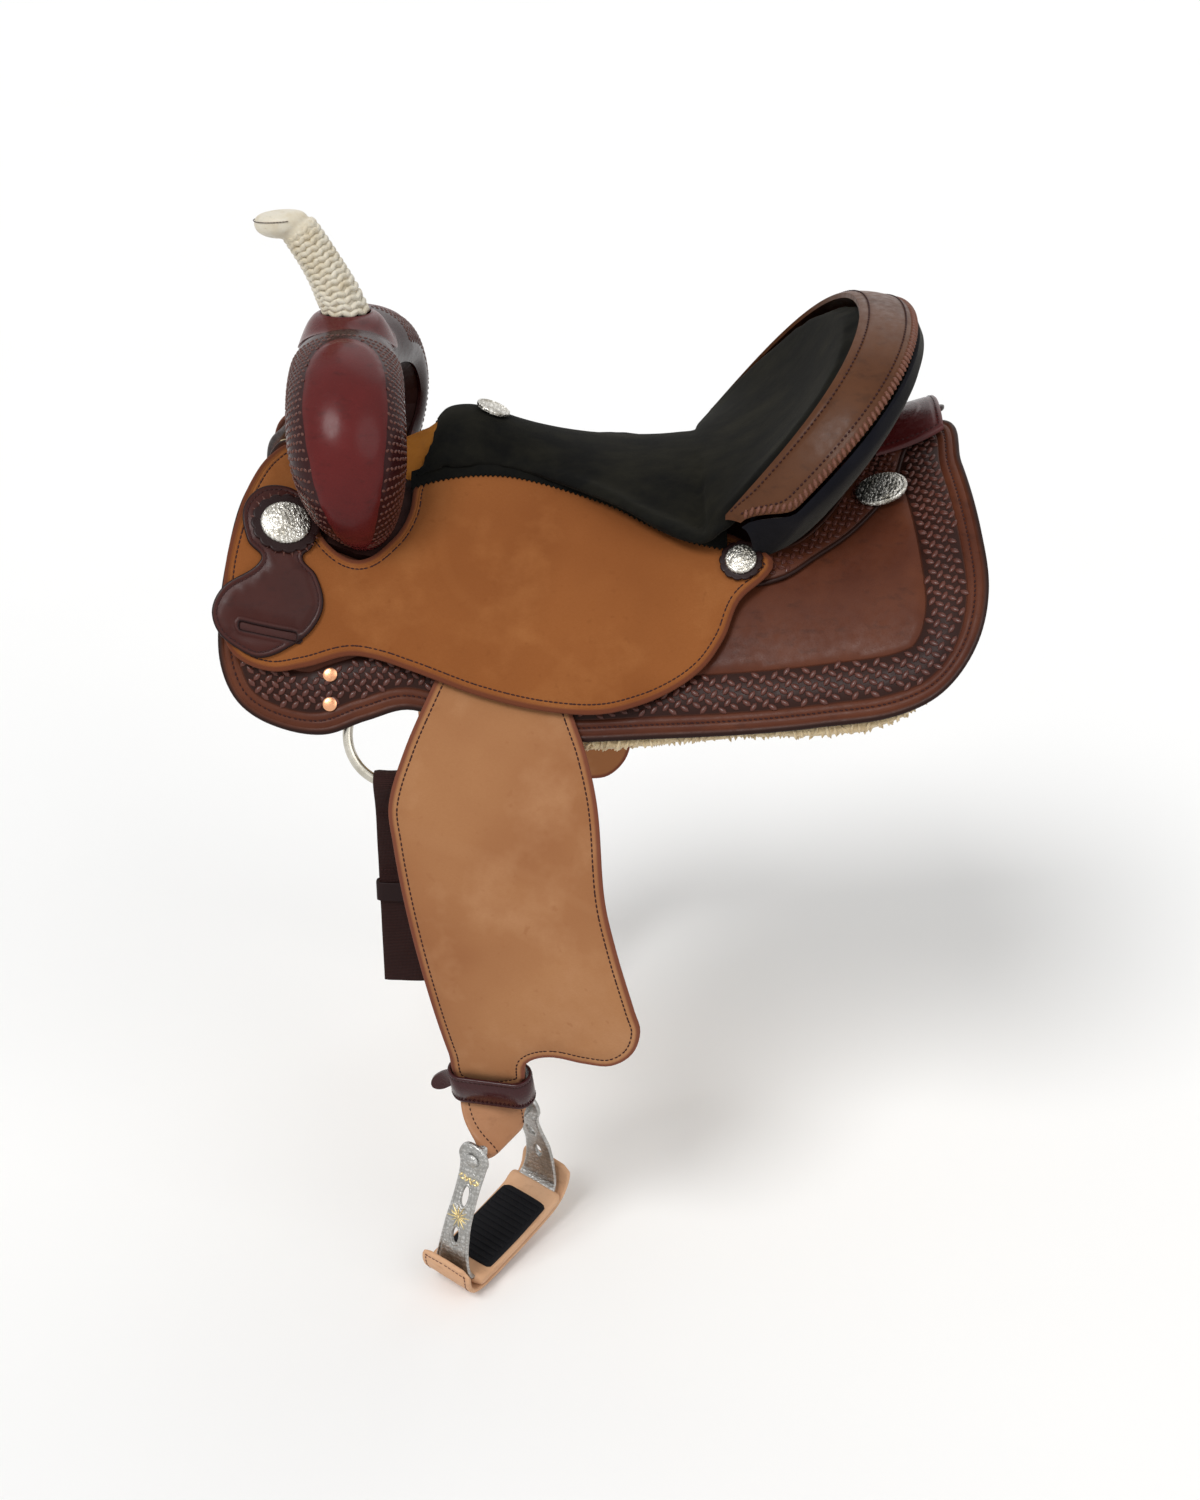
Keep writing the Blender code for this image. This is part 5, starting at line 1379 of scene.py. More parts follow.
@dataclass
class Fender:
    """Fender of one side with its edge and stitching."""

    side: Side
    finishes: Finishes
    outline: tuple[Flat, ...] = (
        (-0.106, 0.142), (-0.124, 0.180), (-0.150, 0.235), (-0.172, 0.285), (-0.186, 0.331),
        (-0.183, 0.363), (-0.174, 0.416), (-0.160, 0.482), (-0.140, 0.566), (-0.130, 0.600),
        (-0.073, 0.594), (-0.067, 0.568), (-0.046, 0.559), (-0.014, 0.565), (0.010, 0.567),
        (0.029, 0.554), (0.036, 0.531), (0.031, 0.511), (0.014, 0.451), (0.004, 0.406),
        (-0.002, 0.331), (-0.012, 0.285), (-0.026, 0.245), (-0.040, 0.185), (-0.054, 0.142))
    stitch_inset: float = 0.0078

    def make(self) -> None:
        """Builds and dresses the fender."""
        word = self.side.word
        section = Section(HEIGHTS.fender_thick, 0.0018, ((0.0052, 0.0009, 0.0004), (self.stitch_inset, 0.0010, 0.0006)))
        cut, lay = Cut(self.outline, section), laid(HEIGHTS.fender, self.side.sign)
        body = self.side.fender_body
        leather = place_piece("fender_leather_" + word, cut.mesh("fender_leather", lay), self.finishes.fender)
        keep(leather, body, "tan", "fender_" + word)
        keep(stitch_line("fender_stitching_" + word, cut, lay, self.stitch_inset, 0.0043, self.finishes.thread),
             body, "oxblood")


@dataclass
class Swell:
    """Leather cover of the fork: two swells, plain panels and a stamped border."""

    finishes: Finishes
    along_foot: float = -0.214
    along_top: float = -0.229
    foot_down: float = 0.088
    foot_height: float = 0.0330
    thick: float = 0.0030
    collar: Flat = (0.0375, 0.0238)
    collar_top: float = 0.1600
    panel: tuple[float, float, float, float] = (0.40, 0.34, 1.50, 0.74)
    pip: float = 0.0046
    tracks: list[list[Flat]] = field(default_factory=list)
    length: float = 0.0

    def prepare(self) -> None:
        """Works out the fork's line from its foot to the middle."""
        foot = FORM.place(self.along_foot, self.foot_down, self.foot_height, 1)
        turn = FORM.lean_at_origin - FORM.lean_per_metre * self.along_foot + self.foot_down / FORM.radius
        rise = foot + 0.036 * Vector((0, sin(turn), cos(turn)))
        table = [(foot.y, foot.z, 0.030, 0.033, 0.034), (rise.y, rise.z, 0.044, 0.043, 0.030),
                 (0.123, 0.060, 0.051, 0.043, 0.032), (0.098, 0.096, 0.052, 0.040, 0.034),
                 (0.055, 0.116, 0.050, 0.036, 0.035), (0.018, 0.122, 0.044, 0.032, 0.036),
                 (0.0, 0.123, 0.042, 0.030, 0.036)]
        distance = [0.0]
        for before, here in zip(table, table[1:]):
            distance.append(distance[-1] + hypot(here[0] - before[0], here[1] - before[1]))
        self.tracks = [[(d, row[k]) for d, row in zip(distance, table)] for k in range(5)]
        self.length = distance[-1]

    def point(self, turn: float, angle: float, lift: float = 0.0) -> Vector:
        """Place on the cover.

        Args:
            turn: 0 at the off foot, 1 at the middle and 2 at the near foot.
            angle: Round the section; a quarter turn faces outwards.
            lift: Metres off the surface.

        Returns:
            The place in the row frame.
        """
        sign = 1 if turn <= 1 else -1
        part = turn if turn <= 1 else 2 - turn
        at = part * self.length
        across, up, half, outer, inner = [along_curve(track, at) for track in self.tracks]
        step = 0.004
        low, high = max(0.0, at - step), min(self.length, at + step)
        heading = Vector((along_curve(self.tracks[0], high) - along_curve(self.tracks[0], low),
                          along_curve(self.tracks[1], high) - along_curve(self.tracks[1], low))).normalized()
        heading = heading.lerp(Vector((-1, 0)), ease((part - 0.92) / 0.08)).normalized()
        outward = Vector((heading.y, -heading.x))
        along = self.along_foot + (self.along_top - self.along_foot) * part
        reach, wide = sin(angle), (half + lift) * cos(angle)
        radial = (outer + lift) * reach if reach >= 0 else inner * reach
        spot = Vector((across, up)) + outward * radial
        found = Vector((along + wide, spot.x, spot.y))
        if part < 0.16:
            foot = FORM.place(self.along_foot + wide, self.foot_down + radial, self.foot_height, 1)
            base = Vector((self.along_foot + wide, *(Vector((self.tracks[0][0][1], self.tracks[1][0][1])) + outward * radial)))
            found += (foot - base) * (1 - ease(part / 0.16))
        found.y *= sign
        return found

    def _relief(self, turn: float, angle: float) -> float:
        """Raised plain panel with a cut line round it."""
        gap = self._outside_panel(turn, angle)
        return 0.0009 * ease(0.5 - gap / 0.06) - 0.0006 * max(0.0, 1 - abs(gap - 0.035) / 0.03)

    def _outside_panel(self, turn: float, angle: float) -> float:
        """How far a place is outside the panel; negative inside it."""
        part = turn if turn <= 1 else 2 - turn
        centre, half, middle, spread = self.panel
        low = spread * (0.62 + 0.38 * ease((part - 0.05) / 0.45))
        x, y = (part - centre) / half, (angle - middle) / low
        return (abs(x) ** 2.6 + abs(y) ** 2.6) ** (1 / 2.6) - 1

    def make(self) -> None:
        """Builds and dresses the cover, the collar and the stamping."""
        self.prepare()
        rows, columns = 150, 56
        first, last = radians(-28), radians(208)
        rings, gaps = [], []
        for r in range(rows + 1):
            turn = 2 * r / rows
            ring = []
            for c in range(columns + 1):
                angle = first + (last - first) * c / columns
                ring.append(self.point(turn, angle, self._relief(turn, angle)))
                gaps.append(0.1 * self._outside_panel(turn, angle) if 0.08 < turn < 1.92 else 0.0)
            # The inside of the cover is marked far outside the panel, so it takes the full dark band: painted shade in
            # the gullet.
            for c in range(columns, -1, -4):
                angle = first + (last - first) * c / columns
                ring.append(self.point(turn, angle, -self.thick))
                gaps.append(1.0)
            rings.append(ring)
        mesh = ring_solid("swell_leather", rings)
        mesh.attributes.new("edge", "FLOAT", "POINT").data.foreach_set("value", gaps)
        keep(place_piece("swell_leather", mesh, self.finishes.swell), "saddle", "oxblood", "swell_cover")
        self._collar()
        self._stamping()
        # The fork is dressed near-black: its leather lining, darkened further as painted shade in the gullet.
        dress(self.finishes.dark, "tree_fork")

    def _collar(self) -> None:
        """Leather collar that flares from the swell up to the horn."""
        wide, narrow = self.collar
        rings = []
        count, steps = 64, 16
        for radius, height in ((narrow - 0.0035, -0.008), (narrow - 0.002, 0.0), (narrow - 0.0008, 0.0004)):
            rings.append([(radius, height) for _ in range(count)])
        for r in range(steps + 1):
            part = r / steps
            ring = []
            for k in range(count):
                radius = narrow + (wide + 0.006 - narrow) * part
                x = min(1.0, abs(radius * cos(2 * pi * k / count)) / 0.0445)
                low = 0.1198 + 0.0375 * sqrt(1 - x * x) - self.collar_top - 0.10 * abs(radius * sin(2 * pi * k / count))
                ring.append((radius, (-0.0006 - 0.004 * part) * (1 - ease(part * 1.05)) + low * ease(part * 1.05)))
            rings.append(ring)
        rings.append([(radius - 0.006, height - 0.006) for radius, height in rings[-1]])
        rings = [[Vector((self.along_top + radius * 1.04 * cos(2 * pi * k / count), radius * sin(2 * pi * k / count),
                          self.collar_top + height)) for k, (radius, height) in enumerate(ring)] for ring in rings]
        piece = place_piece("horn_collar", ring_solid("horn_collar", rings), self.finishes.oxblood)
        keep(piece, "saddle", "oxblood")

    def _stamping(self) -> None:
        """Rows of pips round the panels."""
        marks = []
        rows = int(self.length / self.pip)
        for half in (0, 1):
            for r in range(2, rows):
                part = r / rows
                if part > 0.80:
                    break
                girth = 0.14
                columns = int(girth / self.pip)
                for c in range(columns):
                    angle = radians(2) + radians(176) * (c + 0.5 * (r % 2)) / columns
                    turn = part if half == 0 else 2 - part
                    gap = self._outside_panel(turn, angle)
                    if gap < 0.09 or abs(angle - pi / 2) > radians(86):
                        continue
                    here = self.point(turn, angle, 0.0)
                    ahead = (self.point(turn, angle + 0.02, 0.0) - here).normalized()
                    beside = self.point(turn + 0.004, angle, 0.0) - here
                    outward = ahead.cross(beside).normalized()
                    if outward.dot(self.point(turn, angle, 0.002) - here) < 0:
                        outward.negate()
                    mark = Matrix((ahead, outward.cross(ahead), outward)).transposed().to_4x4()
                    mark.translation = here
                    marks.append(mark @ Matrix.Rotation(radians(35 if c % 2 else -35), 4, "Z"))
        size = (self.pip * 0.95, self.pip * 0.62, 0.0016)
        keep(REPEATER.build("swell_stamping", Motif.SEED, size, marks, self.finishes.raised), "saddle", "oxblood")


@dataclass
class Horn:
    """Steel post, braided rawhide neck and smooth rawhide cap."""

    finishes: Finishes
    base: Vector = field(default_factory=lambda: Vector((-0.2290, 0.0, 0.1604)))
    lean: Flat = (radians(21), radians(34))
    neck: float = 0.084
    radii: Flat = (0.0212, 0.0162)
    waist: float = 0.0012
    cap_half: tuple[float, float, float] = (0.0242, 0.0195, 0.0130)
    cap_offset: Vector = field(default_factory=lambda: Vector((-0.0142, 0.0, 0.0040)))
    rows: int = 15
    scales: int = 9

    def frame(self, fraction: float) -> Matrix:
        """Frame on the neck's line: Z along it and X to the rear."""
        bounded = min(1.0, max(0.0, fraction))
        spot = self.base.copy()
        for index in range(12):
            lean = self.lean[0] + (self.lean[1] - self.lean[0]) * bounded * (index + 0.5) / 12
            spot += Vector((-sin(lean), 0, cos(lean))) * self.neck * bounded / 12
        lean = self.lean[0] + (self.lean[1] - self.lean[0]) * bounded
        heading = Vector((-sin(lean), 0, cos(lean)))
        spot += heading * self.neck * (fraction - bounded)
        tilt = lean * ease(3 * bounded)
        level = Vector((cos(tilt), 0, sin(tilt)))
        made = Matrix((level, Vector((0, 1, 0)), level.cross(Vector((0, 1, 0))))).transposed().to_4x4()
        made.translation = spot
        return made

    def radius(self, fraction: float) -> float:
        """Radius of the wrapped neck."""
        bounded = min(1.0, max(0.0, fraction))
        return self.radii[0] + (self.radii[1] - self.radii[0]) * bounded - self.waist * sin(pi * bounded) ** 2

    def make(self) -> None:
        """Builds and dresses the horn."""
        rings = []
        for r in range(26):
            fraction = 0.005 + 1.0 * r / 25
            place, radius = self.frame(fraction), self.radius(fraction) - 0.0016
            rings.append([place @ Vector((radius * cos(2 * pi * k / 40), radius * sin(2 * pi * k / 40), 0)) for k in range(40)])
        core = place_piece("horn_core", ring_solid("horn_core", rings), self.finishes.rawhide)
        keep(core, "saddle", "rawhide", "horn_wrap")
        marks, sizes = [], []
        for r in range(self.rows):
            fraction = (r + 0.35) / self.rows
            place, radius = self.frame(fraction), self.radius(fraction)
            for c in range(self.scales * 2):
                angle = 2 * pi * (c + 0.5 * (r % 2)) / (self.scales * 2)
                out = Matrix.Rotation(angle, 4, "Z") @ Matrix.Translation((radius - 0.0016, 0, 0))
                face = out @ Matrix.Rotation(pi / 2, 4, "Y") @ Matrix.Rotation(pi / 2, 4, "Z")
                marks.append(place @ face @ Matrix.Rotation(radians(32 if c % 2 else -32), 4, "Z"))
                sizes.append(Vector((radius / self.radii[0], 1, 1)))
        braid = REPEATER.build("horn_braid", Motif.SCALE, (0.0112, 0.0064, 0.0026), marks, self.finishes.rawhide, sizes)
        keep(braid, "saddle", "rawhide")
        self._cap()
        nodes = frame["nodes"]
        nodes["horn_post"].data.materials.clear()
        nodes["horn_post"].data.materials.append(self.finishes.nickel)

    def _cap(self) -> None:
        """Smooth nub that swells out of the neck."""
        work = bmesh.new()
        end = self.frame(1.0).translation
        place = Matrix.Translation(end + self.cap_offset) @ Matrix.Rotation(radians(-4), 4, "Y")
        bmesh.ops.create_uvsphere(work, u_segments=40, v_segments=24, radius=1.0)
        for vert in work.verts:
            flat = hypot(vert.co.x, vert.co.y)
            if vert.co.z > 0:
                vert.co.z = vert.co.z**0.7 * (1 - 0.18 * (1 - flat * flat))
        bmesh.ops.transform(work, matrix=place @ Matrix.Diagonal((*self.cap_half, 1)), verts=work.verts)
        neck = bmesh.new()
        rings = []
        for r in range(9):
            fraction = 0.90 + 0.11 * r / 8
            ring_place, radius = self.frame(fraction), self.radius(fraction) + 0.0004
            rings.append([neck.verts.new(ring_place @ Vector((radius * cos(2 * pi * k / 32), radius * sin(2 * pi * k / 32), 0)))
                          for k in range(32)])
        for low, high in zip(rings, rings[1:]):
            for k in range(32):
                neck.faces.new((low[k], low[(k + 1) % 32], high[(k + 1) % 32], high[k]))
        neck.faces.new(list(reversed(rings[0])))
        neck.faces.new(rings[-1])
        mesh = bpy.data.meshes.new("cap_work")
        neck.to_mesh(mesh)
        work.from_mesh(mesh)
        work.to_mesh(mesh)
        item = place_piece("cap_work", mesh)
        melt = item.modifiers.new("melt", "REMESH")
        melt.mode, melt.voxel_size, melt.use_smooth_shade = "VOXEL", 0.0013, True
        soft = item.modifiers.new("soft", "SMOOTH")
        soft.factor, soft.iterations = 0.6, 12
        graph = bpy.context.evaluated_depsgraph_get()
        made = bpy.data.meshes.new_from_object(item.evaluated_get(graph), depsgraph=graph)
        bpy.data.objects.remove(item)
        cap = place_piece("horn_nub", made, self.finishes.rawhide)
        keep(cap, "saddle", "rawhide", "horn_cap")
        marks = []
        for k in range(34):
            angle = -1.9 + 3.8 * k / 33
            spot = place @ Vector((-self.cap_half[0] * 1.0 * cos(angle), self.cap_half[1] * 1.0 * sin(angle), 0.0045))
            ahead = (place.to_3x3() @ Vector((self.cap_half[0] * sin(angle), self.cap_half[1] * cos(angle), 0))).normalized()
            mark = Matrix((ahead, Vector((0, 0, 1)).cross(ahead), Vector((0, 0, 1)))).transposed().to_4x4()
            mark.translation = spot
            marks.append(mark)
        seam = REPEATER.build("horn_seam", Motif.STITCH, (0.0034, 0.0008, 0.0008), marks, self.finishes.thread)
        keep(seam, "saddle", "rawhide")


@dataclass(frozen=True)
class SeatShape:
    """Lines that the seat and the cantle share, as heights over the ridge."""

    midline: tuple[Flat, ...] = (
        (-0.160, 0.060), (-0.148, 0.0700), (-0.132, 0.0730), (-0.112, 0.0690), (-0.079, 0.0550),
        (-0.042, 0.0430), (-0.006, 0.0345), (0.031, 0.0305), (0.063, 0.0310), (0.097, 0.0360),
        (0.130, 0.0470), (0.165, 0.0690), (0.200, 0.1080), (0.235, 0.1680))
    seam: tuple[Flat, ...] = (
        (-0.175, 0.054), (-0.152, 0.042), (-0.126, 0.033), (-0.100, 0.029), (-0.076, 0.030),
        (-0.045, 0.038), (-0.010, 0.052), (0.016, 0.065), (0.037, 0.080), (0.059, 0.094),
        (0.080, 0.106), (0.107, 0.117))
    front: float = -0.158
    crown: float = 2.3
    thick: float = 0.0100
    edge_thick: float = 0.0062
    crest_foot: tuple[float, float, float] = (0.107, 0.156, 0.010)
    crest_top: Flat = (0.236, 0.165)
    roll_foot: tuple[float, float, float] = (0.136, 0.178, 0.002)
    roll_top: Flat = (0.281, 0.158)
    blunt: float = 0.98
    rise: float = 0.60
    spacing: float = 1.4

    def crest(self, fraction: float, foot: tuple[float, float, float], top: Flat) -> Vector:
        """Point of a cantle edge; fraction runs -1 (near foot) to 1 (off foot)."""
        angle = (1 - abs(fraction)) ** self.spacing * pi / 2
        rise = sin(angle) ** self.rise
        side = -1 if fraction < 0 else 1
        across = side * foot[1] * max(cos(angle), 0.0) ** self.blunt
        return Vector((foot[0] + (top[0] - foot[0]) * rise, across, foot[2] + (top[1] - foot[2]) * rise))

    def inner(self, fraction: float) -> Vector:
        """Point where the seat meets the roll."""
        return self.crest(fraction, self.crest_foot, self.crest_top)

    def outer(self, fraction: float) -> Vector:
        """Point of the roll's outer edge."""
        return self.crest(fraction, self.roll_foot, self.roll_top)

    def crest_at(self, along: float) -> Flat:
        """Half width and height of the crest above a place."""
        rise = min(1.0, max(0.0, (along - self.crest_foot[0]) / (self.crest_top[0] - self.crest_foot[0])))
        angle = asin(rise ** (1 / self.rise))
        return self.crest_foot[1] * cos(angle) ** self.blunt, self.crest_foot[2] + (self.crest_top[1] - self.crest_foot[2]) * rise

    def seam_at(self, along: float) -> Flat:
        """Half width and height of the seam between seat and jockey."""
        point = FORM.place(along, along_curve(self.seam, along), HEIGHTS.seam, 1)
        return point.y, point.z

    def edge_at(self, along: float) -> Flat:
        """Half width and height of the seat's edge anywhere along it."""
        start = self.crest_foot[0]
        if along <= start - 0.02:
            return self.seam_at(along)
        if along >= start:
            return self.crest_at(along)
        mixed = Vector(self.seam_at(along)).lerp(Vector(self.crest_at(start)), ease((along - start + 0.02) / 0.02))
        return mixed.x, mixed.y

    def height(self, along: float, across: float) -> float:
        """Height of the seat's face."""
        half, edge = self.edge_at(along)
        middle = along_curve(self.midline, along)
        return middle + (edge - middle) * min(1.0, abs(across) / max(half, 0.001)) ** self.crown

    def point(self, row: float, column: float) -> Vector:
        """Point of the seat's face; rows run back and columns across, as parts of one."""
        across = 2 * column - 1
        goal = self.inner(across)
        front = self.front - 0.015 * abs(across) ** 3
        along = front + (goal.x - 0.002 - front) * row
        half = self.edge_at(min(along, self.crest_foot[0]))[0]
        pull = row**2.5
        side = (1 - pull) * across * half + pull * goal.y * 0.985
        return Vector((along, side, self.height(along, side)))


SHAPE = SeatShape()


@dataclass
class Seat:
    """Padded suede seat with its pinked apron, the badge and the lining in the hand hole."""

    finishes: Finishes
    rows: int = 64
    columns: int = 52
    shrink: float = 0.0012
    lip: float = 0.0040
    voxel: float = 0.0038
    pressure: float = 4.0
    cap: float = 0.0050

    def _pad(self) -> bpy.types.Mesh:
        """The pad before it is stuffed, drawn in a little all round."""
        top, low = [], []
        for r in range(self.rows + 1):
            row_top, row_low = [], []
            for c in range(self.columns + 1):
                rim = max(abs(2 * c / self.columns - 1), abs(2 * r / self.rows - 1))
                thick = SHAPE.thick + (SHAPE.edge_thick - SHAPE.thick) * rim**3
                row, column = r / self.rows, c / self.columns
                point = SHAPE.point(row, column)
                back = SHAPE.point(min(1.0, row + 0.01), column) - SHAPE.point(max(0.0, row - 0.01), column)
                beside = SHAPE.point(row, min(1.0, column + 0.01)) - SHAPE.point(row, max(0.0, column - 0.01))
                up = back.cross(beside).normalized()
                rise = self.lip * ease((row - 0.78) / 0.20) - self.shrink * 0.5
                tuck = 0.0018 * max(0.0, (rim - 0.9) / 0.1) ** 2
                row_top.append(point + up * (rise - tuck))
                row_low.append(point - up * thick)
            top.append(row_top)
            low.append(row_low)
        return grid_solid("seat_pad", top, low, 80)

    def _stuff(self, item: bpy.types.Object) -> bpy.types.Mesh:
        """Fills the pad by cloth pressure and returns its mesh.

        Args:
            item: The unfilled pad.

        Returns:
            The filled pad, with no corner moved further than the cap.
        """
        graph = bpy.context.evaluated_depsgraph_get()
        melt = item.modifiers.new("melt", "REMESH")
        melt.mode, melt.voxel_size = "VOXEL", self.voxel
        graph.update()
        mesh = bpy.data.meshes.new_from_object(item.evaluated_get(graph), depsgraph=graph)
        item.modifiers.clear()
        item.data = mesh
        before = np.zeros(len(mesh.vertices) * 3)
        mesh.vertices.foreach_get("co", before)
        cloth = item.modifiers.new("stuffing", "CLOTH")
        cloth.settings.use_pressure = True
        cloth.settings.uniform_pressure_force = self.pressure
        cloth.settings.effector_weights.gravity = 0
        cloth.settings.quality = 4
        cloth.collision_settings.use_self_collision = False
        scene = bpy.context.scene
        for number in range(1, 21):
            scene.frame_set(number)
        graph = bpy.context.evaluated_depsgraph_get()
        made = bpy.data.meshes.new_from_object(item.evaluated_get(graph), depsgraph=graph)
        item.modifiers.clear()
        scene.frame_set(1)
        after = np.zeros(len(made.vertices) * 3)
        made.vertices.foreach_get("co", after)
        move = (after - before).reshape(-1, 3)
        size = np.linalg.norm(move, axis=1)
        move *= np.minimum(1.0, self.cap / np.maximum(size, 1e-9))[:, None]
        made.vertices.foreach_set("co", (before.reshape(-1, 3) + move).ravel())
        LOG.info("seat pad moved up to %.1f mm", size.max() * 1000)
        return made

    def make(self) -> None:
        """Builds and dresses the seat."""
        item = place_piece("seat_work", self._pad())
        mesh = self._stuff(item)
        item.data = mesh
        soft = item.modifiers.new("soft", "SMOOTH")
        soft.factor, soft.iterations = 0.5, 6
        finer = item.modifiers.new("finer", "SUBSURF")
        finer.levels = finer.render_levels = 1
        graph = bpy.context.evaluated_depsgraph_get()
        graph.update()
        made = bpy.data.meshes.new_from_object(item.evaluated_get(graph), depsgraph=graph)
        bpy.data.objects.remove(item)
        made.shade_smooth()
        seat = place_piece("seat_suede", made, self.finishes.suede)
        keep(seat, "saddle", "suede", "seat")
        for side in Side:
            self._apron(side)
        corners = np.zeros(len(made.vertices) * 3)
        made.vertices.foreach_get("co", corners)
        corners = corners.reshape(-1, 3)
        near = np.hypot(corners[:, 0] + 0.098, corners[:, 1]) < 0.008
        self._badge(float(corners[near, 2].max()) + 0.0006)
        self._lining()

    def _apron(self, side: Side) -> None:
        """Strip of suede with a pinked edge where the seat meets the jockey."""
        sign = side.sign
        top, low = [[], [], []], [[], [], []]
        count = 128
        for k in range(count + 1):
            along = -0.170 + (0.112 + 0.170) * k / count
            down = along_curve(SHAPE.seam, along)
            tooth = 0.0026 if k % 2 else 0.0
            jockey = HEIGHTS.jockey(along, down) + HEIGHTS.jockey_thick
            spots = ((down - 0.0060, HEIGHTS.seam - 0.0030), (down + 0.0035, jockey + 0.0042), (down + 0.0068 + tooth, jockey + 0.0016))
            for row, (place, height) in enumerate(spots):
                top[row].append(FORM.place(along, place, height, sign))
                low[row].append(FORM.place(along, place, height - 0.0012, sign))
        piece = place_piece("seat_apron_" + side.word, grid_solid("seat_apron", top, low, 40), self.finishes.suede)
        keep(piece, "saddle", "suede")

    def _badge(self, height: float) -> None:
        """Plain oval plate with a raised rim."""
        place = Matrix.Translation((-0.098, 0, height)) @ Matrix.Rotation(radians(22), 4, "Y") @ Matrix.Rotation(radians(90), 4, "Z")
        rings = []
        for reach, rise in ((0.02, -0.0014), (0.98, -0.0014), (1.0, 0.0004), (0.98, 0.0014), (0.93, 0.0018), (0.87, 0.0014),
                            (0.83, 0.0008), (0.5, 0.0010), (0.02, 0.0011)):
            rings.append([place @ Vector((0.0165 * reach * cos(2 * pi * k / 64), 0.0160 * reach * sin(2 * pi * k / 64), rise))
                          for k in range(64)])
        keep(place_piece("seat_plate", ring_solid("seat_plate", rings), self.finishes.silver), "saddle", "silver", "seat_badge")

    def _lining(self) -> None:
        """Orange leather that lines the hand hole ahead of the seat."""
        top, low = [], []
        for r in range(25):
            part = r / 24
            along = -0.194 + 0.274 * part
            half = min(0.062, 0.80 * SHAPE.seam_at(max(along, -0.172))[0]) * (1 - 0.25 * part)
            row_top, row_low = [], []
            for c in range(21):
                across = (c / 10 - 1) * half
                height = SHAPE.height(max(along, SHAPE.front), across) - SHAPE.thick - 0.0032
                dip = 0.42 * max(0.0, SHAPE.front - along)
                row_top.append(Vector((along, across, height - dip)))
                row_low.append(Vector((along, across, height - dip - 0.0026)))
            top.append(row_top)
            low.append(row_low)
        piece = place_piece("hand_hole_lining", grid_solid("hand_hole_lining", top, low), self.finishes.lining)
        keep(piece, "saddle", "saddle_orange", "ground_seat")


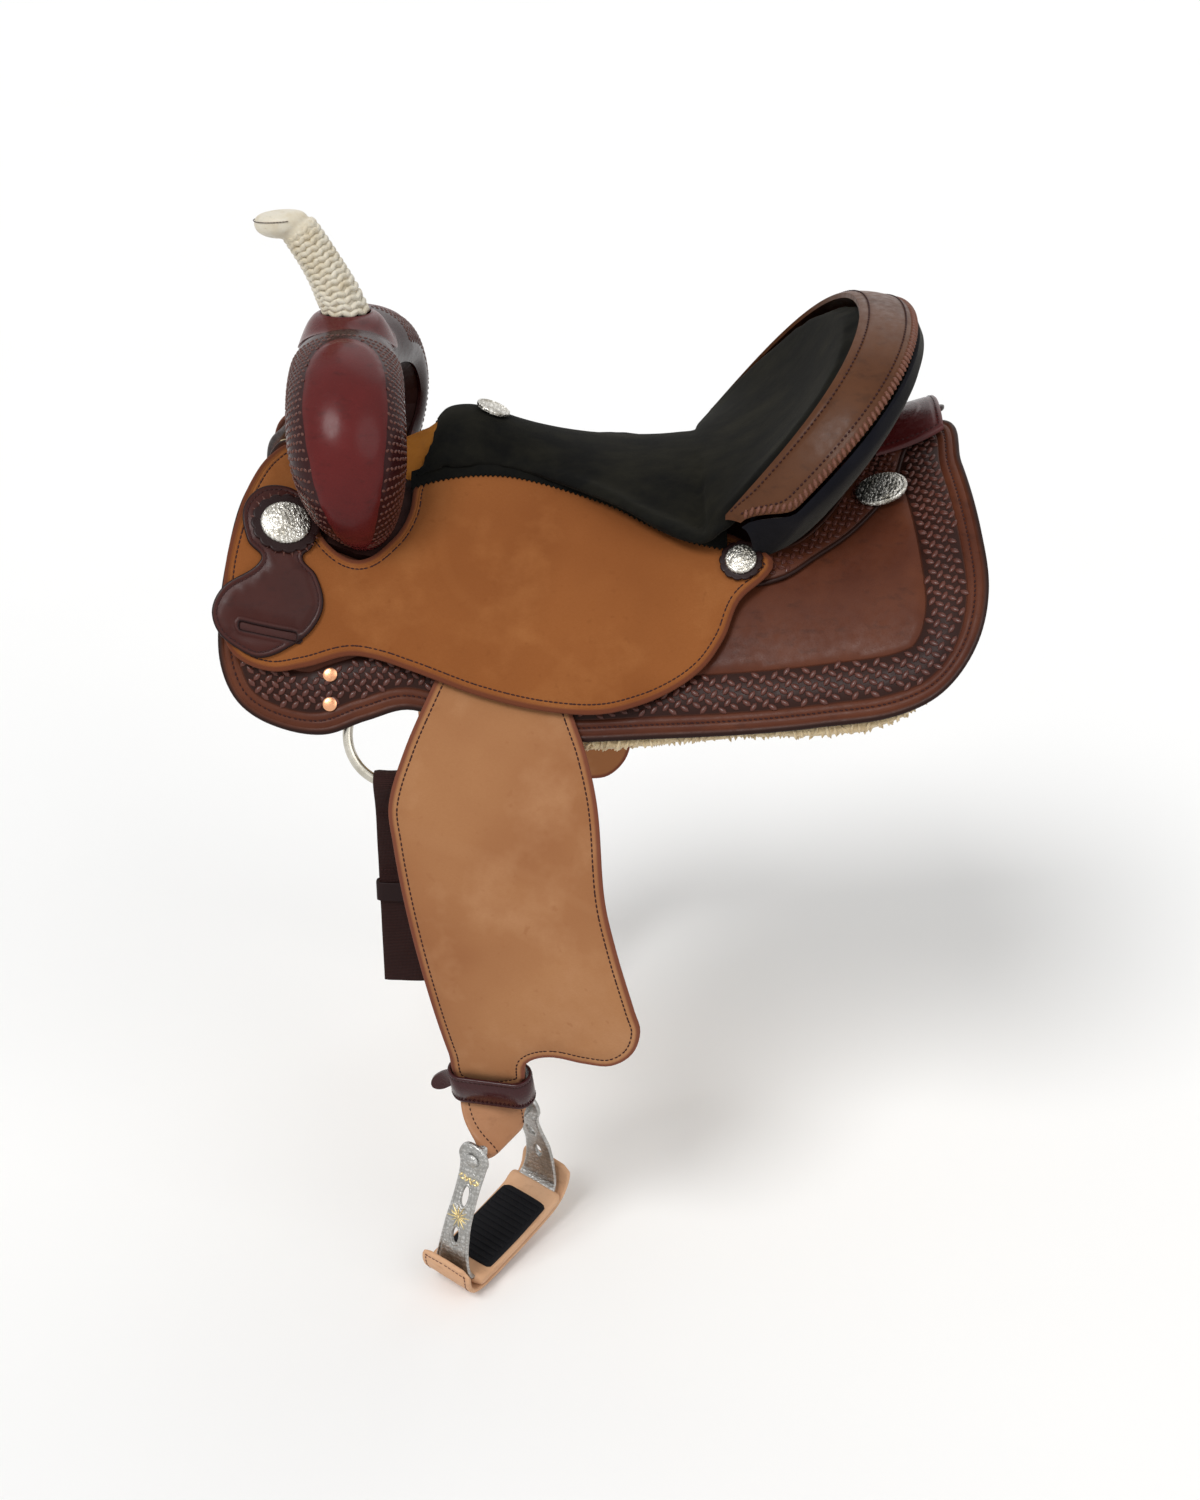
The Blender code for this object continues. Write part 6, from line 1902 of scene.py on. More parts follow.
@dataclass
class Cantle:
    """Roll bound over the cantle's crest, its back cover and the rear cap."""

    finishes: Finishes
    reach: float = 0.985
    overlap: float = 0.0045
    lift: float = 0.0040
    thick: float = 0.0058
    inset: float = 0.17

    def roll(self, fraction: float, part: float, height: float = 0.0) -> Vector:
        """Place on the roll, from its inner edge (0) to its outer one (1)."""
        inner, outer = SHAPE.inner(fraction), SHAPE.outer(fraction)
        across = outer - inner
        inner = inner - across.normalized() * self.overlap
        across = outer - inner
        part = part * (1 - 0.62 * ease((abs(fraction) - 0.87) / 0.115) ** 1.6)
        dome = 0.0042 * max(0.0, 1 - (2 * part - 1) ** 2) ** 0.8
        return inner + across * part + Vector((0, 0, self.lift + dome + height))

    def _mark(self, fraction: float, part: float, turn: float, lift: float) -> Matrix:
        """Frame on the roll with X along it, turned by an angle."""
        here = self.roll(fraction, part)
        ahead = (self.roll(fraction + 0.002, part) - here).normalized()
        beside = (self.roll(fraction, part + 0.02) - self.roll(fraction, part - 0.02)).normalized()
        outward = ahead.cross(beside).normalized()
        if outward.z < 0:
            outward.negate()
        made = Matrix((ahead, outward.cross(ahead), outward)).transposed().to_4x4()
        made.translation = here + outward * lift
        return made @ Matrix.Rotation(turn, 4, "Z")

    def _even(self, part: float, pitch: float) -> list[float]:
        """Fractions of even places along a line of the roll."""
        found, travelled = [], 0.0
        last = self.roll(-self.reach, part)
        steps = 4000
        for k in range(1, steps + 1):
            fraction = self.reach * (2 * k / steps - 1)
            here = self.roll(fraction, part)
            travelled += (here - last).length
            last = here
            if travelled >= pitch:
                travelled -= pitch
                found.append(fraction)
        return found

    def make(self) -> None:
        """Builds and dresses the cantle's leather."""
        rings = []
        count = 200
        parts = [0, 0.03, 0.08, 0.14, self.inset, 0.20, 0.3, 0.42, 0.55, 0.68, 0.79, 1 - self.inset, 0.86, 0.93, 0.98, 1]
        for k in range(count + 1):
            fraction = self.reach * (2 * k / count - 1)
            ring = []
            for part in parts:
                groove = -0.0008 if part in (self.inset, 1 - self.inset) else 0.0
                ring.append(self.roll(fraction, part, groove))
            for part in (1, 0.8, 0.5, 0.2, 0):
                ring.append(self.roll(fraction, part, -self.thick + 0.0012))
            rings.append(ring)
        piece = place_piece("cantle_roll", ring_solid("cantle_roll", rings, smooth=60), self.finishes.binding)
        keep(piece, "saddle", "chestnut", "cantle_binding")
        marks = [self._mark(f, self.inset, 0.0, 0.0004) for f in self._even(self.inset, 0.0046)]
        marks += [self._mark(f, 1 - self.inset, 0.0, 0.0004) for f in self._even(1 - self.inset, 0.0046)]
        stitches = REPEATER.build("roll_stitching", Motif.STITCH, (0.0030, 0.0019, 0.0013), marks, self.finishes.thread)
        keep(stitches, "saddle", "oxblood")
        marks = [self._mark(f, 0.985, radians(58 if f < 0 else -58), -0.0004) for f in self._even(0.985, 0.0058)]
        lacing = REPEATER.build("roll_lacing", Motif.STITCH, (0.0094, 0.0046, 0.0044), marks, self.finishes.lace)
        keep(lacing, "saddle", "chestnut")
        self._back()
        self._cap()
        dress(self.finishes.back, "tree_cantle")
        # The bars are dressed near-black as painted shade where they show under the swell and the roll.
        dress(self.finishes.dark, "tree_bar_near", "tree_bar_off")

    def _back(self) -> None:
        """Suede cover down the cantle's back."""
        top, low = [], []
        count = 120
        for k in range(count + 1):
            fraction = 0.985 * (2 * k / count - 1)
            side = -1 if fraction < 0 else 1
            upper = self.roll(fraction, 1.0) + Vector((0.004, side * 0.003, -0.0030 - self.lift))
            angle = (1 - abs(fraction)) * pi / 2
            foot = FORM.place(0.136 + 0.096 * sin(angle), 0.012 + 0.122 * cos(angle), 0.0290, side)
            row_top, row_low = [], []
            for c in range(13):
                part = c / 12
                swell = max(0.0, sin(pi * part**0.62)) ** 0.8
                bulge = Vector((0.0120, side * 0.0050, 0)) * swell * (0.35 + 0.65 * sin(angle))
                spot = upper.lerp(foot, part) + bulge
                row_top.append(spot)
                row_low.append(spot + Vector((-0.0035, 0, -0.0005)))
            top.append(row_top)
            low.append(row_low)
        piece = place_piece("cantle_back_suede", grid_solid("cantle_back_suede", top, low), self.finishes.back)
        keep(piece, "saddle", "suede", "cantle_back")

    def _cap(self) -> None:
        """Rear cap with a sewn edge, a cut line and a bare raised oval."""

        def face(part_along: float, part_across: float, height: float) -> Vector:
            along = 0.249 + 0.061 * part_along
            edge = FORM.place(along, 0.048 - 0.010 * part_along**3, 0.0262, 1)
            drop = 0.27 * edge.y
            return Vector((along, part_across * edge.y, edge.z + drop * (1 - part_across**2) + 0.004 + height))

        rows, columns = 40, 60
        top, low = [], []
        for r in range(rows + 1):
            row_top, row_low = [], []
            for c in range(columns + 1):
                a, b = r / rows, 2 * c / columns - 1
                gap = min(a * 0.061, (1 - a) * 0.061, (1 - abs(b)) * 0.045)
                height = -0.0014 * (1 - min(1.0, gap / 0.0016)) ** 2 - 0.0005 * max(0.0, 1 - abs(gap - 0.0062) / 0.0010)
                oval = hypot((a - 0.50) * 0.061 / 0.0125, b * 0.045 / 0.0200)
                height += 0.0006 * max(0.0, 1 - abs(oval - 1) / 0.10) + 0.0003 * ease((1 - oval) / 0.1)
                row_top.append(face(a, b, height))
                row_low.append(face(a, b, -0.0040))
            top.append(row_top)
            low.append(row_low)
        piece = place_piece("rear_cap_leather", grid_solid("rear_cap_leather", top, low), self.finishes.oxblood)
        keep(piece, "saddle", "oxblood", "rear_cap")
        marks = []
        line = [(0.065 + 0.87 * k / 12, -0.90) for k in range(13)] + [(0.935, -0.90 + 1.8 * k / 20) for k in range(21)]
        line += [(0.935 - 0.87 * k / 12, 0.90) for k in range(13)]
        for here, there in zip(line, line[1:]):
            if here == there:
                continue
            start, end = face(*here, 0.0), face(*there, 0.0)
            ahead = (end - start).normalized()
            spot = ((here[0] + there[0]) / 2, (here[1] + there[1]) / 2)
            along = face(spot[0] + 0.01, spot[1], 0.0) - face(spot[0] - 0.01, spot[1], 0.0)
            across = face(spot[0], spot[1] + 0.01, 0.0) - face(spot[0], spot[1] - 0.01, 0.0)
            outward = along.cross(across).normalized()
            outward *= 1 if outward.z > 0 else -1
            outward = (outward - ahead * outward.dot(ahead)).normalized()
            mark = Matrix((ahead, outward.cross(ahead), outward)).transposed().to_4x4()
            mark.translation = (start + end) / 2
            marks.append(mark)
        keep(REPEATER.build("rear_cap_stitching", Motif.STITCH, (0.0032, 0.0014, 0.0007), marks, self.finishes.thread),
             "saddle", "oxblood")


def spread(points: Sequence[Sequence[float]], spacing: float) -> list[list[float]]:
    """Fills a line of points in with straight steps no longer than the spacing."""
    found = [list(points[0])]
    for here, there in zip(points, points[1:]):
        length = hypot(*(b - a for a, b in zip(here[:2], there[:2])))
        steps = max(1, round(length / spacing))
        for k in range(1, steps + 1):
            found.append([a + (b - a) * k / steps for a, b in zip(here, there)])
    return found


def soften(points: list[list[float]], rounds: int) -> list[list[float]]:
    """Rounds the corners of an open line by averaging neighbours."""
    for _ in range(rounds):
        inner = [[(a + 2 * b + c) / 4 for a, b, c in zip(*three)] for three in zip(points, points[1:], points[2:])]
        points = [points[0], *inner, points[-1]]
    return points


def ribbon(name: str, path: Sequence[Vector], place: Matrix, width: float, thick: float, wave: float = 0.0) -> bpy.types.Mesh:
    """Bends a flat strap along a path in a frame's Y and Z.

    Args:
        name: The mesh's name.
        path: Centre line as flat points (y, z).
        place: Frame; the strap's width runs along its X.
        width: Width of the strap.
        thick: Thickness of the strap.
        wave: How far the edges stray from straight.

    Returns:
        A closed mesh with its width and length in metres as the UV map "pattern".
    """
    columns = 10
    top, low, travelled = [], [], [0.0]
    for here, there in zip(path, path[1:]):
        travelled.append(travelled[-1] + (there - here).length)
    for k, here in enumerate(path):
        run = (path[min(k + 1, len(path) - 1)] - path[max(k - 1, 0)]).normalized()
        normal = Vector((-run.y, run.x))
        row_top, row_low = [], []
        for c in range(columns + 1):
            part = 2 * c / columns - 1
            x = part * width / 2 + wave * noise.noise((travelled[k] * 30, 0, part))
            half = thick / 2 * (1 - 0.45 * max(0.0, (abs(part) - 0.8) / 0.2) ** 2)
            bow = 0.0006 * noise.noise((travelled[k] * 45, part * 1.3, 4.0))
            for row, shift in ((row_top, half + bow), (row_low, -half + bow)):
                spot = here + normal * shift
                row.append(place @ Vector((x, spot.x, spot.y)))
        top.append(row_top)
        low.append(row_low)
    mesh = grid_solid(name, top, low, 60)
    layer = mesh.uv_layers.new(name="pattern")
    count = len(path) * (columns + 1)
    flat = [(width * (k % (columns + 1)) / columns, travelled[(k % count) // (columns + 1)]) for k in range(2 * count)]
    corner = np.zeros(len(mesh.loops), np.int32)
    mesh.loops.foreach_get("vertex_index", corner)
    layer.data.foreach_set("uv", np.array(flat, np.float32)[corner].ravel())
    return mesh


@dataclass
class Rigging:
    """Rigging ring of one side with the strap that is folded over it."""

    side: Side
    finishes: Finishes
    centre: Flat = (-0.180, 0.272)
    height: float = 0.0070
    radius: float = 0.0440
    wire: float = 0.0045
    width: float = 0.038
    ply: float = 0.0032

    def _ring_place(self) -> Matrix:
        return FORM.frame(*self.centre, lambda along, down: self.height, self.side.sign)

    def _strap_place(self) -> tuple[Matrix, float]:
        """Frame at the lowest place of the wire and the sag of the wire under the strap."""
        ring, sign, upward = self._ring_place(), self.side.sign, Vector((0, 0, 1))
        level = (ring.col[2].xyz.cross(upward) * sign).normalized()
        downward = ring.col[2].xyz.cross(level) * sign
        place = Matrix((level, upward.cross(level), upward)).transposed().to_4x4()
        place.translation = ring.translation + downward * self.radius
        sag = self.radius - sqrt(self.radius**2 - (self.width / 2) ** 2)
        return place @ Matrix.Translation((0, -sign * 0.2 * sag, sag / 2)), sag

    def make(self) -> None:
        """Builds and dresses the ring and its strap."""
        word, place = self.side.word, self._ring_place()
        rings = []
        for k in range(96):
            turn = 2 * pi * k / 96
            out = Vector((cos(turn), sin(turn), 0))
            rings.append([place @ (out * (self.radius + self.wire * cos(2 * pi * j / 20)) + Vector((0, 0, self.wire * sin(2 * pi * j / 20))))
                          for j in range(20)])
        ring = place_piece("ring_" + word, ring_solid("ring", rings, True), self.finishes.nickel)
        keep(ring, "saddle", "nickel", "rigging_ring_" + word)
        near = self.side is Side.NEAR
        length, back = (0.205, 0.105) if near else (0.260, 0.240)
        hinge, sag = self._strap_place()
        middle = self.wire + sag / 2 + 0.0010 + self.ply / 2
        front = [(self.ply / 2 + (0.0004 * cos(k)), -length + (length - 0.022) * k / 24) for k in range(25)]
        over = [(middle * cos(pi * k / 16), middle * sin(pi * k / 16)) for k in range(17)]
        behind = [(-self.ply / 2 - 0.0004, -0.020 - (back - 0.020) * k / 16) for k in range(17)]
        line = soften(spread(front + over + behind, 0.004), 6)
        path = [Vector((self.side.sign * y, z)) for y, z in line]
        body, slot = ("latigo", "nylon") if near else ("off_billet", "harness")
        finish = self.finishes.nylon if near else self.finishes.natural
        strap = place_piece(body + "_strap", ribbon(body + "_strap", path, hinge, self.width - 0.0004, self.ply - 0.0002), finish)
        keep(strap, body, slot, body)
        if near:
            self._folds(hinge)
        else:
            self._stitching_and_hole_shade(hinge, length)

    def _folds(self, hinge: Matrix) -> None:
        """Leather keeper round the folded webbing, and the seam lines that hold the fold."""
        rings = []
        for z in (-0.1195, -0.1190, -0.1010, -0.1005):
            half_x, half_y = self.width / 2 + 0.0030, 0.0060
            edge = 0.0006 if z in (-0.1195, -0.1005) else 0.0
            rings.append([hinge @ Vector(((half_x - edge) * self._square(k)[0], (half_y - edge) * self._square(k)[1], z)) for k in range(40)])
        for z in (-0.1010, -0.1190):
            rings.append([hinge @ Vector(((self.width / 2 + 0.0004) * self._square(k)[0], 0.0038 * self._square(k)[1], z)) for k in range(40)])
        keeper = place_piece("latigo_loop", ring_solid("latigo_loop", rings, True), self.finishes.strap)
        keep(keeper, "latigo", "oxblood")
        marks = []
        for z in (-0.030, -0.034, -0.088, -0.092):
            for k in range(10):
                x = -0.0155 + 0.031 * k / 9
                for face in (-1, 1):
                    mark = Matrix(((1, 0, 0), (0, 0, face), (0, -face, 0))).to_4x4()
                    mark = Matrix.Translation((x, face * (self.ply + (0.0004 if face > 0 else 0.0)), z)) @ mark
                    marks.append(hinge @ mark)
        keep(REPEATER.build("latigo_seams", Motif.STITCH, (0.0028, 0.0009, 0.0008), marks, self.finishes.thread), "latigo", "nylon")

    @staticmethod
    def _square(k: int) -> Flat:
        """Point of a rounded square one unit in half size, in forty steps."""
        x, y = cos(2 * pi * k / 40), sin(2 * pi * k / 40)
        grow = (abs(x) ** 5 + abs(y) ** 5) ** (-1 / 5)
        return x * grow, y * grow

    def _stitching_and_hole_shade(self, hinge: Matrix, length: float) -> None:
        """Stitching down both edges of the billet, and two rows of black discs that stand for punched holes as painted
        shade.
        """
        marks = []
        for face in (-1, 1):
            for x in (-0.0150, 0.0150):
                for k in range(int((length - 0.04) / 0.0046)):
                    z = -0.030 - k * 0.0046
                    turn = Matrix(((0, 0, 1), (0, face, 0), (-1, 0, 0))).to_4x4()
                    height = self.ply if face > 0 else self.ply + 0.0004
                    marks.append(hinge @ Matrix.Translation((x, face * height, z)) @ turn)
        keep(REPEATER.build("billet_stitching", Motif.STITCH, (0.0032, 0.0012, 0.0009), marks, self.finishes.lace),
             "off_billet", "harness")
        # Black discs on both faces stand for the punched holes: painted shade inside them.
        marks = []
        for face in (-1, 1):
            for k in range(8):
                turn = Matrix(((1, 0, 0), (0, 0, face), (0, -face, 0))).to_4x4()
                height = self.ply if face > 0 else self.ply + 0.0004
                marks.append(hinge @ Matrix.Translation((0, face * (height - 0.0004), -length + 0.025 + 0.022 * k)) @ turn)
        keep(REPEATER.build("billet_holes", Motif.SEED, (0.0056, 0.0056, 0.0012), marks, self.finishes.rubber), "off_billet", "harness")


def oval(half_width: float, half_thick: float, steps: int) -> list[Flat]:
    """Flat oval section, as points across and through a strap."""
    points = []
    for end in (1, -1):
        for k in range(steps + 1):
            angle = -pi / 2 + pi * k / steps
            points.append((end * (half_width - half_thick + half_thick * cos(angle)), end * half_thick * sin(angle)))
    return points


def level_place(along: float, down: float, height: float) -> Matrix:
    """Frame on the near side of the form: X rearward, Y square to it and Z up along it."""
    frame_there = FORM.frame(along, down, lambda a, d: height, -1)
    rearward, inward = frame_there.col[0].xyz, frame_there.col[2].xyz
    made = Matrix((rearward, -inward, rearward.cross(-inward))).transposed().to_4x4()
    made.translation = frame_there.translation
    return made


def stirrup_place(sign: int) -> Matrix:
    """Frame of a stirrup: its origin is on the pin."""
    place = Matrix.Translation((-0.094, sign * 0.256, -0.556))
    turns = Matrix.Rotation(-sign * radians(55), 4, "Z") @ Matrix.Rotation(-radians(8), 4, "Y")
    return place @ turns @ Matrix.Rotation(-sign * radians(9), 4, "X")


@dataclass
class StirrupLeather:
    """Stirrup leather of one side, twisted to its stirrup, and the hobble strap round it."""

    side: Side
    finishes: Finishes
    along: float = -0.101
    start: float = 0.350
    end: float = 0.618
    height: float = 0.0176
    half: float = 0.0330
    plies: float = 0.0040
    loop: float = 0.0125
    hobble_down: float = 0.603
    hobble_half: Flat = (0.0375, 0.0120)

    def _section(self, t: float) -> tuple[Matrix, float, float]:
        """Frame, half width and half thickness; t is 0 to 1 on the form and 1 to 2 to the pin."""
        if t <= 1:
            place = level_place(self.along, self.start + (self.end - self.start) * t, self.height)
            return place, self.half, self.plies
        part = t - 1
        first, pin = level_place(self.along, self.end, self.height), stirrup_place(-1)
        spin = first.to_quaternion().slerp(pin.to_quaternion(), ease(part)).to_matrix().to_4x4()
        thick = self.plies + (self.loop - self.plies) * ease((part - 0.3) / 0.7)
        return Matrix.Translation(first.translation.lerp(pin.translation, part)) @ spin, self.half - 0.0035 * part, thick

    def _flip(self, point: Vector) -> Vector:
        return Vector((point.x, -self.side.sign * point.y, point.z))

    def make(self) -> None:
        """Builds and dresses the leather and the hobble strap."""
        word, rings = self.side.word, []
        for k in range(91):
            t = 2 * k / 90
            place, half, thick = self._section(t)
            rings.append([self._flip(place @ Vector((x, y, 0))) for x, y in oval(half, thick, 10)])
        place, half, thick = self._section(2)
        for k in range(1, 9):
            turn = pi / 2 * k / 8
            level = place @ Matrix.Translation((0, 0, -self.loop * 0.93 * sin(turn)))
            rings.append([self._flip(level @ Vector((x, y, 0))) for x, y in oval(half - 0.001, max(thick * cos(turn), 0.0012), 10)])
        leather = place_piece("leather_" + word, ring_solid("leather", rings, smooth=60), self.finishes.natural)
        keep(leather, self.side.fender_body, "harness", "stirrup_leather_" + word)
        marks = []
        for face in (-1, 1):
            for edge in (-1, 1):
                marks += self._row(edge, face)
        keep(REPEATER.build("leather_stitching_" + word, Motif.STITCH, (0.0036, 0.0014, 0.0012), marks, self.finishes.thread),
             self.side.fender_body, "harness")
        self._hobble()

    def _row(self, edge: int, face: int) -> list[Matrix]:
        """Marks of one line of stitches down a face of the leather."""
        def spot(t: float) -> tuple[Vector, Vector]:
            place, half, thick = self._section(t)
            point = place @ Vector((edge * (half - 0.0085), face * thick, 0))
            return self._flip(point), self._flip(place.to_3x3() @ Vector((0, face, 0)))

        marks, travelled, last = [], 0.0, spot(0.0)[0]
        for k in range(1, 1201):
            here, outward = spot(1.98 * k / 1200)
            travelled += (here - last).length
            if travelled >= 0.0047:
                travelled = 0.0
                ahead = (here - last).normalized()
                outward = (outward - ahead * outward.dot(ahead)).normalized()
                mark = Matrix((ahead, outward.cross(ahead), outward)).transposed().to_4x4()
                mark.translation = here
                marks.append(mark)
            last = here
        return marks

    def _hobble(self) -> None:
        """Glossy strap round the leather, with its free tip and its stitching."""
        word, body = self.side.word, self.side.fender_body
        place = level_place(self.along, self.hobble_down, 0.0200)
        wide, deep = self.hobble_half
        rings = []
        for more, z in ((0.0, 0.0168), (0.0006, 0.0170), (0.0024, 0.0170), (0.0030, 0.0160), (0.0030, 0.0138), (0.0024, 0.0132),
                        (0.0030, 0.0126), (0.0032, 0.0), (0.0030, -0.0126), (0.0024, -0.0132), (0.0030, -0.0138),
                        (0.0030, -0.0160), (0.0024, -0.0170), (0.0006, -0.0170), (0.0, -0.0168)):
            rings.append([self._flip(place @ Vector((x, y, z))) for x, y in oval(wide + more, deep + more, 16)])
        strap = place_piece("hobble_" + word, ring_solid("hobble", rings, True, 60), self.finishes.plum)
        keep(strap, body, "oxblood", "hobble_strap_" + word)
        top, low = [], []
        for k in range(29):
            part = k / 28
            spot = Vector((0.004 - wide - 0.027 * part, 0.0035 * sin(pi * part), 0.001 - 0.019 * part**1.1))
            beside = Vector((-0.019, 0, 0.027)).normalized() * (0.0105 - 0.0025 * part)
            beside *= sqrt(max(0.02, 1 - max(0.0, (part - 0.70) / 0.30) ** 2))
            row = [spot + beside * c for c in (-1, -0.9, -0.5, 0, 0.5, 0.9, 1)]
            top.append([self._flip(place @ (spot - Vector((0, 0.0013, 0)))) for spot in row])
            low.append([self._flip(place @ (spot + Vector((0, 0.0013, 0)))) for spot in row])
        tip = place_piece("hobble_tip_" + word, grid_solid("hobble_tip", top, low, 60), self.finishes.plum)
        keep(tip, body, "oxblood")
        marks = []
        for z in (-0.0135, 0.0135):
            loop = oval(wide + 0.0030, deep + 0.0030, 16)
            around = spread([*loop, loop[0]], 0.0044)
            for here, there in zip(around, around[1:]):
                start, end = (self._flip(place @ Vector((*p[:2], z))) for p in (here, there))
                ahead = (end - start).normalized()
                middle = Vector(((here[0] + there[0]) / 2, (here[1] + there[1]) / 2, 0))
                core = Vector((min(max(middle.x, deep - wide), wide - deep), 0, 0))
                outward = self._flip(place.to_3x3() @ (middle - core)).normalized()
                outward = (outward - ahead * outward.dot(ahead)).normalized()
                mark = Matrix((ahead, outward.cross(ahead), outward)).transposed().to_4x4()
                mark.translation = (start + end) / 2
                marks.append(mark)
        keep(REPEATER.build("hobble_stitching_" + word, Motif.STITCH, (0.0030, 0.0012, 0.0010), marks, self.finishes.thread),
             body, "oxblood")


@dataclass
class Stirrup:
    """Cast stirrup with brass overlays, pin, ribbed pad and leather tread."""

    side: Side
    finishes: Finishes
    thick: float = 0.0045
    leg: tuple[tuple[float, float, float], ...] = (
        (0.038, 0.010, 0.0150), (0.039, -0.012, 0.0135), (0.050, -0.040, 0.0125), (0.062, -0.070, 0.0140),
        (0.068, -0.100, 0.0165), (0.069, -0.124, 0.0200), (0.062, -0.134, 0.0230), (0.045, -0.1375, 0.0250),
        (0.0, -0.1385, 0.0260))
    tread: tuple[tuple[float, float, float], ...] = (
        (0.0795, -0.1080, 0.028), (0.0785, -0.1270, 0.028), (0.0720, -0.1400, 0.028), (0.0570, -0.1460, 0.028),
        (0.0290, -0.1480, 0.028), (0.0, -0.1485, 0.028))
    lobe: float = 0.0165
    slots: tuple[tuple[float, float, float], ...] = ((0.0540, 0.0115, 0.0036), (0.0980, 0.0100, 0.0034))
    flower: float = 0.0350
    star: float = 0.0760

    def _line(self, half: Sequence[Sequence[float]]) -> tuple[list[list[float]], list[float]]:
        """Full smooth line from one top to the other, with the length travelled to each point."""
        whole = [*half, *[(-x, z, d) for x, z, d in reversed(half[:-1])]]
        points = soften(spread(whole, 0.0015), 30)
        travelled = [0.0]
        for here, there in zip(points, points[1:]):
            travelled.append(travelled[-1] + hypot(there[0] - here[0], there[1] - here[1]))
        return points, travelled

    def _lay(self, points: list[list[float]], travelled: list[float], place: Matrix) -> Lay:
        """Way of laying a flat strip (length, depth) along a line of the stirrup."""
        x, z = np.array([p[0] for p in points]), np.array([p[1] for p in points])
        reach = np.array(travelled)

        def spot(s: float) -> Vector:
            over = min(0.0, s) if s < reach[-1] / 2 else max(0.0, s - reach[-1])
            here = Vector((np.interp(s, reach, x), np.interp(s, reach, z)))
            if not over:
                return here
            ends = (here - Vector((x[1], z[1]))) if over < 0 else (here - Vector((x[-2], z[-2])))
            return here + ends.normalized() * abs(over)

        def lay(s: float, depth: float, height: float) -> Vector:
            here, run = spot(s), (spot(s + 0.001) - spot(s - 0.001)).normalized()
            outward = Vector((-run.y, run.x))
            if outward.dot(here - Vector((0, -0.085))) < 0:
                outward.negate()
            here = here + outward * height
            return place @ Vector((here.x, depth, here.y))

        return lay

    def make(self) -> None:
        """Builds and dresses the stirrup."""
        word, place, body = self.side.word, stirrup_place(self.side.sign), self.side.stirrup_body
        points, travelled = self._line(self.leg)
        total = travelled[-1]
        half = [(travelled[k], points[k][2]) for k in range(0, len(points), 8)]
        band = [(s, h) for s, h in half if 0.026 < s < total - 0.026]
        cap = [(0.018, self.lobe * 0.88), (0.008, self.lobe), (-0.003, self.lobe * 0.76), (-0.0078, self.lobe * 0.36)]
        ends = [(s, h) for s, h in reversed(cap)] + band + [(total - s, h) for s, h in cap]
        outline = [(s, h) for s, h in ends] + [(s, -h) for s, h in reversed(ends)]
        holes = []
        for middle, long, wide in self.slots:
            for s in (middle, total - middle):
                holes.append(tuple((s + long * cos(2 * pi * k / 12), wide * sin(2 * pi * k / 12)) for k in range(12)))
        cut = Cut(tuple(outline), Section(self.thick, 0.0012, ((0.0030, 0.0008, 0.0005),)), tuple(holes), 0.0026, 0.0046)
        lay = self._lay(points, travelled, place)
        cast = place_piece("stirrup_cast_" + word, cut.mesh("stirrup_cast", lay), self.finishes.cast)
        keep(cast, body, "aluminium", "stirrup_frame_" + word)
        petals, sizes = [], []
        for middle in (self.star, total - self.star):
            for k in range(12):
                turn = 2 * pi * (k + 0.5) / 12
                reach = 0.0072 if k % 2 else 0.0060
                petals.append(frame_on(lay, middle + reach * cos(turn), reach * sin(turn), turn, self.thick))
                sizes.append(Vector((1.35 if k % 2 else 1.05, 0.42, 1)))
            petals.append(frame_on(lay, middle, 0, 0, self.thick))
            sizes.append(Vector((0.45, 0.75, 1.5)))
        for middle, way in ((self.flower, 1), (total - self.flower, -1)):
            for k in range(9):
                across = -0.0096 + 0.0024 * k
                drop = way * (0.0016 if k % 2 else -0.0014)
                petals.append(frame_on(lay, middle + drop, across, pi / 2 + 0.9 * (k % 3 - 1), self.thick))
                sizes.append(Vector((0.62, 0.80, 1)))
        brass = REPEATER.build("stirrup_brass_" + word, Motif.PETAL, (0.0085, 0.0050, 0.0012), petals, self.finishes.brass, sizes)
        keep(brass, body, "copper")
        self._pin(place)
        self._pad(place)
        self._tread(place)

    def _pin(self, place: Matrix) -> None:
        """Bolt through the tops of the legs, with a domed head at each end."""
        word = self.side.word
        profile = [(0.0475, 0.0010), (0.0470, 0.0035), (0.0458, 0.0062), (0.0438, 0.0074), (0.0430, 0.0074), (0.0428, 0.0060)]
        profile += [(0.02 * k - 0.04, 0.0059) for k in (4, 3, 2, 1, 0)] + [(-x, r) for x, r in reversed(profile)]
        rings = [[place @ Vector((x, r * cos(2 * pi * j / 24), r * sin(2 * pi * j / 24))) for j in range(24)] for x, r in profile]
        pin = place_piece("pin_" + word, ring_solid("pin", rings), self.finishes.cast)
        keep(pin, self.side.stirrup_body, "nickel", "stirrup_pin_" + word)

    def _pad(self, place: Matrix) -> None:
        """Rubber pad with ribs across the foot's way."""
        word, body = self.side.word, self.side.stirrup_body
        corners = []
        for x, y in ((0.047, 0.025), (-0.047, 0.025), (-0.047, -0.025), (0.047, -0.025)):
            for dx, dy in ((1.0, 0.88), (0.94, 1.0)) if x * y > 0 else ((0.94, 1.0), (1.0, 0.88)):
                corners.append((x * dx, y * dy))
        cut = Cut(tuple(corners), Section(0.0060, 0.0018), spacing=0.004, cell=0.009)

        def lay(u: float, v: float, h: float) -> Vector:
            return place @ Vector((u, v, -0.1370 + h))

        pad = place_piece("pad_" + word, cut.mesh("pad", lay), self.finishes.rubber)
        keep(pad, body, "rubber", "tread_pad_" + word)
        marks = [frame_on(lay, -0.041 + 0.0068 * k, 0, pi / 2, 0.0066) for k in range(13)]
        keep(REPEATER.build("pad_ribs_" + word, Motif.RIB, (0.0440, 0.0040, 0.0022), marks, self.finishes.rubber), body, "rubber")

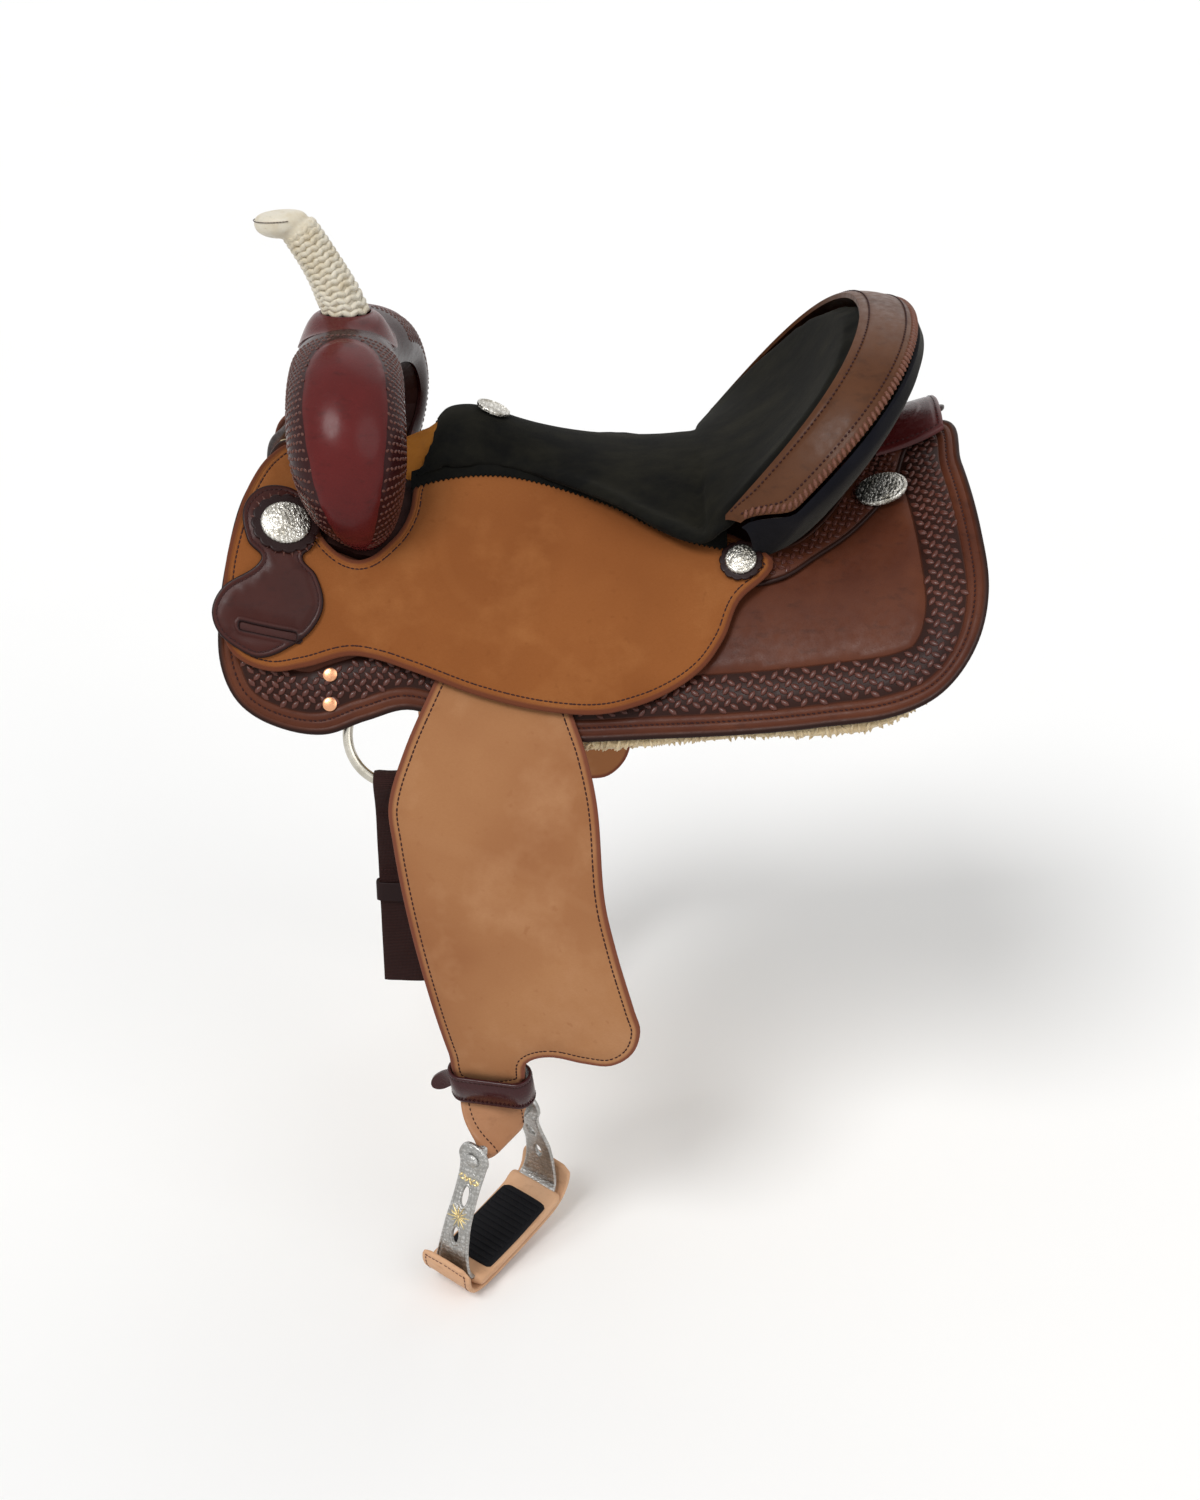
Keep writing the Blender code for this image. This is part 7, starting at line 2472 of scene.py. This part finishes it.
    def _tread(self, place: Matrix) -> None:
        """Leather wrapped under the foot and turned up at both sides."""
        word, body = self.side.word, self.side.stirrup_body
        points, travelled = self._line(self.tread)
        total = travelled[-1]
        outline = []
        for sign in (1, -1):
            line = [(0.0, 0.0235), (0.006, 0.028)] + [(s * total, 0.028) for s in (0.12, 0.25, 0.38, 0.5, 0.62, 0.75, 0.88)]
            line += [(total - 0.006, 0.028), (total, 0.0235)]
            outline += [(s, sign * h) for s, h in (line if sign > 0 else reversed(line))]
        cut = Cut(tuple(outline), Section(self.thick, 0.0016, ((0.0050, 0.0008, 0.0004),)), spacing=0.004, cell=0.008)
        lay = self._lay(points, travelled, place)
        tread = place_piece("tread_" + word, cut.mesh("tread", lay), self.finishes.pale)
        keep(tread, body, "harness", "tread_leather_" + word)
        stitches = stitch_line("tread_stitching_" + word, cut, lay, 0.0050, 0.0046, self.finishes.lace)
        keep(stitches, body, "harness")
        self._wrap(place)

    def _wrap(self, place: Matrix) -> None:
        """Leather wrapped round the stirrup's bottom, under the pad."""
        word, body = self.side.word, self.side.stirrup_body
        points, travelled = self._line(self.leg)
        total = travelled[-1]
        reach, half = 0.0660, 0.0290
        outline = []
        for sign in (1, -1):
            line = [(total / 2 + reach * part, half) for part in (-0.97, -0.75, -0.5, -0.25, 0, 0.25, 0.5, 0.75, 0.97)]
            line = [(total / 2 - reach, half * 0.80), *line, (total / 2 + reach, half * 0.80)]
            outline += [(s, sign * h) for s, h in (line if sign > 0 else reversed(line))]
        cut = Cut(tuple(outline), Section(0.0100, 0.0024), spacing=0.004, cell=0.008)
        bare = self._lay(points, travelled, place)
        mesh = cut.mesh("sole", lambda s, d, h: bare(s, d, h - 0.0026))
        keep(place_piece("sole_" + word, mesh, self.finishes.pale), body, "harness")


class Studio:
    """Pale floor, soft light and the camera."""

    def __init__(self, low: float) -> None:
        """Notes how low the saddle reaches."""
        self.low = low

    def make(self) -> None:
        """Builds the studio."""
        self._floor()
        self._world()
        for name, power, wide, turn in (("key_light", 1.70, 24, (40, 0, -34)), ("fill_light", 0.60, 40, (54, 0, 46)),
                                        ("back_light", 0.45, 50, (46, 0, 160))):
            lamp = bpy.data.lights.new(name, "SUN")
            lamp.energy, lamp.angle = power, radians(wide)
            item = bpy.data.objects.new(name, lamp)
            item.rotation_euler = [radians(a) for a in turn]
            bpy.context.scene.collection.objects.link(item)
        lens = bpy.data.cameras.new("camera")
        lens.sensor_fit, lens.sensor_width, lens.lens = "HORIZONTAL", 36.0, 61.8
        lens.clip_end = 200.0
        camera = bpy.data.objects.new("camera", lens)
        camera.location, camera.rotation_euler = (0, -1.8425, 0.6187), (radians(64), 0, 0)
        bpy.context.scene.collection.objects.link(camera)
        bpy.context.scene.camera = camera
        bpy.context.scene.view_settings.view_transform = "Standard"

    def _floor(self) -> None:
        """Wide pale floor under the saddle."""
        mesh = bpy.data.meshes.new("floor")
        reach, level = 40.0, self.low - 0.004
        mesh.from_pydata([(x, y, level) for x, y in ((-reach, -reach), (reach, -reach), (reach, reach), (-reach, reach))], [], [(0, 1, 2, 3)])
        graph = Graph("floor_paint")
        tone = graph.mix(graph.range(graph.noise(1.5, 3), 0.4, 0.7, 0, 0.3), (0.93, 0.93, 0.925), (0.90, 0.90, 0.895))
        floor = place_piece("floor", mesh, graph.surface(Base_Color=tone, Roughness=0.9, Specular_IOR_Level=0.1))

    def _world(self) -> None:
        """Even sky for light, and white where the camera or a shiny surface sees past the floor."""
        world = bpy.data.worlds.new("studio")
        bpy.context.scene.world = world
        world.use_nodes = True
        tree = world.node_tree
        tree.nodes.clear()
        seen = tree.nodes.new("ShaderNodeLightPath")
        soft, white = tree.nodes.new("ShaderNodeBackground"), tree.nodes.new("ShaderNodeBackground")
        soft.inputs[0].default_value, soft.inputs[1].default_value = (1, 1, 1, 1), 0.46
        white.inputs[0].default_value, white.inputs[1].default_value = (1, 1, 1, 1), 1.0
        first, second = tree.nodes.new("ShaderNodeMath"), tree.nodes.new("ShaderNodeMath")
        first.operation = second.operation = "MAXIMUM"
        mix, out = tree.nodes.new("ShaderNodeMixShader"), tree.nodes.new("ShaderNodeOutputWorld")
        tree.links.new(seen.outputs["Is Camera Ray"], first.inputs[0])
        tree.links.new(seen.outputs["Is Glossy Ray"], first.inputs[1])
        tree.links.new(first.outputs[0], second.inputs[0])
        tree.links.new(seen.outputs["Is Transmission Ray"], second.inputs[1])
        tree.links.new(second.outputs[0], mix.inputs[0])
        tree.links.new(soft.outputs[0], mix.inputs[1])
        tree.links.new(white.outputs[0], mix.inputs[2])
        tree.links.new(mix.outputs[0], out.inputs[0])


def main() -> None:
    """Builds the saddle's looks and the studio."""
    logging.basicConfig(level=logging.INFO, format="%(name)s: %(message)s")
    finishes = Finishes()
    for side in Side:
        for maker in (Underlay, Jockeys, KeeperPlate, Silver, Fender, Rigging, StirrupLeather, Stirrup):
            maker(side, finishes).make()
    for maker in (Swell, Horn, Seat, Cantle):
        maker(finishes).make()
    REPEATER.clear()
    Studio(CAD_BOX[0][2]).make()


if __name__ == "__main__":
    main()
